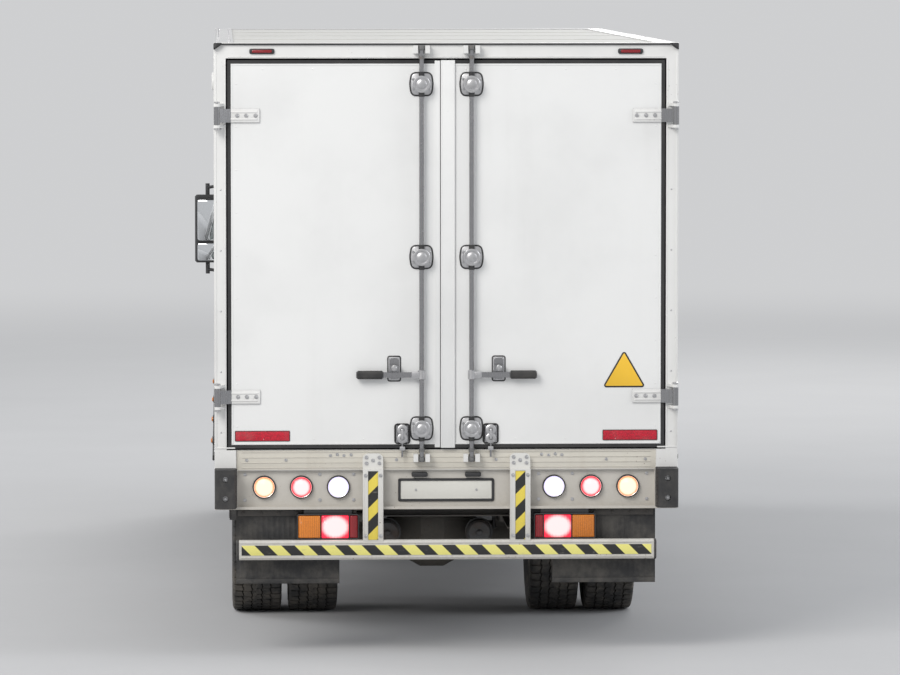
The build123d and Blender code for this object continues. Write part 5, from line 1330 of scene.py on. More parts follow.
@dataclass
class Tyre:
    """Tyre with tread blocks, shoulder slots and stepped side walls, as one grid.

    The grid runs round the wheel and across the tyre. Its radius is the carcass profile less the groove
    depth where a grid line lies in a groove; lengthwise grooves shift sideways in a zigzag from block to
    block, and cross slots take two of every four lines round the wheel.
    """

    centre: tuple[float, float, float]
    tread: Tread
    radius: float = AXLE_Z
    half: float = 0.1475
    bead: float = 0.286

    def across(self) -> np.ndarray:
        """Rows of (x, radius, lengthwise groove, cross slot share, zigzag share) from bead to bead."""
        width = self.tread.value[1]
        g = width / 2
        r = self.radius
        wall = [(-0.1150, self.bead, 0, 0, 0), (-0.1235, self.bead + 0.004, 0, 0, 0),
                (-0.1265, self.bead + 0.016, 0, 0, 0), (-0.1235, self.bead + 0.020, 0, 0, 0),
                (-0.1330, self.bead + 0.036, 0, 0, 0), (-0.1375, self.bead + 0.052, 0, 0, 0),
                (-0.1390, self.bead + 0.054, 0, 0, 0), (-0.1405, self.bead + 0.066, 0, 0, 0),
                (-0.1462, self.bead + 0.084, 0, 0, 0), (-0.1475, self.bead + 0.102, 0, 0, 0),
                (-0.1470, r - 0.066, 0, 0, 0), (-0.1475, r - 0.064, 0, 0, 0), (-0.1472, r - 0.058, 0, 0, 0),
                (-0.1462, r - 0.056, 0, 0, 0), (-0.1455, r - 0.040, 0, 0.25, 0),
                (-0.1440, r - 0.026, 0, 0.7, 0),
                (-0.1395, r - 0.012, 0, 1.0, 0), (-0.1325, r - 0.0045, 0, 1.0, 0),
                (-0.120, r - 0.003, 0, 1.0, 0)]
        tread = []
        for place, cross in ((-0.082, 1.0), (-0.030, 0.35)):
            tread += [(place - g, r - 0.0016, 0, cross, 1), (place - g * 0.7, r - 0.002, 1, 0, 1),
                      (place + g * 0.7, r - 0.002, 1, 0, 1), (place + g, r - 0.0014, 0, 0.35, 1)]
            tread += [(place + 0.018, r - 0.001, 0, 0.35, 1), (place + 0.026, r - 0.0008, 0, 0.35, 1)]
        left = np.array(wall + tread)
        right = left[::-1] * (-1, 1, 1, 1, 1)
        return np.vstack([left, [(0.0, r, 0, 0.35, 0)], right])

    def skin(self) -> Skin:
        """The tyre's closed surface."""
        blocks, _, depth, zigzag, slot = self.tread.value
        rows = self.across()
        share = slot / (2 * math.pi * self.radius / blocks)
        step = np.array([0.0, share * 0.5 - 0.01, share * 0.5, 1 - share * 0.5, 1 - share * 0.5 + 0.01])
        cut = np.array([1.0, 1.0, 0.0, 0.0, 1.0])
        side = np.array([0.0, 0.5, 1.0, -1.0, -0.5])
        turn = (np.arange(blocks)[:, None] + step[None]).ravel() * 2 * math.pi / blocks
        cut, side = np.tile(cut, blocks), np.tile(side, blocks)
        offset = turn[:, None] + np.where(rows[:, 0] > 0, math.pi / blocks, 0.0)[None]
        lower = depth * np.maximum(rows[None, :, 2], cut[:, None] * rows[None, :, 3] * 0.85)
        radius = rows[None, :, 1] - lower
        x = rows[None, :, 0] + side[:, None] * rows[None, :, 4] * zigzag
        points = np.stack([x + 0 * radius, radius * np.cos(offset), radius * np.sin(offset)], -1)
        inner = np.array([(0.110, self.bead - 0.001), (-0.110, self.bead - 0.001)])
        ring = np.stack([np.broadcast_to(inner[None, :, 0], (len(turn), 2)),
                         inner[None, :, 1] * np.cos(turn)[:, None],
                         inner[None, :, 1] * np.sin(turn)[:, None]], -1)
        return net(np.concatenate([points, ring], 1) + np.array(self.centre), looped=True)


@dataclass
class Wheel:
    """One road wheel, or a pair of twins: tyres, nuts, hub cap, valve and weights."""

    sign: int
    front: bool

    @property
    def name(self) -> str:
        """Front or rear with the side."""
        return f"{'front_wheel' if self.front else 'rear_wheels'}_{'right' if self.sign > 0 else 'left'}"

    @property
    def axle(self) -> float:
        """Place of this wheel's axle along the truck."""
        return FRONT_AXLE if self.front else REAR_AXLE

    def tyres(self) -> None:
        """Tyres in place of the plain CAD ones."""
        places = (1.010,) if self.front else (1.0525, 0.7195)
        skins = [Tyre((x, self.axle, AXLE_Z), Tread.STEER if self.front else Tread.DRIVE).skin()
                 for x in places]
        made = piece(f"{self.name}_tread", join(skins).side(self.sign), TYRE_RUBBER, self.name, 28.0)
        side = "right" if self.sign > 0 else "left"
        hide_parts(f"front_tyre_{side}" if self.front else f"rear_tyres_{side}")

    def nuts(self) -> None:
        """Ten nuts with studs and a ring on the disc, and the hub's cap with its bolts."""
        y = self.axle
        face, cap, out = (1.120, 0.086, 1.142) if self.front else (0.898, 0.080, 1.091)
        centre, top = (0, y, AXLE_Z), (face, y, AXLE_Z + 0.135)
        nut = stacked([(circle(0.020, 12), 0.0), (circle(0.019, 12), 0.004), (hexagon(0.0155), 0.005),
                       (hexagon(0.0155), 0.022), (hexagon(0.0125), 0.025)], Facing.RIGHT, top)
        stud = turned(((0.020, 0.010), (0.034, 0.010), (0.037, 0.008)), Facing.RIGHT, top, 12)
        ring = (nut + stud).spun(centre, 10, 0.1)
        cover = turned(((-0.004, cap), (0.004, cap), (0.007, cap - 0.004), (0.007, cap * 0.72),
                        (0.002, cap * 0.68),
                        (0.002, cap * 0.3), (0.006, cap * 0.24), (0.007, 0.004)), Facing.RIGHT,
                        (out, y, AXLE_Z), 36)
        small = bolt(0.007, Facing.RIGHT).moved((out + 0.006, y, AXLE_Z + cap * 0.86)).spun(centre, 8, 0.2)
        piece(f"{self.name}_nuts", (ring + cover + small).side(self.sign), ZINC, self.name)

    def trims(self) -> None:
        """Valve with its cap, balance weights on the rim's edge and a raised ring on the disc."""
        y = self.axle
        face, edge = (1.122, 1.133) if self.front else (0.902, 1.1755)
        path = bent([(face, y, AXLE_Z + 0.222), (face + 0.030, y, AXLE_Z + 0.226),
                     (face + 0.050, y, AXLE_Z + 0.240)],
                    0.02)
        valve = tube(path, 0.0045, 10, (0, 1, 0))
        weight = slab(oblong(0.075, 0.012, 0.004), 0.004, Facing.RIGHT, (edge - 0.004, y, AXLE_Z - 0.289))
        welds = turned(((0.0, 0.178), (0.006, 0.182), (0.006, 0.186), (0.0, 0.190)), Facing.RIGHT,
                       (face - 0.002, y, AXLE_Z), 48, True)
        piece(f"{self.name}_valve", (valve + weight).side(self.sign), ZINC, self.name)
        piece(f"{self.name}_ring", welds.side(self.sign), RIM_PAINT, self.name)

    def build(self) -> None:
        """Build the wheel's pieces."""
        self.tyres()
        self.nuts()
        self.trims()


# Body, cooling unit and inside

@dataclass
class BoxSides:
    """Dressing of the body's sides, front and roof: rivets, marker lamps, vents and roof seams."""

    side_x: float = BODY_SIDE
    low: float = 1.050
    high: float = BODY_TOP
    front: float = 1.975
    back: float = -4.225

    def rivets(self) -> None:
        """Rows of rivets along the cover strips, on both sides and across the front."""
        along = np.arange(self.back + 0.08, self.front - 0.10, 0.16)
        rows = [(self.side_x, y, z) for y in along for z in (self.low + 0.090, self.high - 0.090,
                                                             self.low + 0.025)]
        rows += [(self.side_x, self.front - 0.090, z)
                 for z in np.arange(self.low + 0.2, self.high - 0.15, 0.16)]
        piece("side_rivets", rivet(0.0065, Facing.RIGHT).copies(rows).both(), ZINC, "chassis")
        top = [(x, y, self.high) for y in along for x in (1.275, 1.210)]
        piece("roof_rivets", rivet(0.0065, Facing.TOP).copies(top).both(), ZINC, "chassis")
        ahead = [(x, self.front, z) for z in np.arange(self.low + 0.1, self.high - 0.1, 0.16)
                 for x in (1.210, 1.275)]
        piece("front_rivets", rivet(0.0065, Facing.FRONT).copies(ahead).both(), ZINC, "chassis")

    def rails(self) -> None:
        """Rounded rub rail along the foot of each side."""
        bead = oblong(0.030, 0.012, 0.005)
        section = np.column_stack([self.side_x + 0.006 + bead[:, 1], self.low + 0.058 + bead[:, 0]])
        rail = drawn(section, 1, (self.back + 0.01, self.front - 0.02))
        piece("rub_rails", rail.both(), BLACK_RUBBER, "chassis")

    def markers(self) -> None:
        """Amber marker lamps in holders along the foot, and a pair of white ones at the front corners."""
        places = (-3.45, -1.95, -0.45, 1.05)
        at = (self.side_x, 0.0, self.low + 0.092)
        holder = slab(oblong(0.130, 0.040, 0.012), 0.014, Facing.RIGHT, at, 0.004)
        lens = slab(oblong(0.104, 0.026, 0.010), 0.022, Facing.RIGHT, at, 0.006)
        steps = [(0.0, y, 0.0) for y in places]
        piece("side_marker_holders", holder.copies(steps).both(), BLACK_PLASTIC, "chassis")
        piece("side_marker_lenses", lens.copies(steps).both(), AMBER_LENS, "chassis")
        lamp = slab(oblong(0.110, 0.032, 0.012), 0.020, Facing.FRONT, (1.12, self.front, 3.395), 0.006)
        piece("front_marker_lenses", lamp.both(), CLEAR_LENS, "chassis")

    def roof_seams(self) -> None:
        """Cover strips across the roof where its sheets meet."""
        strips = [slab(oblong(2.36, 0.045, 0.004), 0.003, Facing.TOP, (0.0, y, 3.434), 0.001)
                  for y in (-2.70, -1.15, 0.40)]
        # The roof strips share the roof's finish, darkened as painted shade.
        piece("roof_strips", join(strips), SHADED_ROOF_PANEL, "chassis")

    def vents(self) -> None:
        """Pressure valve high on the left side, and drain spouts under the floor."""
        at = (1.294, 1.45, 3.10)
        hood = turned(((0.0, 0.070), (0.006, 0.070), (0.010, 0.062), (0.026, 0.058), (0.030, 0.048)),
                      Facing.RIGHT, at, 32)
        slots = join([slab(oblong(0.070, 0.006, 0.002), 0.031, Facing.RIGHT, (at[0], at[1], at[2] + dz),
                           0.001)
                      for dz in (-0.024, -0.008, 0.008, 0.024)])
        piece("pressure_valve", (hood + slots).mirrored(), WHITE_STEEL, "chassis")
        spout = turned(((0.0, 0.022), (0.030, 0.022), (0.034, 0.017), (0.075, 0.013)), Facing.BELOW,
                       (1.15, 0.0, 1.052), 16)
        piece("floor_drains", spout.copies([(0, 1.70, 0), (0, -4.05, 0)]).both(), BLACK_RUBBER, "chassis")

    def build(self) -> None:
        """Dress the body's outside."""
        self.rivets()
        self.rails()
        self.markers()
        self.roof_seams()
        self.vents()


@dataclass
class CoolingUnit:
    """Dressing of the unit on the front wall: fin pack, side louvres, latches, fans and pipes."""

    half: float = 0.950
    low: float = 2.350
    high: float = 3.310
    wall: float = 1.969
    face: float = 2.475
    slot_low: float = 2.610
    slot_pitch: float = 0.070
    slots: int = 7
    louvre_at: tuple[float, float] = (2.190, 2.780)

    def fins(self) -> None:
        """Fins behind the front slots: thin plates side by side, repeated for every slot, backed by a dark
        sheet of painted shade.
        """
        plate = crossbar(oblong(0.0016, 0.034, 0.0002, 2), 0.0, 0.012, Facing.FRONT,
                         (0.0, self.face - 0.0598, 0.0))
        places = [(x, 0.0, self.slot_low + 0.018 + self.slot_pitch * k) for k in range(self.slots)
                  for x in np.arange(-0.780, 0.781, 0.012)]
        piece("condenser_fins", plate.copies(places), TANK_METAL, "chassis")
        # Dark sheet behind the fins: painted shade of the unit's inside.
        back = join([slab(oblong(1.578, 0.035, 0.001, 2), 0.0008, Facing.FRONT,
                          (0.0, self.face - 0.0600, self.slot_low + 0.018 + self.slot_pitch * k), 0.0002)
                     for k in range(self.slots)])
        piece("condenser_painted_shade", back, DARK_MESH_AND_SHADE, "chassis")

    def casing(self) -> None:
        """Frame round the slots, panel seams, latches, the dark skirt, the side louvres and a dark sheet of
        painted shadow behind them.
        """
        middle = self.slot_low + 0.035 * self.slots - 0.017
        frame_line = hoop(oblong(1.660, 0.500, 0.03), 0.012, 0.005, Facing.FRONT,
                          (0, self.face - 0.001, middle), 0.0015)
        seams = join([slab(oblong(0.006, 0.560, 0.001), 0.0012, Facing.FRONT, (x, self.face - 0.0004, 2.80),
                           0.0004)
                      for x in (-0.865, 0.865)])
        piece("unit_frame", frame_line, WHITE_STEEL, "chassis")
        piece("unit_seams", seams, DARK_MESH_AND_SHADE, "chassis")
        latch = slab(oblong(0.050, 0.028, 0.008), 0.005, Facing.FRONT, (0, self.face, 0), 0.002)
        latch += slab(oblong(0.040, 0.009, 0.004), 0.010, Facing.FRONT, (0, self.face, 0), 0.002)
        piece("unit_latches", latch.copies([(x, 0, z) for x in (-0.90, 0.90) for z in (2.58, 3.06)]),
              BLACK_PLASTIC,
              "chassis")
        skirt = slab(oblong(1.82, 0.05, 0.01), 0.330, Facing.FRONT, (0.0, self.wall, self.low - 0.024), 0.006)
        piece("unit_skirt", skirt, BLACK_PLASTIC, "chassis")
        louvres = [slab(oblong(0.250, 0.010, 0.004), 0.007, Facing.RIGHT, (self.half, self.louvre_at[0], z),
                        0.003)
                   for z in np.arange(2.56, 3.00, 0.032)]
        rim = hoop(oblong(0.30, 0.50, 0.03), 0.012, 0.004, Facing.RIGHT, (self.half, *self.louvre_at), 0.0015)
        piece("unit_louvres", (join(louvres) + rim).both(), WHITE_STEEL, "chassis")
        # Dark sheet behind the louvres: painted shadow.
        shadow = slab(oblong(0.28, 0.48, 0.02), 0.0012, Facing.RIGHT, (self.half, *self.louvre_at), 0.0004)
        piece("unit_louvre_painted_shadow", shadow.both(), DARK_MESH_AND_SHADE, "chassis")

    def fans(self) -> None:
        """Two fans in the top: a shroud ring, seven pitched blades, a wire guard of rings and spokes, and a
        dark disc of painted shade under the blades.
        """
        for sign, side in SIDES:
            at = (sign * 0.45, 2.170, self.high - 0.001)
            ring = turned(((0.0, 0.168), (0.022, 0.168), (0.026, 0.162), (0.022, 0.152), (0.0, 0.152)),
                          Facing.TOP, at,
                          48, True)
            # Dark disc under the blades: painted shade in the fan's opening.
            well = turned(((0.0006, 0.152), (0.0016, 0.152)), Facing.TOP, at, 48)
            wires = [turned(((0.024, r + 0.0015), (0.027, r + 0.0015), (0.027, r - 0.0015),
                             (0.024, r - 0.0015)),
                            Facing.TOP, at, 40, True) for r in (0.035, 0.060, 0.085, 0.110, 0.135)]
            spokes = join([tube(np.array([(at[0], at[1], at[2] + 0.024),
                                          (at[0] + 0.155 * math.cos(t), at[1] + 0.155 * math.sin(t),
                                           at[2] + 0.024)]),
                                0.002, 6) for t in np.arange(8) * math.pi / 4 + 0.2])
            turn = np.arange(7) * 2 * math.pi / 7
            blade = np.array([(0.030, -0.012, 0.004), (0.140, -0.040, 0.004), (0.145, 0.030, 0.015),
                              (0.030, 0.014, 0.015)])
            blades = []
            for angle in turn:
                cos, sin = math.cos(angle), math.sin(angle)
                spin = np.array([(cos, sin, 0), (-sin, cos, 0), (0, 0, 1)])
                low = blade @ spin + at
                blades.append(net(np.stack([low, low + (0, 0, 0.002)])))
            piece(f"unit_fan_guard_{side}", ring + join(wires) + spokes, BLACK_PLASTIC, "chassis")
            piece(f"unit_fan_painted_shade_{side}", well, DARK_MESH_AND_SHADE, "chassis")
            piece(f"unit_fan_blades_{side}", join(blades), GREY_PLASTIC, "chassis")

    def piping(self) -> None:
        """Lagged lines and a cable duct down the front wall, with clips and a status box."""
        duct = slab(oblong(0.110, 1.20, 0.01), 0.050, Facing.FRONT, (0.62, self.wall, 1.720), 0.008)
        piece("cable_duct", duct, WHITE_STEEL, "chassis")
        lines, clips, y = [], [], self.wall + 0.030
        for x, radius in ((0.760, 0.019), (0.810, 0.013), (0.850, 0.010)):
            path = bent([(x, y, 2.345), (x, y, 1.30), (x - 0.10, y, 1.12), (x - 0.10, y, 0.98)], 0.08)
            lines.append(tube(path, radius, 12, (1, 0.2, 0)))
        for z in (1.45, 1.78, 2.11):
            clips.append(slab(oblong(0.150, 0.022, 0.005), 0.052, Facing.FRONT, (0.803, self.wall, z), 0.006))
        piece("unit_lines", join(lines), BLACK_RUBBER, "chassis")
        piece("unit_line_clips", join(clips), ZINC, "chassis")
        box = slab(oblong(0.140, 0.090, 0.010), 0.040, Facing.FRONT, (-0.70, self.wall, 2.18), 0.006)
        box += slab(oblong(0.090, 0.045, 0.006), 0.042, Facing.FRONT, (-0.70, self.wall, 2.19), 0.001)
        piece("unit_status_box", box, BLACK_PLASTIC, "chassis")

    def build(self) -> None:
        """Dress the unit."""
        self.fins()
        self.casing()
        self.fans()
        self.piping()


@dataclass
class Interior:
    """Load space: ribbed floor, kick plates, lashing rails, ceiling lamps and the air cooler's fans."""

    half: float = 1.230
    back: float = -4.223
    front: float = 1.877
    floor: float = SILL_TOP
    ceiling: float = 3.353

    def ribbed_floor(self) -> None:
        """Floor of T ribs in place of the plain deck: one rib's section repeated across, carried forward."""
        pitch = 0.041
        rib = np.array([(0.0, -0.020), (0.014, -0.020), (0.014, -0.005), (0.006, -0.003), (0.006, 0.0),
                        (0.0347, 0.0),
                        (0.0347, -0.003), (0.027, -0.005), (0.027, -0.020)])
        starts = np.arange(60) * pitch - self.half
        section = (rib[None] + np.stack([starts, 0 * starts], 1)[:, None]).reshape(-1, 2)
        section = np.vstack([section, [(self.half, -0.020), (self.half, -0.0249), (-self.half, -0.0249)]])
        section[:, 1] += self.floor
        made = piece("ribbed_floor", drawn(section, 1, (self.back, self.front)), DECK_PAINT, "chassis",
                     20.0)
        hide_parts("box_deck")

    def walls(self) -> None:
        """Kick plates with a coved foot, and two lashing rails with slots, drawn as dark patches of painted
        shade.
        """
        middle, length = (self.back + self.front) / 2, self.front - self.back - 0.02
        kick = slab(oblong(length, 0.300, 0.002), 0.0025, Facing.LEFT, (1.232, middle, self.floor + 0.152),
                    0.001)
        cove = np.array([(1.2315, 0.0), (1.2315, 0.050), (1.2285, 0.050), (1.222, 0.018), (1.206, 0.003),
                         (1.206, 0.0)])
        cove[:, 1] += self.floor
        foot = drawn(cove, 1, (self.back + 0.01, self.front - 0.01))
        piece("kick_plates", (kick + foot).both(), DECK_PAINT, "chassis")
        rails, slots = [], []
        for z in (1.96, 2.66):
            rails.append(slab(oblong(length - 0.1, 0.110, 0.003), 0.006, Facing.LEFT, (1.232, middle, z),
                              0.002))
            slots += [(1.226, y, z) for y in np.arange(self.back + 0.15, self.front - 0.1, 0.10)]
        # Dark patches in the rail's slots: painted shade.
        hole = slab(oblong(0.022, 0.052, 0.008), 0.0012, Facing.LEFT, (0, 0, 0), 0.0003)
        piece("lashing_rails", join(rails).both(), DECK_PAINT, "chassis")
        piece("lashing_slot_shade", hole.copies(slots).both(), DARK_MESH_AND_SHADE, "chassis")

    def ceiling_lamps(self) -> None:
        """Two rows of flat ceiling lamps in rims."""
        places = [(x, y, 0.0) for x in (-0.55, 0.55) for y in (-3.2, -1.2, 0.6)]
        rim = hoop(oblong(0.220, 0.110, 0.02), 0.012, 0.022, Facing.BELOW, (0, 0, self.ceiling), 0.004)
        lens = slab(oblong(0.200, 0.090, 0.014), 0.019, Facing.BELOW, (0, 0, self.ceiling), 0.006)
        piece("ceiling_lamp_rims", rim.copies(places), BLACK_PLASTIC, "chassis")
        piece("ceiling_lamp_lenses", lens.copies(places), CLEAR_LENS, "chassis")

    def cooler(self) -> None:
        """Fans of the air cooler: rings, blades, hub and guard in both of its openings."""
        front, low = self.front + 0.002 - 0.470, self.ceiling - 0.150
        rings, blades = [], []
        for x in (-0.350, 0.350):
            at = (x, front, low)
            rings += [turned(((0.0, r + 0.002), (0.006, r + 0.002), (0.006, r - 0.002), (0.0, r - 0.002)),
                             Facing.REAR, at,
                             40, True) for r in (0.030, 0.055, 0.080, 0.104)]
            rings.append(hoop(circle(0.125, 48), 0.018, 0.010, Facing.REAR, at, 0.003))
            for t in np.arange(6) * math.pi / 3:
                tip = (x + 0.112 * math.cos(t), front - 0.003, low + 0.112 * math.sin(t))
                rings.append(tube(np.array([at, tip]), 0.002, 6))
                cos, sin = math.cos(t), math.sin(t)
                flat = np.array([(0.020, 0.012, -0.010), (0.096, 0.018, -0.034), (0.098, 0.006, 0.022),
                                 (0.020, 0.004, 0.010)])
                spin = np.array([(cos, 0, sin), (0, 1, 0), (-sin, 0, cos)])
                low_face = flat @ spin + at
                blades.append(net(np.stack([low_face, low_face + (0, 0.002, 0)])))
            blades.append(turned(((-0.026, 0.026), (-0.006, 0.026), (-0.003, 0.020)), Facing.REAR, at, 20))
        piece("cooler_fan_guards", join(rings), BLACK_PLASTIC, "chassis")
        piece("cooler_fan_blades", join(blades), GREY_PLASTIC, "chassis")

    def build(self) -> None:
        """Fit out the load space."""
        self.ribbed_floor()
        self.walls()
        self.ceiling_lamps()
        self.cooler()


# Chassis dressing

@dataclass
class Underbody:
    """Chassis dressing: springs, brakes, dampers, lines, straps, caps and reflectors."""

    rail_x: float = RAIL_X
    tie_places: tuple[float, ...] = (-3.9, -3.0, -1.0, 0.0, 1.05)
    silencer: tuple[float, float] = (-0.800, 0.640)

    def springs(self) -> None:
        """U-bolts over each spring's clamp, and their nuts."""
        loops, nuts = [], []
        for x, y, low, top in ((0.422, FRONT_AXLE, 0.458, 0.540), (0.430, REAR_AXLE, 0.533, 0.630)):
            for dy in (-0.052, 0.052):
                path = bent([(x - 0.056, y + dy, low - 0.045), (x - 0.056, y + dy, top + 0.012),
                             (x + 0.056, y + dy, top + 0.012), (x + 0.056, y + dy, low - 0.045)], 0.03)
                loops.append(tube(path, 0.008, 10, (0, 1, 0.01)))
                nuts += [(x + side, y + dy, low - 0.030) for side in (-0.056, 0.056)]
        nut = bolt(0.013, Facing.BELOW)
        piece("spring_bolts", (join(loops) + nut.copies(nuts)).both(), CAST_IRON, "chassis")

    def brakes(self) -> None:
        """Brake chambers behind the rear axle with clamp bands, necks and brackets."""
        at = (0.275, REAR_AXLE - 0.150, 0.490)
        can = turned(((-0.010, 0.020), (0.0, 0.060), (0.020, 0.074), (0.062, 0.076), (0.064, 0.083),
                      (0.078, 0.083),
                      (0.080, 0.076), (0.150, 0.074), (0.164, 0.062), (0.168, 0.020), (0.186, 0.018),
                      (0.190, 0.012)),
                     Facing.REAR, at, 32)
        arm = slab(oblong(0.110, 0.150, 0.03), 0.014, Facing.REAR, (0.275, REAR_AXLE - 0.140, 0.480), 0.004)
        arm += slab(oblong(0.030, 0.090, 0.01), 0.110, Facing.REAR, (0.275, REAR_AXLE - 0.040, 0.475), 0.004)
        heads = bolt(0.008, Facing.REAR).copies([(0.275 + a, REAR_AXLE - 0.154, 0.490 + b)
                                                 for a in (-0.042, 0.042) for b in (-0.055, 0.055)])
        piece("brake_chambers", can.both(), CAST_IRON, "chassis")
        piece("brake_brackets", (arm + heads).both(), CAST_IRON, "chassis")

    def dampers(self) -> None:
        """Telescopic dampers from the rails to the axles, in two diameters with eyes."""
        made, dull = [], []
        for x, y, low, shift in ((0.515, REAR_AXLE + 0.12, 0.500, 0.20),
                                 (0.505, FRONT_AXLE + 0.13, 0.450, 0.16)):
            foot, head = np.array((x, y, low)), np.array((x, y + shift, 0.860))
            way = head - foot
            made.append(tube(np.array([foot + way * 0.04, foot + way * 0.52]), 0.026, 16))
            made.append(tube(np.array([foot + way * 0.46, foot + way * 0.94]), 0.034, 16))
            for end in (foot, head):
                dull.append(turned(((-0.024, 0.026), (0.024, 0.026)), Facing.RIGHT, end, 16))
                dull.append(turned(((-0.070, 0.010), (0.034, 0.010)), Facing.RIGHT, end, 12))
        piece("dampers", join(made).both(), FRAME_PAINT, "chassis")
        piece("damper_eyes", join(dull).both(), CAST_IRON, "chassis")

    def frame_details(self) -> None:
        """Bolt heads on the rails, tie plates to the subframe, and lines in clips along the right rail."""
        heads = [(self.rail_x, y, z) for y in np.arange(-4.1, 4.0, 0.42) for z in (0.745, 0.905)]
        heads += [(self.rail_x, y + 0.05, z) for y in np.arange(-4.1, 4.0, 0.84) for z in (0.79, 0.86)]
        piece("rail_bolts", bolt(0.011, Facing.RIGHT).copies(heads).both(), FRAME_PAINT, "chassis")
        plates = join([slab(oblong(0.110, 0.150, 0.012), 0.008, Facing.RIGHT, (self.rail_x, y, 0.955), 0.002)
                       for y in self.tie_places])
        ties = bolt(0.010, Facing.RIGHT).copies([(self.rail_x + 0.008, y + a, z) for y in self.tie_places
                                                 for a in (-0.032, 0.032) for z in (0.915, 0.980)])
        piece("subframe_plates", (plates + ties).both(), FRAME_PAINT, "chassis")
        lines = []
        for k, radius in enumerate((0.007, 0.006, 0.009)):
            z = 0.800 + 0.022 * k
            over = [(-0.436, y, z + 0.010) for y in (-2.55, -1.50)]
            path = bent([(-0.440, -3.90, z), (-0.440, -2.70, z), *over, (-0.440, -1.35, z), (-0.440, 0.40, z),
                         (-0.440, 1.30, z)], 0.08)
            lines.append(tube(path, radius, 8, (1, 0, 0.2)))
        piece("rail_lines", join(lines), BLACK_PLASTIC, "chassis")
        clips = slab(oblong(0.024, 0.085, 0.006), 0.026, Facing.LEFT, (-self.rail_x, 0.0, 0.822), 0.004)
        piece("rail_line_clips", clips.copies([(0, y, 0) for y in np.arange(-3.8, 1.2, 0.62)]), ZINC,
              "chassis")

    def tanks(self) -> None:
        """Fuel tank straps over rubber, filler neck and cap, gauge sender, seams, and air tank fittings."""
        outline = rounded([(0.520, 0.430), (1.120, 0.430), (1.120, 0.900), (0.520, 0.900)], 0.110, 9)
        straps, pads = [], []
        for y in (1.095, 1.715):
            for grow, width, made in ((0.0022, 0.052, pads), (0.0045, 0.040, straps)):
                made.append(drawn(inset(outline, -grow), 1, (y - width / 2, y + width / 2)))
        piece("tank_straps", join(straps), ZINC, "chassis")
        piece("tank_strap_pads", join(pads), BLACK_RUBBER, "chassis")
        at = (0.93, 1.40, 0.900)
        neck = turned(((-0.01, 0.052), (0.016, 0.052), (0.018, 0.060), (0.050, 0.060), (0.054, 0.056),
                       (0.054, 0.020)),
                      Facing.TOP, at, 32)
        grip = slab(oblong(0.095, 0.018, 0.008), 0.064, Facing.TOP, at, 0.004)
        piece("tank_cap", neck + grip, BLACK_PLASTIC, "chassis")
        plug = turned(((0.0, 0.030), (0.010, 0.030), (0.014, 0.024)), Facing.TOP, (0.72, 1.30, 0.900), 20)
        seam = [hoop(inset(outline, -0.003), 0.010, 0.006, Facing.REAR, (0, y, 0), 0.001)
                for y in (0.906, 1.900)]
        piece("tank_seams", join(seam) + plug, TANK_METAL, "chassis")
        drains = [turned(((0.0, 0.016), (0.014, 0.016), (0.026, 0.008)), Facing.BELOW, (0.1, y, 0.421), 12)
                  for y in (1.180, 1.450)]
        bands = [turned(((-0.018, 0.1112), (0.018, 0.1112)), Facing.RIGHT, (x, y, 0.530), 40)
                 for y in (1.180, 1.450) for x in (-0.25, 0.25)]
        piece("air_tank_fittings", join(drains + bands), ZINC, "chassis")

    def battery(self) -> None:
        """Battery box ribs and lid latches."""
        face = -1.080
        ribs = join([slab(oblong(0.006, 0.26, 0.002), 0.004, Facing.LEFT, (face, 1.625 + d, 0.690), 0.0015)
                     for d in np.arange(-0.21, 0.22, 0.042)])
        latch = slab(oblong(0.034, 0.085, 0.008), 0.014, Facing.LEFT, (face, 0, 0.850), 0.004)
        piece("battery_ribs", ribs, BLACK_PLASTIC, "chassis")
        piece("battery_latches", latch.copies([(0, 1.42, 0), (0, 1.83, 0)]), ZINC, "chassis")

    def exhaust(self) -> None:
        """Band clamps round the silencer, end seams, tail pipe lip and a perforated shield; its holes and the
        pipe's mouth are dark painted shade, the mouth with soot.
        """
        x, z = self.silencer
        bands = [turned(((-0.016, 0.1925), (0.016, 0.1925)), Facing.FRONT, (x, y, z), 48)
                 for y in (0.70, 0.98)]
        lips = [turned(((-0.004, 0.184), (0.0, 0.188), (0.004, 0.184)), Facing.FRONT, (x, y, z), 48)
                for y in (0.530, 1.150)]
        piece("silencer_bands", join(bands + lips), ZINC, "chassis")
        turn = np.linspace(-0.9, 0.9, 15)
        outer = np.stack([x - 0.205 * np.cos(turn), z + 0.205 * np.sin(turn)], 1)
        inner = np.stack([x - 0.2025 * np.cos(turn[::-1]), z + 0.2025 * np.sin(turn[::-1])], 1)
        section = np.vstack([outer, inner])
        holes = [(x - 0.2052 * math.cos(t), y, z + 0.2052 * math.sin(t)) for y in np.arange(0.64, 1.06, 0.035)
                 for t in np.linspace(-0.3, 0.3, 5)]
        piece("silencer_shield", drawn(section, 1, (0.60, 1.08)), TANK_METAL, "chassis")
        # Dark dots for the shield's holes: painted shade.
        dot = slab(circle(0.009, 10), 0.0012, Facing.LEFT, (0, 0, 0), 0.0003)
        piece("silencer_hole_shade", dot.copies(holes), DARK_MESH_AND_SHADE, "chassis")
        at = (-1.089, 0.380, 0.600)
        mouth = turned(((-0.004, 0.047), (0.012, 0.047), (0.012, 0.041), (0.002, 0.041)), Facing.LEFT, at, 28)
        piece("tail_pipe_lip", mouth, CAST_IRON, "chassis")
        # Dark disc in the pipe's mouth: soot and painted shade.
        piece("tail_pipe_soot_and_shade", slab(circle(0.0405, 28), 0.004, Facing.LEFT, at, 0.0005), DARK_MESH_AND_SHADE,
              "chassis")

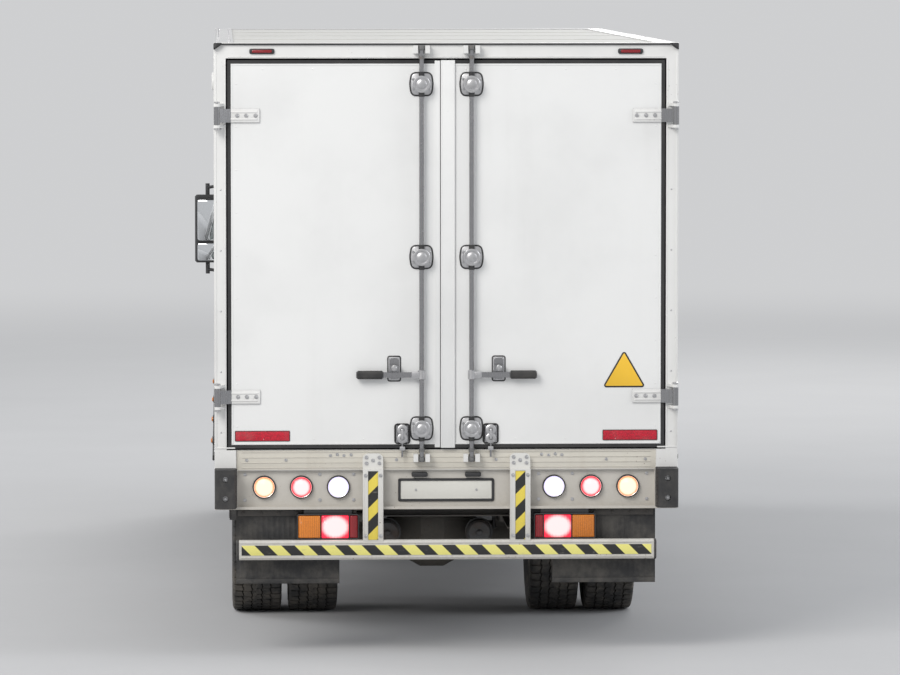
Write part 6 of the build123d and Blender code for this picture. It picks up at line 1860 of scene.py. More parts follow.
    def guards(self) -> None:
        """Amber reflectors, end caps and bolts of the side guards, and the mudguards' rolled lips."""
        plate = slab(oblong(0.095, 0.046, 0.008), 0.005, Facing.RIGHT, (1.200, 0, 0.800), 0.002)
        spots = [(0, y, 0) for y in (-1.28, -0.58, 0.12)]
        piece("guard_reflectors", plate.copies(spots).both(), AMBER_FILM, "chassis")
        rim = hoop(oblong(0.107, 0.058, 0.012), 0.007, 0.006, Facing.RIGHT, (1.200, 0, 0.800), 0.002)
        piece("guard_reflector_rims", rim.copies(spots).both(), BLACK_PLASTIC, "chassis")
        cap = slab(oblong(0.036, 0.106, 0.008), 0.006, Facing.FRONT, (1.185, 0.2505, 0), 0.002)
        back = slab(oblong(0.036, 0.106, 0.008), 0.006, Facing.REAR, (1.185, -1.4205, 0), 0.002)
        steps = [(0, 0, 0.530), (0, 0, 0.800)]
        piece("guard_caps", (cap.copies(steps) + back.copies(steps)).both(), BLACK_PLASTIC, "chassis")
        heads = bolt(0.009, Facing.RIGHT).copies([(1.200, y, 0.530 + a) for y in (-1.27, -0.55, 0.10)
                                                  for a in (-0.026, 0.026)])
        piece("guard_bolts", heads.both(), ZINC, "chassis")
        turn = np.linspace(0.27, math.pi - 0.27, 44)
        lip = np.insert(arc(REAR_AXLE, 0.507, turn), 0, 1.212, axis=1)
        piece("mudguard_lips", tube(lip, 0.006, 8, (1, 0, 0)).both(), BLACK_RUBBER, "chassis")

    def chock(self) -> None:
        """Wheel chock on a bracket off the right rail, behind the fuel tank."""
        wedge = np.array([(0.0, 0.0), (0.200, 0.0), (0.200, 0.120), (0.170, 0.125), (0.020, 0.020)])
        wedge += (0.62, 0.560)
        piece("wheel_chock", drawn(wedge, 0, (0.62, 0.74)), SIGN_YELLOW, "chassis")
        shelf = slab(oblong(0.240, 0.020, 0.004), 0.320, Facing.RIGHT, (self.rail_x, 0.72, 0.550), 0.003)
        shelf += slab(oblong(0.240, 0.220, 0.010), 0.010, Facing.RIGHT, (self.rail_x, 0.72, 0.650), 0.003)
        piece("chock_shelf", shelf, FRAME_PAINT, "chassis")

    def build(self) -> None:
        """Dress the chassis."""
        self.springs()
        self.brakes()
        self.dampers()
        self.frame_details()
        self.tanks()
        self.battery()
        self.exhaust()
        self.guards()
        self.chock()


# Cab

def lean(skin: Skin, out: float = 0.0) -> Skin:
    """Put a surface made on a level front plane onto the windscreen's leaning plane.

    The plane is y = 4.300 - 0.2763 (z - 1.560), moved forward by an amount.
    """
    moved = skin.points.copy()
    moved[:, 1] += 4.300 - 0.27632 * (moved[:, 2] - 1.560) + out
    return Skin(moved, skin.faces)


def wrap(skin: Skin) -> Skin:
    """Bend a surface round the bumper's front corner: beyond x = 0.940 it falls back on a 0.220 radius."""
    moved = skin.points.copy()
    over = np.clip(np.abs(moved[:, 0]) - 0.940, 0.0, 0.2195)
    moved[:, 1] -= 0.220 - np.sqrt(0.220 ** 2 - over ** 2)
    return Skin(moved, skin.faces)


def divided(outline: np.ndarray, pieces: int = 8) -> np.ndarray:
    """Outline with each side cut into equal lengths, so that a plate made from it can be bent."""
    ahead = np.roll(outline, -1, 0) - outline
    share = np.arange(pieces)[None, :, None] / pieces
    return (outline[:, None] + share * ahead[:, None]).reshape(-1, 2)


@dataclass
class CabOutside:
    """Cab dressing: screen, grille, lamps, bumper, doors, mirrors, arches, roof and air stack."""

    side: float = CAB_SIDE
    front: float = CAB_FRONT
    bumper: float = 4.415
    lamp_x: float = 0.855
    lamp_z: float = 0.540
    fog_x: float = 0.560
    mirror: tuple[float, float] = (1.355, 4.010)
    door_middle: float = 3.390

    def screen(self) -> None:
        """Windscreen gasket, dark top band, and wiper arms and blades."""
        outline = rounded([(-1.010, 1.640), (1.010, 1.640), (0.950, 2.500), (-0.950, 2.500)], 0.080, 8)
        gasket = lean(hoop(inset(outline, -0.022), 0.036, 0.007, Facing.FRONT, (0, 0, 0), 0.003))
        piece("screen_gasket", gasket, SEAL_RUBBER, "cab")
        band = rounded([(-0.948, 2.400), (0.948, 2.400), (0.938, 2.490), (-0.938, 2.490)], 0.020, 4)
        piece("screen_band", lean(slab(band, 0.0012, Facing.FRONT, (0, 0, 0), 0.0003), -0.0075), DARK_MESH_AND_SHADE,
              "cab")
        arms, blades = [], []
        for x in (-0.72, -0.02, 0.68):
            path = np.array([(x, 0.0, 1.585), (x + 0.10, 0.0, 1.640), (x + 0.27, 0.0, 1.80),
                             (x + 0.30, 0.0, 1.845)])
            arm = lean(tube(path, np.array([0.011, 0.009, 0.006, 0.005]), 8, (0, 1, 0)), 0.022)
            arms += [arm, lean(turned(((0.0, 0.020), (0.020, 0.020), (0.026, 0.014)), Facing.FRONT,
                                      (x, 0, 1.585), 16))]
            line = np.array([(x + 0.01, 0.0, 1.668), (x + 0.32, 0.0, 1.88), (x + 0.58, 0.0, 2.05)])
            arms.append(lean(tube(line, 0.0045, 6, (0, 1, 0)), 0.015))
            blades.append(lean(tube(line, 0.005, 6, (0, 1, 0), 0.4), 0.007))
        piece("wiper_arms", join(arms), BLACK_PLASTIC, "cab")
        piece("wiper_blades", join(blades), BLACK_RUBBER, "cab")

    def nose(self) -> None:
        """Front hatch line, its grips, and the grille's surround, backing and bars."""
        hatch = rounded([(-1.02, 0.840), (1.02, 0.840), (1.02, 1.373), (-1.02, 1.373)], 0.05, 6)
        line = hoop(hatch, 0.006, 0.0010, Facing.FRONT, (0, self.front, 0), 0.0003)
        piece("hatch_line", line, DARK_MESH_AND_SHADE, "cab")
        surround = hoop(oblong(1.640, 0.416, 0.030), 0.022, 0.010, Facing.FRONT, (0, self.front, 1.150),
                        0.004)
        piece("grille_surround", surround, BLACK_PLASTIC, "cab")
        mesh = slab(oblong(1.590, 0.370, 0.01), 0.002, Facing.FRONT, (0, self.front - 0.046, 1.150), 0.0005)
        piece("grille_backing", mesh, DARK_MESH_AND_SHADE, "cab")
        bars = slab(oblong(0.010, 0.350, 0.002), 0.012, Facing.FRONT, (0, self.front - 0.040, 1.150), 0.002)
        piece("grille_bars", bars.copies([(x, 0, 0) for x in np.arange(-0.70, 0.71, 0.20)]), BLACK_PLASTIC,
              "cab")
        grips = slab(oblong(0.130, 0.034, 0.014), 0.010, Facing.FRONT, (0.93, self.front, 1.31), 0.004)
        piece("hatch_grips", grips.both(), BLACK_PLASTIC, "cab")

    def headlamps(self) -> None:
        """Headlamps in place of the plain blocks, with turn lenses and fog lamps beside them."""
        y = self.bumper - 0.060
        outline = divided(oblong(0.3095, 0.1395, 0.012))
        walls = hoop(outline, 0.004, 0.050, Facing.FRONT, (self.lamp_x, y, self.lamp_z), 0.001)
        back = slab(outline, 0.003, Facing.FRONT, (self.lamp_x, y, self.lamp_z), 0.001)
        shell = piece("headlamp_housings", wrap(walls + back).both(), DARK_MESH_AND_SHADE, "chassis")
        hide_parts("headlamps")
        bowls, bulbs = [], []
        for x, radius in ((0.775, 0.060), (0.920, 0.060)):
            share = np.linspace(0.12, 1.0, 10)
            inner = [(0.004 + 0.040 * s * s, radius * s) for s in share]
            outer = [(0.003 + 0.040 * s * s, radius * s + 0.0015) for s in share[::-1]]
            bowls.append(turned(inner + outer, Facing.FRONT, (x, y, self.lamp_z), 36, True))
            bulbs.append(turned(((0.004, 0.009), (0.020, 0.011), (0.030, 0.008), (0.033, 0.003)),
                                Facing.FRONT,
                                (x, y, self.lamp_z), 16))
        piece("headlamp_bowls", join(bowls).both(), CHROME, "chassis")
        piece("headlamp_bulbs", join(bulbs).both(), CLEAR_LENS, "chassis")
        cover = slab(inset(outline, 0.001), 0.005, Facing.FRONT, (self.lamp_x, y + 0.051, self.lamp_z), 0.002)
        piece("headlamp_covers", wrap(cover).both(), CLEAR_LENS, "chassis")
        rim = hoop(inset(outline, -0.012), 0.012, 0.006, Facing.FRONT,
                   (self.lamp_x, self.bumper, self.lamp_z), 0.002)
        piece("headlamp_rims", wrap(rim).both(), BLACK_PLASTIC, "chassis")
        columns = [slab(oblong(0.010, 0.080, 0.002), 0.007, Facing.FRONT, (x, self.bumper, self.lamp_z),
                        0.003)
                   for x in np.arange(1.036, 1.12, 0.0098)]
        piece("turn_lenses", wrap(join(columns)).both(), AMBER_LENS, "chassis")
        fog = turned(((0.0, 0.046), (0.004, 0.046), (0.008, 0.040), (0.006, 0.036)), Facing.FRONT,
                     (self.fog_x, self.bumper, self.lamp_z), 32)
        piece("fog_lamps", fog.both(), CLEAR_LENS, "chassis")
        ring = hoop(circle(0.060, 40), 0.014, 0.007, Facing.FRONT, (self.fog_x, self.bumper, self.lamp_z),
                    0.003)
        piece("fog_rings", ring.both(), BLACK_PLASTIC, "chassis")

    def bumper_details(self) -> None:
        """Blank plate in its holder, dark strips of painted shade in the slots, ridges, and the treads on the
        steps.
        """
        at = (0.0, self.bumper, 0.545)
        piece("front_plate", slab(oblong(0.520, 0.112, 0.008), 0.004, Facing.FRONT, at), PLATE_WHITE,
              "chassis")
        rim = hoop(oblong(0.540, 0.130, 0.010), 0.012, 0.006, Facing.FRONT, at, 0.002)
        piece("front_plate_holder", rim, BLACK_PLASTIC, "chassis")
        # Dark strips in the bumper's slots: painted shade.
        slot = [slab(oblong(1.50, 0.010, 0.004), 0.004, Facing.FRONT, (0, self.bumper, z), 0.002)
                for z in (0.425, 0.443, 0.461)]
        piece("bumper_slot_shade", join(slot), DARK_MESH_AND_SHADE, "chassis")
        ridge = [slab(oblong(1.80, 0.006, 0.002), 0.003, Facing.FRONT, (0, self.bumper, z), 0.0015)
                 for z in (0.655, 0.668, 0.681)]
        piece("bumper_ridges", join(ridge), BLACK_PLASTIC, "chassis")
        treads = [slab(oblong(0.030, 0.400, 0.004), 0.004, Facing.TOP, (x, 3.895, 0.600), 0.002)
                  for x in np.arange(1.005, 1.09, 0.028)]
        piece("step_treads", join(treads).both(), ALUMINIUM, "chassis")

    def door_details(self, sign: int) -> None:
        """Door dressing: window gasket, handle and lock, moulding, swage line and inner card."""
        body = "cab_door_right" if sign > 0 else "cab_door_left"
        window = rounded([(2.990, 1.680), (3.800, 1.620), (3.800, 2.380), (2.990, 2.380)], 0.070, 7)
        gasket = hoop(inset(window, -0.016), 0.026, 0.005, Facing.RIGHT, (self.side, 0, 0), 0.002)
        piece(f"{body}_gasket", gasket.side(sign), SEAL_RUBBER, body)
        cup = slab(oblong(0.190, 0.090, 0.030), 0.004, Facing.RIGHT, (self.side, 3.030, 1.500), 0.002)
        pull = slab(oblong(0.150, 0.026, 0.010), 0.030, Facing.RIGHT, (self.side, 3.030, 1.508), 0.008)
        lock = turned(((0.0, 0.013), (0.006, 0.013), (0.008, 0.010)), Facing.RIGHT, (self.side, 3.150, 1.470),
                      16)
        piece(f"{body}_handle", (cup + pull + lock).side(sign), BLACK_PLASTIC, body)
        strip = slab(oblong(0.960, 0.060, 0.010), 0.006, Facing.RIGHT, (self.side, self.door_middle, 1.240),
                     0.003)
        line = slab(oblong(0.960, 0.010, 0.004), 0.003, Facing.RIGHT, (self.side, self.door_middle, 1.545),
                    0.0015)
        piece(f"{body}_moulding", strip.side(sign), BLACK_PLASTIC, body)
        piece(f"{body}_swage", line.side(sign), CAB_PAINT, body)
        inside = self.side - 0.045
        card = slab(oblong(0.880, 0.420, 0.030), 0.010, Facing.LEFT, (inside, self.door_middle, 1.340), 0.004)
        rest = slab(oblong(0.420, 0.050, 0.020), 0.048, Facing.LEFT, (inside, 3.420, 1.470), 0.012)
        bin_ = slab(oblong(0.620, 0.120, 0.030), 0.035, Facing.LEFT, (inside, self.door_middle, 1.200), 0.010)
        piece(f"{body}_card", (card + rest + bin_).side(sign), GREY_PLASTIC, body)

    def mirror_glasses(self) -> None:
        """Mirror faces towards the rear in rims: a tall one over a wide one."""
        tall = slab(oblong(0.160, 0.290, 0.020), 0.003, Facing.REAR, (*self.mirror, 2.060), 0.001)
        wide = slab(oblong(0.160, 0.125, 0.020), 0.003, Facing.REAR, (*self.mirror, 1.835), 0.001)
        piece("mirror_faces", (tall + wide).both(), MIRROR_GLASS, "cab")
        rims = hoop(oblong(0.172, 0.302, 0.024), 0.008, 0.006, Facing.REAR, (*self.mirror, 2.060), 0.002)
        rims += hoop(oblong(0.172, 0.137, 0.024), 0.008, 0.006, Facing.REAR, (*self.mirror, 1.835), 0.002)
        piece("mirror_rims", rims.both(), BLACK_PLASTIC, "cab")

    def arches(self) -> None:
        """Flared lips round the wheel arches and inner guards over the steered tyres."""
        turn = np.linspace(0.625, 2.32, 40)
        lip = np.insert(arc(FRONT_AXLE, 0.588, turn), 0, self.side + 0.002, axis=1)
        piece("arch_lips", tube(lip, 0.020, 12, (1, 0, 0), 0.45).both(), BLACK_PLASTIC, "cab")
        wide = np.linspace(0.55, 2.40, 36)
        section = np.vstack([arc(FRONT_AXLE, 0.572, wide), arc(FRONT_AXLE, 0.567, wide[::-1])])
        piece("arch_liners", drawn(section, 0, (0.820, 1.112)).both(), BLACK_RUBBER, "cab")

    def sides(self) -> None:
        """Grab rails behind the doors, side lamps, rear window gasket and ribs on the cab's back."""
        near, out = self.side - 0.004, self.side + 0.045
        path = bent([(near, 2.760, 1.30), (out, 2.760, 1.34), (out, 2.760, 1.98), (near, 2.760, 2.02)], 0.03)
        piece("grab_rails", tube(path, 0.012, 12, (0, 1, 0)).both(), BLACK_PLASTIC, "cab")
        lamp = slab(oblong(0.085, 0.034, 0.012), 0.014, Facing.RIGHT, (self.side, 4.060, 1.40), 0.006)
        piece("side_turn_lenses", lamp.both(), AMBER_LENS, "cab")
        window = rounded([(-0.560, 1.780), (0.560, 1.780), (0.560, 2.300), (-0.560, 2.300)], 0.070, 6)
        gasket = hoop(inset(window, -0.018), 0.028, 0.006, Facing.REAR, (0, CAB_BACK, 0), 0.003)
        piece("rear_window_gasket", gasket, SEAL_RUBBER, "cab")
        ribs = [slab(oblong(1.90, 0.030, 0.010), 0.006, Facing.REAR, (0, CAB_BACK, z), 0.004)
                for z in (1.35, 1.48, 1.61, 2.42)]
        piece("cab_back_ribs", join(ribs), CAB_PAINT, "cab")

    def roof(self) -> None:
        """Roof hatch, four raised ribs and amber roof lamps."""
        hatch = slab(oblong(0.560, 0.480, 0.060), 0.026, Facing.TOP, (0, 3.250, CAB_TOP), 0.012)
        hatch += slab(oblong(0.420, 0.340, 0.050), 0.034, Facing.TOP, (0, 3.250, CAB_TOP), 0.006)
        ribs = join([slab(oblong(0.060, 0.860, 0.020), 0.008, Facing.TOP, (x, 3.240, CAB_TOP), 0.005)
                     for x in (-0.78, -0.50, 0.50, 0.78)])
        piece("roof_hatch", hatch + ribs, CAB_PAINT, "cab")
        foot = slab(oblong(0.150, 0.070, 0.030), 0.020, Facing.TOP, (0.0, 3.800, 2.699), 0.006)
        lamp = slab(oblong(0.120, 0.050, 0.024), 0.040, Facing.TOP, (0.0, 3.800, 2.699), 0.012)
        spots = [(x, 0, 0) for x in (-0.82, -0.28, 0.28, 0.82)]
        piece("roof_lamp_feet", foot.copies(spots), BLACK_PLASTIC, "cab")
        piece("roof_lamps", lamp.copies(spots), AMBER_LENS, "cab")

    def stack(self) -> None:
        """Air intake stack behind the cab on the left, with a louvred head."""
        at = (-0.950, 2.300, 0.0)
        duct = stacked([(oblong(0.150, 0.120, 0.03), 1.000), (oblong(0.150, 0.120, 0.03), 1.980),
                        (oblong(0.200, 0.180, 0.03), 2.020), (oblong(0.200, 0.180, 0.03), 2.220),
                        (oblong(0.150, 0.130, 0.03), 2.250)], Facing.TOP, at)
        slats = join([slab(oblong(0.200, 0.008, 0.003), 0.008, Facing.LEFT, (-1.050, 2.300, z), 0.003)
                      for z in np.arange(2.040, 2.21, 0.020)])
        piece("air_stack", duct + slats, BLACK_PLASTIC, "chassis")
        arms = join([slab(oblong(0.060, 0.040, 0.008), 0.266, Facing.REAR, (-0.950, 2.242, z), 0.004)
                     for z in (1.90, 1.30)])
        piece("air_stack_arms", arms, FRAME_PAINT, "chassis")

    def build(self) -> None:
        """Dress the cab's outside."""
        self.screen()
        self.nose()
        self.headlamps()
        self.bumper_details()
        for sign in (1, -1):
            self.door_details(sign)
        self.mirror_glasses()
        self.arches()
        self.sides()
        self.roof()
        self.stack()


@dataclass
class Seat:
    """One seat: cushion and back swelled as filled cloth, and the cord round the cushion."""

    name: str
    x: float
    width: float
    foot: float = 2.857
    level: float = 1.440

    def pad(self, part: str, size: tuple[float, float, float], lean_by: float, at: tuple[float, float, float],
            pressure: float) -> bpy.types.Object:
        """Swell one padded block.

        A rounded block is remeshed evenly and inflated as cloth, and then kept inside its size.

        Args:
            part: name of the pad.
            size: full width, depth and height.
            lean_by: turn about the cross axis in radians.
            at: middle of the pad.
            pressure: air pressure of the filling.

        Returns:
            The finished pad, riding on the cab.
        """
        grid = np.linspace(-1, 1, 2)
        corner = np.array([(a, b, c) for a in grid for b in grid for c in grid])
        mesh = bpy.data.meshes.new(f"{self.name}_{part}")
        quads = [(0, 1, 3, 2), (4, 6, 7, 5), (0, 4, 5, 1), (2, 3, 7, 6), (0, 2, 6, 4), (1, 5, 7, 3)]
        mesh.from_pydata((corner * np.array(size) / 2).tolist(), [], quads)
        pad = bpy.data.objects.new(f"{self.name}_{part}", mesh)
        bpy.context.scene.collection.objects.link(pad)
        swell(pad, min(size) * 0.30, 0.009, pressure)
        points = places_of(pad)
        half = np.abs(points).max(0)
        points *= np.minimum(1.0, (np.array(size) / 2 - 0.002) / half)
        cos, sin = math.cos(lean_by), math.sin(lean_by)
        points = points @ np.array([(1, 0, 0), (0, cos, sin), (0, -sin, cos)]) + np.array(at)
        pad.data.vertices.foreach_set("co", points.ravel())
        pad.data.update()
        pad.data.polygons.foreach_set("use_smooth", np.ones(len(pad.data.polygons), bool))
        pad.data.materials.append(SEAT_CLOTH.material())
        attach(pad, "cab")
        log.info("%s: %d points on cab", pad.name, len(points))
        return pad

    def piping(self, cushion: bpy.types.Object) -> Skin:
        """Seam cord laid round the cushion's top, half sunk in the cloth under it.

        Each point of the cord takes the mean height of the sixteen top points nearest to it.

        Args:
            cushion: the swelled cushion.

        Returns:
            The cord as a closed tube.
        """
        reach, near, far = self.width / 2 - 0.035, self.foot + 0.035, self.foot + 0.445
        outline = rounded([(self.x - reach, near), (self.x + reach, near), (self.x + reach, far),
                           (self.x - reach, far)], 0.06, 6)
        closed = np.vstack([outline, outline[:1]])
        length = np.concatenate([[0.0], np.cumsum(np.hypot(*np.diff(closed, axis=0).T))])
        along = np.linspace(0, length[-1], 150, endpoint=False)
        path = np.column_stack([np.interp(along, length, closed[:, 0]),
                                np.interp(along, length, closed[:, 1])])
        points = places_of(cushion)
        points = points[points[:, 2] > self.level + 0.080]
        away = np.hypot(path[:, None, 0] - points[None, :, 0], path[:, None, 1] - points[None, :, 1])
        nearest = np.argsort(away, axis=1)[:, :16]
        ring = np.column_stack([path, points[nearest, 2].mean(axis=1) + 0.001])
        return tube(np.vstack([ring, ring[:1]]), 0.004, 6, (0.1, 0.1, 1))

    def build(self) -> bpy.types.Object:
        """Build the seat and give back its cushion."""
        middle = (self.x, self.foot + 0.240, self.level + 0.070)
        cushion = self.pad("cushion", (self.width, 0.480, 0.140), 0.0, middle, 3.0)
        tilt = math.radians(6)
        middle = (self.x, 2.785 - 0.400 * math.sin(tilt), self.level + 0.0025 + 0.400 * math.cos(tilt))
        self.pad("back", (self.width, 0.120, 0.800), tilt, middle, 3.0)
        return cushion


def places_of(thing: bpy.types.Object) -> np.ndarray:
    """All points of an object's mesh, a row each."""
    points = np.empty(len(thing.data.vertices) * 3)
    thing.data.vertices.foreach_get("co", points)
    return points.reshape(-1, 3)


def swell(pad: bpy.types.Object, rounding: float, cell: float, pressure: float) -> None:
    """Bevel, remesh and inflate a block as cloth, then fix the result as its mesh.

    Args:
        pad: the block.
        rounding: bevel of its edges.
        cell: size of the remeshed cells.
        pressure: pressure of the filling.
    """
    bevel = pad.modifiers.new("round", "BEVEL")
    bevel.width, bevel.segments = rounding, 4
    even = pad.modifiers.new("even", "REMESH")
    even.mode, even.voxel_size = "VOXEL", cell
    settle(pad)
    cloth = pad.modifiers.new("fill", "CLOTH")
    cloth.settings.use_pressure = True
    cloth.settings.uniform_pressure_force = pressure
    cloth.settings.effector_weights.gravity = 0.0
    cloth.settings.quality = 6
    cloth.point_cache.frame_start, cloth.point_cache.frame_end = 1, 14
    scene = bpy.context.scene
    for step in range(1, 15):
        scene.frame_set(step)
        bpy.context.view_layer.update()
    settle(pad)
    scene.frame_set(1)


def settle(thing: bpy.types.Object) -> None:
    """Replace an object's mesh by what its modifiers make of it."""
    bpy.context.view_layer.update()
    seen = thing.evaluated_get(bpy.context.evaluated_depsgraph_get())
    mesh = bpy.data.meshes.new_from_object(seen)
    old = thing.data
    thing.modifiers.clear()
    thing.data = mesh
    bpy.data.meshes.remove(old)


@dataclass
class CabInside:
    """Inside of the cab: seats, belts, controls, instruments and lining."""

    seats: tuple[tuple[str, float, float], ...] = (("driver_seat", -0.560, 0.520),
                                                   ("middle_seat", 0.060, 0.460),
                                                   ("side_seat", 0.600, 0.480))
    dash: float = 3.855
    dials: tuple[tuple[float, float], ...] = ((-0.655, 0.058), (-0.465, 0.058), (-0.560, 0.030))
    lever: tuple[float, float] = (-0.215, 3.50)

    def seating(self) -> None:
        """Padded seats in place of the plain blocks, with seam cords."""
        seats = [Seat(name, x, width) for name, x, width in self.seats]
        cushions = [seat.build() for seat in seats]
        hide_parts("seats")
        cords = join([seat.piping(cushion) for seat, cushion in zip(seats, cushions)])
        piece("seat_cords", cords, SEAT_SIDE, "cab")

    def belts(self) -> None:
        """Belts down the pillars in a flat band, with buckles beside the cushions."""
        band = oblong(0.046, 0.0018, 0.0006, 2)
        for sign, side in SIDES:
            path = np.array([(sign * 1.095, 2.700, 2.15), (sign * 1.090, 2.705, 1.80),
                             (sign * 1.085, 2.710, 1.45),
                             (sign * 1.080, 2.715, 1.22)])
            rings = path[:, None] + np.column_stack([band[:, 1], band[:, 0], 0 * band[:, 0]])[None]
            piece(f"belt_{side}", net(rings), SEAT_SIDE, "cab")
        reel = slab(oblong(0.090, 0.130, 0.02), 0.050, Facing.LEFT, (1.112, 2.715, 1.26), 0.01)
        piece("belt_reels", reel.both(), BLACK_PLASTIC, "cab")
        buckle = slab(oblong(0.030, 0.075, 0.008), 0.020, Facing.RIGHT, (0.0, 2.900, 1.50), 0.004)
        piece("belt_buckles", buckle.copies([(x, 0, 0) for x in (-0.282, 0.320)]), BLACK_PLASTIC, "cab")

    def controls(self) -> None:
        """Gear lever with gaiter and knob, three pedals and the column's stalks."""
        gaiter = stacked([(oblong(0.14, 0.14, 0.04), 0.0), (oblong(0.12, 0.12, 0.04), 0.03),
                          (oblong(0.10, 0.10, 0.03), 0.035), (oblong(0.08, 0.08, 0.03), 0.07),
                          (oblong(0.06, 0.06, 0.02), 0.075), (oblong(0.035, 0.035, 0.012), 0.12)],
                         Facing.TOP, (*self.lever, CAB_FLOOR))
        x, y = self.lever
        lever = tube(np.array([(x, y, 1.29), (x, 3.49, 1.50), (x, 3.47, 1.62)]), 0.008, 10, (1, 0, 0))
        knob = turned(((-0.030, 0.012), (-0.015, 0.024), (0.005, 0.027), (0.020, 0.022), (0.028, 0.010)),
                      Facing.TOP,
                      (x, 3.47, 1.64), 24)
        piece("gear_gaiter", gaiter, BLACK_RUBBER, "cab")
        piece("gear_lever", lever + knob, BLACK_PLASTIC, "cab")
        pads = [slab(oblong(0.070, 0.095, 0.012), 0.012, Facing.REAR, (x, 3.98, 1.36), 0.004)
                for x in (-0.70, -0.56)]
        pads.append(slab(oblong(0.055, 0.200, 0.012), 0.012, Facing.REAR, (-0.42, 3.98, 1.31), 0.004))
        arms = [tube(np.array([(x, 3.985, 1.36), (x, 4.00, 1.47)]), 0.008, 8, (1, 0, 0))
                for x in (-0.70, -0.56, -0.42)]
        piece("pedals", join(pads + arms), BLACK_RUBBER, "cab")
        stalks = [tube(np.array([(-0.560, 3.76, 1.665), (-0.560 + s * 0.17, 3.745, 1.69)]), 0.007, 8,
                       (0, 0.2, 1))
                  for s in (-1, 1)]
        piece("column_stalks", join(stalks), BLACK_PLASTIC, "cab")

    def instruments(self) -> None:
        """Instrument hood with dials and needles, vents, radio panel and glove box line."""
        y = self.dash
        hood = slab(oblong(0.46, 0.17, 0.05), 0.030, Facing.REAR, (-0.560, y - 0.004, 1.565), 0.010)
        piece("dial_hood", hood, GREY_PLASTIC, "cab")
        dials = [slab(circle(radius, 32), 0.033, Facing.REAR, (x, y - 0.004, 1.570), 0.001) for x,
                 radius in self.dials]
        piece("dial_faces", join(dials), SIGN_BLACK, "cab")
        rims = [hoop(circle(radius + 0.003, 32), 0.005, 0.036, Facing.REAR, (x, y - 0.004, 1.570), 0.001)
                for x, radius in self.dials]
        needles = [slab(oblong(0.003, 0.046, 0.001), 0.0345, Facing.REAR, (x, y - 0.004, 1.590), 0.0005)
                   for x in (-0.655, -0.465)]
        piece("dial_rims", join(rims + needles), CHROME, "cab")
        vents = [slab(oblong(0.130, 0.008, 0.002), 0.012, Facing.REAR, (x, y - 0.002, z), 0.002)
                 for x in (-0.98, -0.12, 0.12, 0.98) for z in (1.560, 1.575, 1.590, 1.605)]
        piece("dash_vents", join(vents), BLACK_PLASTIC, "cab")
        panel = slab(oblong(0.240, 0.090, 0.010), 0.008, Facing.REAR, (0.0, y - 0.002, 1.500), 0.002)
        box = hoop(oblong(0.420, 0.100, 0.020), 0.004, 0.004, Facing.REAR, (0.560, y - 0.002, 1.520), 0.001)
        piece("dash_panels", panel + box, SIGN_BLACK, "cab")

    def lining(self) -> None:
        """Roof lining, rear wall lining, ribbed floor mats and sun visors."""
        top = slab(oblong(2.02, 1.10, 0.08), 0.012, Facing.BELOW, (0, 3.28, 2.654), 0.004)
        back = slab(rounded([(-1.05, 1.22), (1.05, 1.22), (1.05, 1.74), (-1.05, 1.74)], 0.03, 4), 0.010,
                    Facing.FRONT,
                    (0, 2.641, 0), 0.003)
        piece("cab_lining", top + back, PALE_LINING, "cab")
        mats = [slab(oblong(0.56, 0.56, 0.05), 0.008, Facing.TOP, (x, 3.62, CAB_FLOOR), 0.003)
                for x in (-0.66, 0.66)]
        ribs = [slab(oblong(0.50, 0.008, 0.002), 0.011, Facing.TOP, (x, y, CAB_FLOOR), 0.002)
                for x in (-0.66, 0.66) for y in np.arange(3.40, 3.86, 0.032)]
        piece("floor_mats", join(mats + ribs), BLACK_RUBBER, "cab")
        visors = [slab(oblong(0.62, 0.150, 0.030), 0.014, Facing.BELOW, (x, 3.83, 2.600), 0.005)
                  for x in (-0.55, 0.55)]
        piece("sun_visors", join(visors), PALE_LINING, "cab")

    def build(self) -> None:
        """Fit out the cab."""
        self.seating()
        self.belts()
        self.controls()
        self.instruments()
        self.lining()


# Finishes of the CAD nodes

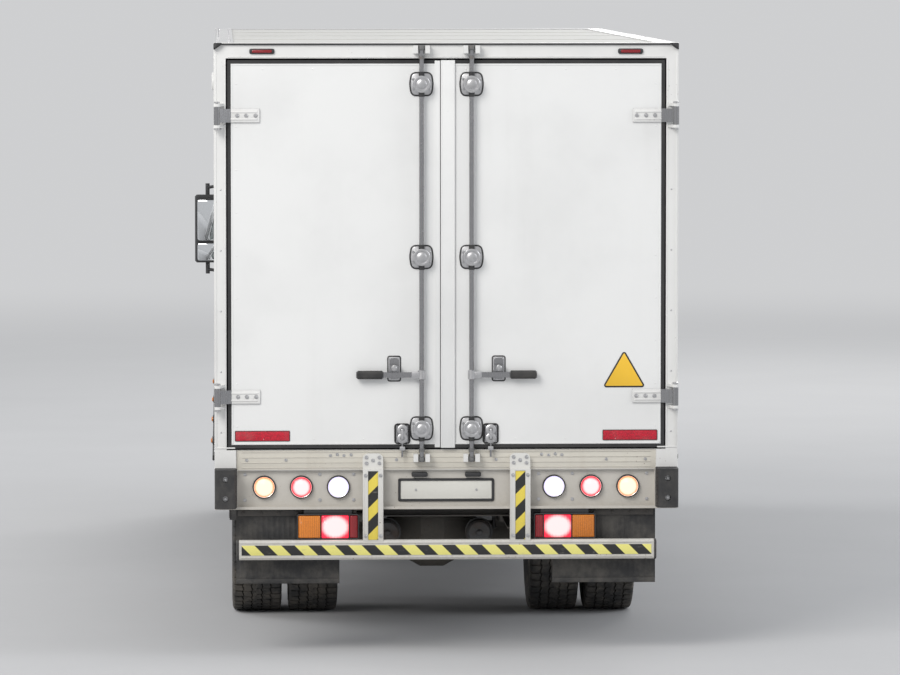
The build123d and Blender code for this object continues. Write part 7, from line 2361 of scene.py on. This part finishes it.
NODE_FINISHES: dict[str, Finish] = {
    "box_right_wall": SIDE_PANEL, "box_left_wall": SIDE_PANEL, "box_roof": SHADED_ROOF_PANEL,
    "box_front_wall": WHITE_PANEL,
    "box_floor": UNDERBODY, "box_deck": ALUMINIUM, "box_trim": ALUMINIUM, "rear_frame": WHITE_STEEL,
    # The lamp panel's finish holds dirt and painted shade.
    "lamp_panel": PANEL_PAINT_DIRT_AND_SHADE, "corner_buffers": BLACK_RUBBER, "rear_lamps": BLACK_PLASTIC,
    "underrun_bar": BAR_PAINT,
    "rear_door_right": WHITE_PANEL, "rear_door_left": WHITE_PANEL, "rear_door_right_seal": SEAL_RUBBER,
    "rear_door_left_seal": SEAL_RUBBER, "rear_door_right_hardware": STAINLESS,
    "rear_door_left_hardware": STAINLESS,
    "fridge_unit": WHITE_STEEL, "evaporator": WHITE_STEEL, "frame_rails": FRAME_PAINT,
    "cross_members": FRAME_PAINT,
    "frame_brackets": FRAME_PAINT, "subframe": UNDERBODY, "engine": CAST_IRON, "radiator": BLACK_PLASTIC,
    "propshaft": FRAME_PAINT, "front_axle": AXLE_CAST, "rear_axle": AXLE_CAST,
    "steering_knuckle_right": CAST_IRON, "steering_knuckle_left": CAST_IRON, "track_rod": FRAME_PAINT,
    "front_tyre_right": TYRE_RUBBER, "front_tyre_left": TYRE_RUBBER, "rear_tyres_right": TYRE_RUBBER,
    "rear_tyres_left": TYRE_RUBBER, "front_rim_right": RIM_PAINT, "front_rim_left": RIM_PAINT,
    "rear_rims_right": RIM_PAINT, "rear_rims_left": RIM_PAINT, "fuel_tank": TANK_METAL,
    "air_tanks": FRAME_PAINT,
    "battery_box": BLACK_PLASTIC, "exhaust_silencer": TANK_METAL, "side_guards": TANK_METAL,
    "mudguards": BLACK_RUBBER, "front_bumper": BLACK_PLASTIC, "headlamps": CLEAR_LENS, "cab_shell": CAB_PAINT,
    "cab_glass": WINDOW, "grille": BLACK_PLASTIC, "mirrors": BLACK_PLASTIC, "dashboard": GREY_PLASTIC,
    "seat_frames": BLACK_PLASTIC, "seats": SEAT_CLOTH, "cab_door_right": CAB_PAINT,
    "cab_door_left": CAB_PAINT,
    "cab_door_right_glass": WINDOW, "cab_door_left_glass": WINDOW,
}


def finish_nodes() -> None:
    """Give every CAD node its finish."""
    for name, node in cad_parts.items():
        material = NODE_FINISHES.get(name, FRAME_PAINT).material()
        if not node.material_slots:
            node.data.materials.append(material)
        for place in node.material_slots:
            place.material = material
    log.info("%d CAD nodes finished", len(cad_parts))


# Stage

@dataclass
class Stage:
    """Floor, light and camera."""

    floor_reach: float = 34.0
    eye: tuple[float, float, float] = (-1.24, REAR - 31.0, 3.9)
    aim: tuple[float, float, float] = (0.02, REAR, 1.79)
    lens: float = 222.0
    roll: float = 0.0

    def floor(self) -> None:
        """Pale round floor that fades into the backdrop towards its edge."""
        made = bpy.data.materials.new("pale_floor")
        made.use_nodes = True
        sheet = Sheet(made.node_tree)
        across, along, _ = sheet.axes(sheet.place())
        far = sheet.math("SQRT", across * across + along * along)
        cloud = sheet.noise(0.8, detail=5.0)
        fine = sheet.noise(24.0, detail=4.0)
        tone = sheet.mix((0.50, 0.50, 0.505), (0.45, 0.45, 0.455), cloud * 0.7 + fine * 0.3)
        matte = sheet.node("ShaderNodeBsdfDiffuse", None, {"Color": tone})
        clear = sheet.node("ShaderNodeBsdfTransparent")
        both = sheet.node("ShaderNodeMixShader", None,
                          {0: far.band(9.0, self.floor_reach - 2.0), 1: matte, 2: clear})
        sheet.node("ShaderNodeOutputMaterial", None, {"Surface": both})
        mesh = bpy.data.meshes.new("floor")
        ring = circle(self.floor_reach, 96)
        mesh.from_pydata(np.column_stack([ring, np.zeros(96)]).tolist(), [], [list(range(96))])
        mesh.materials.append(made)
        floor = bpy.data.objects.new("floor", mesh)
        bpy.context.scene.collection.objects.link(floor)

    def light(self) -> None:
        """Soft even sky with a plain pale backdrop for the camera, and four broad lamps."""
        world = bpy.data.worlds.new("studio")
        world.use_nodes = True
        bpy.context.scene.world = world
        sheet = Sheet(world.node_tree)
        rays = sheet.node("ShaderNodeLightPath").socket.node.outputs
        seen = sheet.most(sheet.most(Wire(sheet, rays["Is Camera Ray"]), Wire(sheet, rays["Is Glossy Ray"])),
                          Wire(sheet, rays["Is Transmission Ray"]))
        sky = sheet.node("ShaderNodeBackground", None, {"Color": (0.93, 0.96, 1.0), "Strength": 0.62})
        backdrop = sheet.node("ShaderNodeBackground", None, {"Color": (0.62, 0.625, 0.635), "Strength": 1.0})
        both = sheet.node("ShaderNodeMixShader", None, {0: seen, 1: sky, 2: backdrop})
        sheet.node("ShaderNodeOutputWorld", None, {"Surface": both})
        for name, place, size, power, tint in (
                ("key", (-9.0, -16.0, 13.0), 9.0, 2300.0, (1.0, 0.98, 0.95)),
                ("fill", (14.0, -6.0, 9.0), 9.0, 1000.0, (0.95, 0.97, 1.0)),
                ("front", (6.0, 18.0, 12.0), 9.0, 1600.0, (1.0, 0.99, 0.97)),
                ("left", (-15.0, 5.0, 9.0), 9.0, 1100.0, (1.0, 1.0, 1.0))):
            data = bpy.data.lights.new(name, "AREA")
            data.size, data.energy, data.color = size, power, tint
            lamp = bpy.data.objects.new(name, data)
            lamp.location = place
            aim = -np.array(place) + (0.0, 0.0, 1.6)
            lamp.rotation_euler = Vector(aim).to_track_quat("-Z", "Y").to_euler()
            bpy.context.scene.collection.objects.link(lamp)

    def camera(self) -> None:
        """Camera at the photograph's viewing angle, behind the truck and a little to its left."""
        data = bpy.data.cameras.new("camera")
        data.lens, data.sensor_width = self.lens, 36.0
        data.clip_start, data.clip_end = 0.5, 400.0
        camera = bpy.data.objects.new("camera", data)
        camera.location = self.eye
        aim = Vector(self.aim) - Vector(self.eye)
        turn = aim.to_track_quat("-Z", "Y").to_euler()
        camera.rotation_euler = turn
        camera.rotation_euler.rotate_axis("Z", math.radians(self.roll))
        bpy.context.scene.collection.objects.link(camera)
        bpy.context.scene.camera = camera

    def build(self) -> None:
        """Set the stage."""
        bpy.context.scene.view_settings.view_transform = "Standard"
        self.floor()
        self.light()
        self.camera()


def main() -> None:
    """Build every sub-assembly in order."""
    logging.basicConfig(level=logging.INFO, format="%(name)s: %(message)s")
    finish_nodes()
    for sign in (1, -1):
        RearDoor(sign).build()
        for front in (True, False):
            Wheel(sign, front).build()
    RearFrame().build()
    TailLamps().build()
    Underrun().build()
    BoxSides().build()
    CoolingUnit().build()
    Interior().build()
    Underbody().build()
    CabOutside().build()
    CabInside().build()
    Stage().build()


if __name__ == "__main__":
    main()
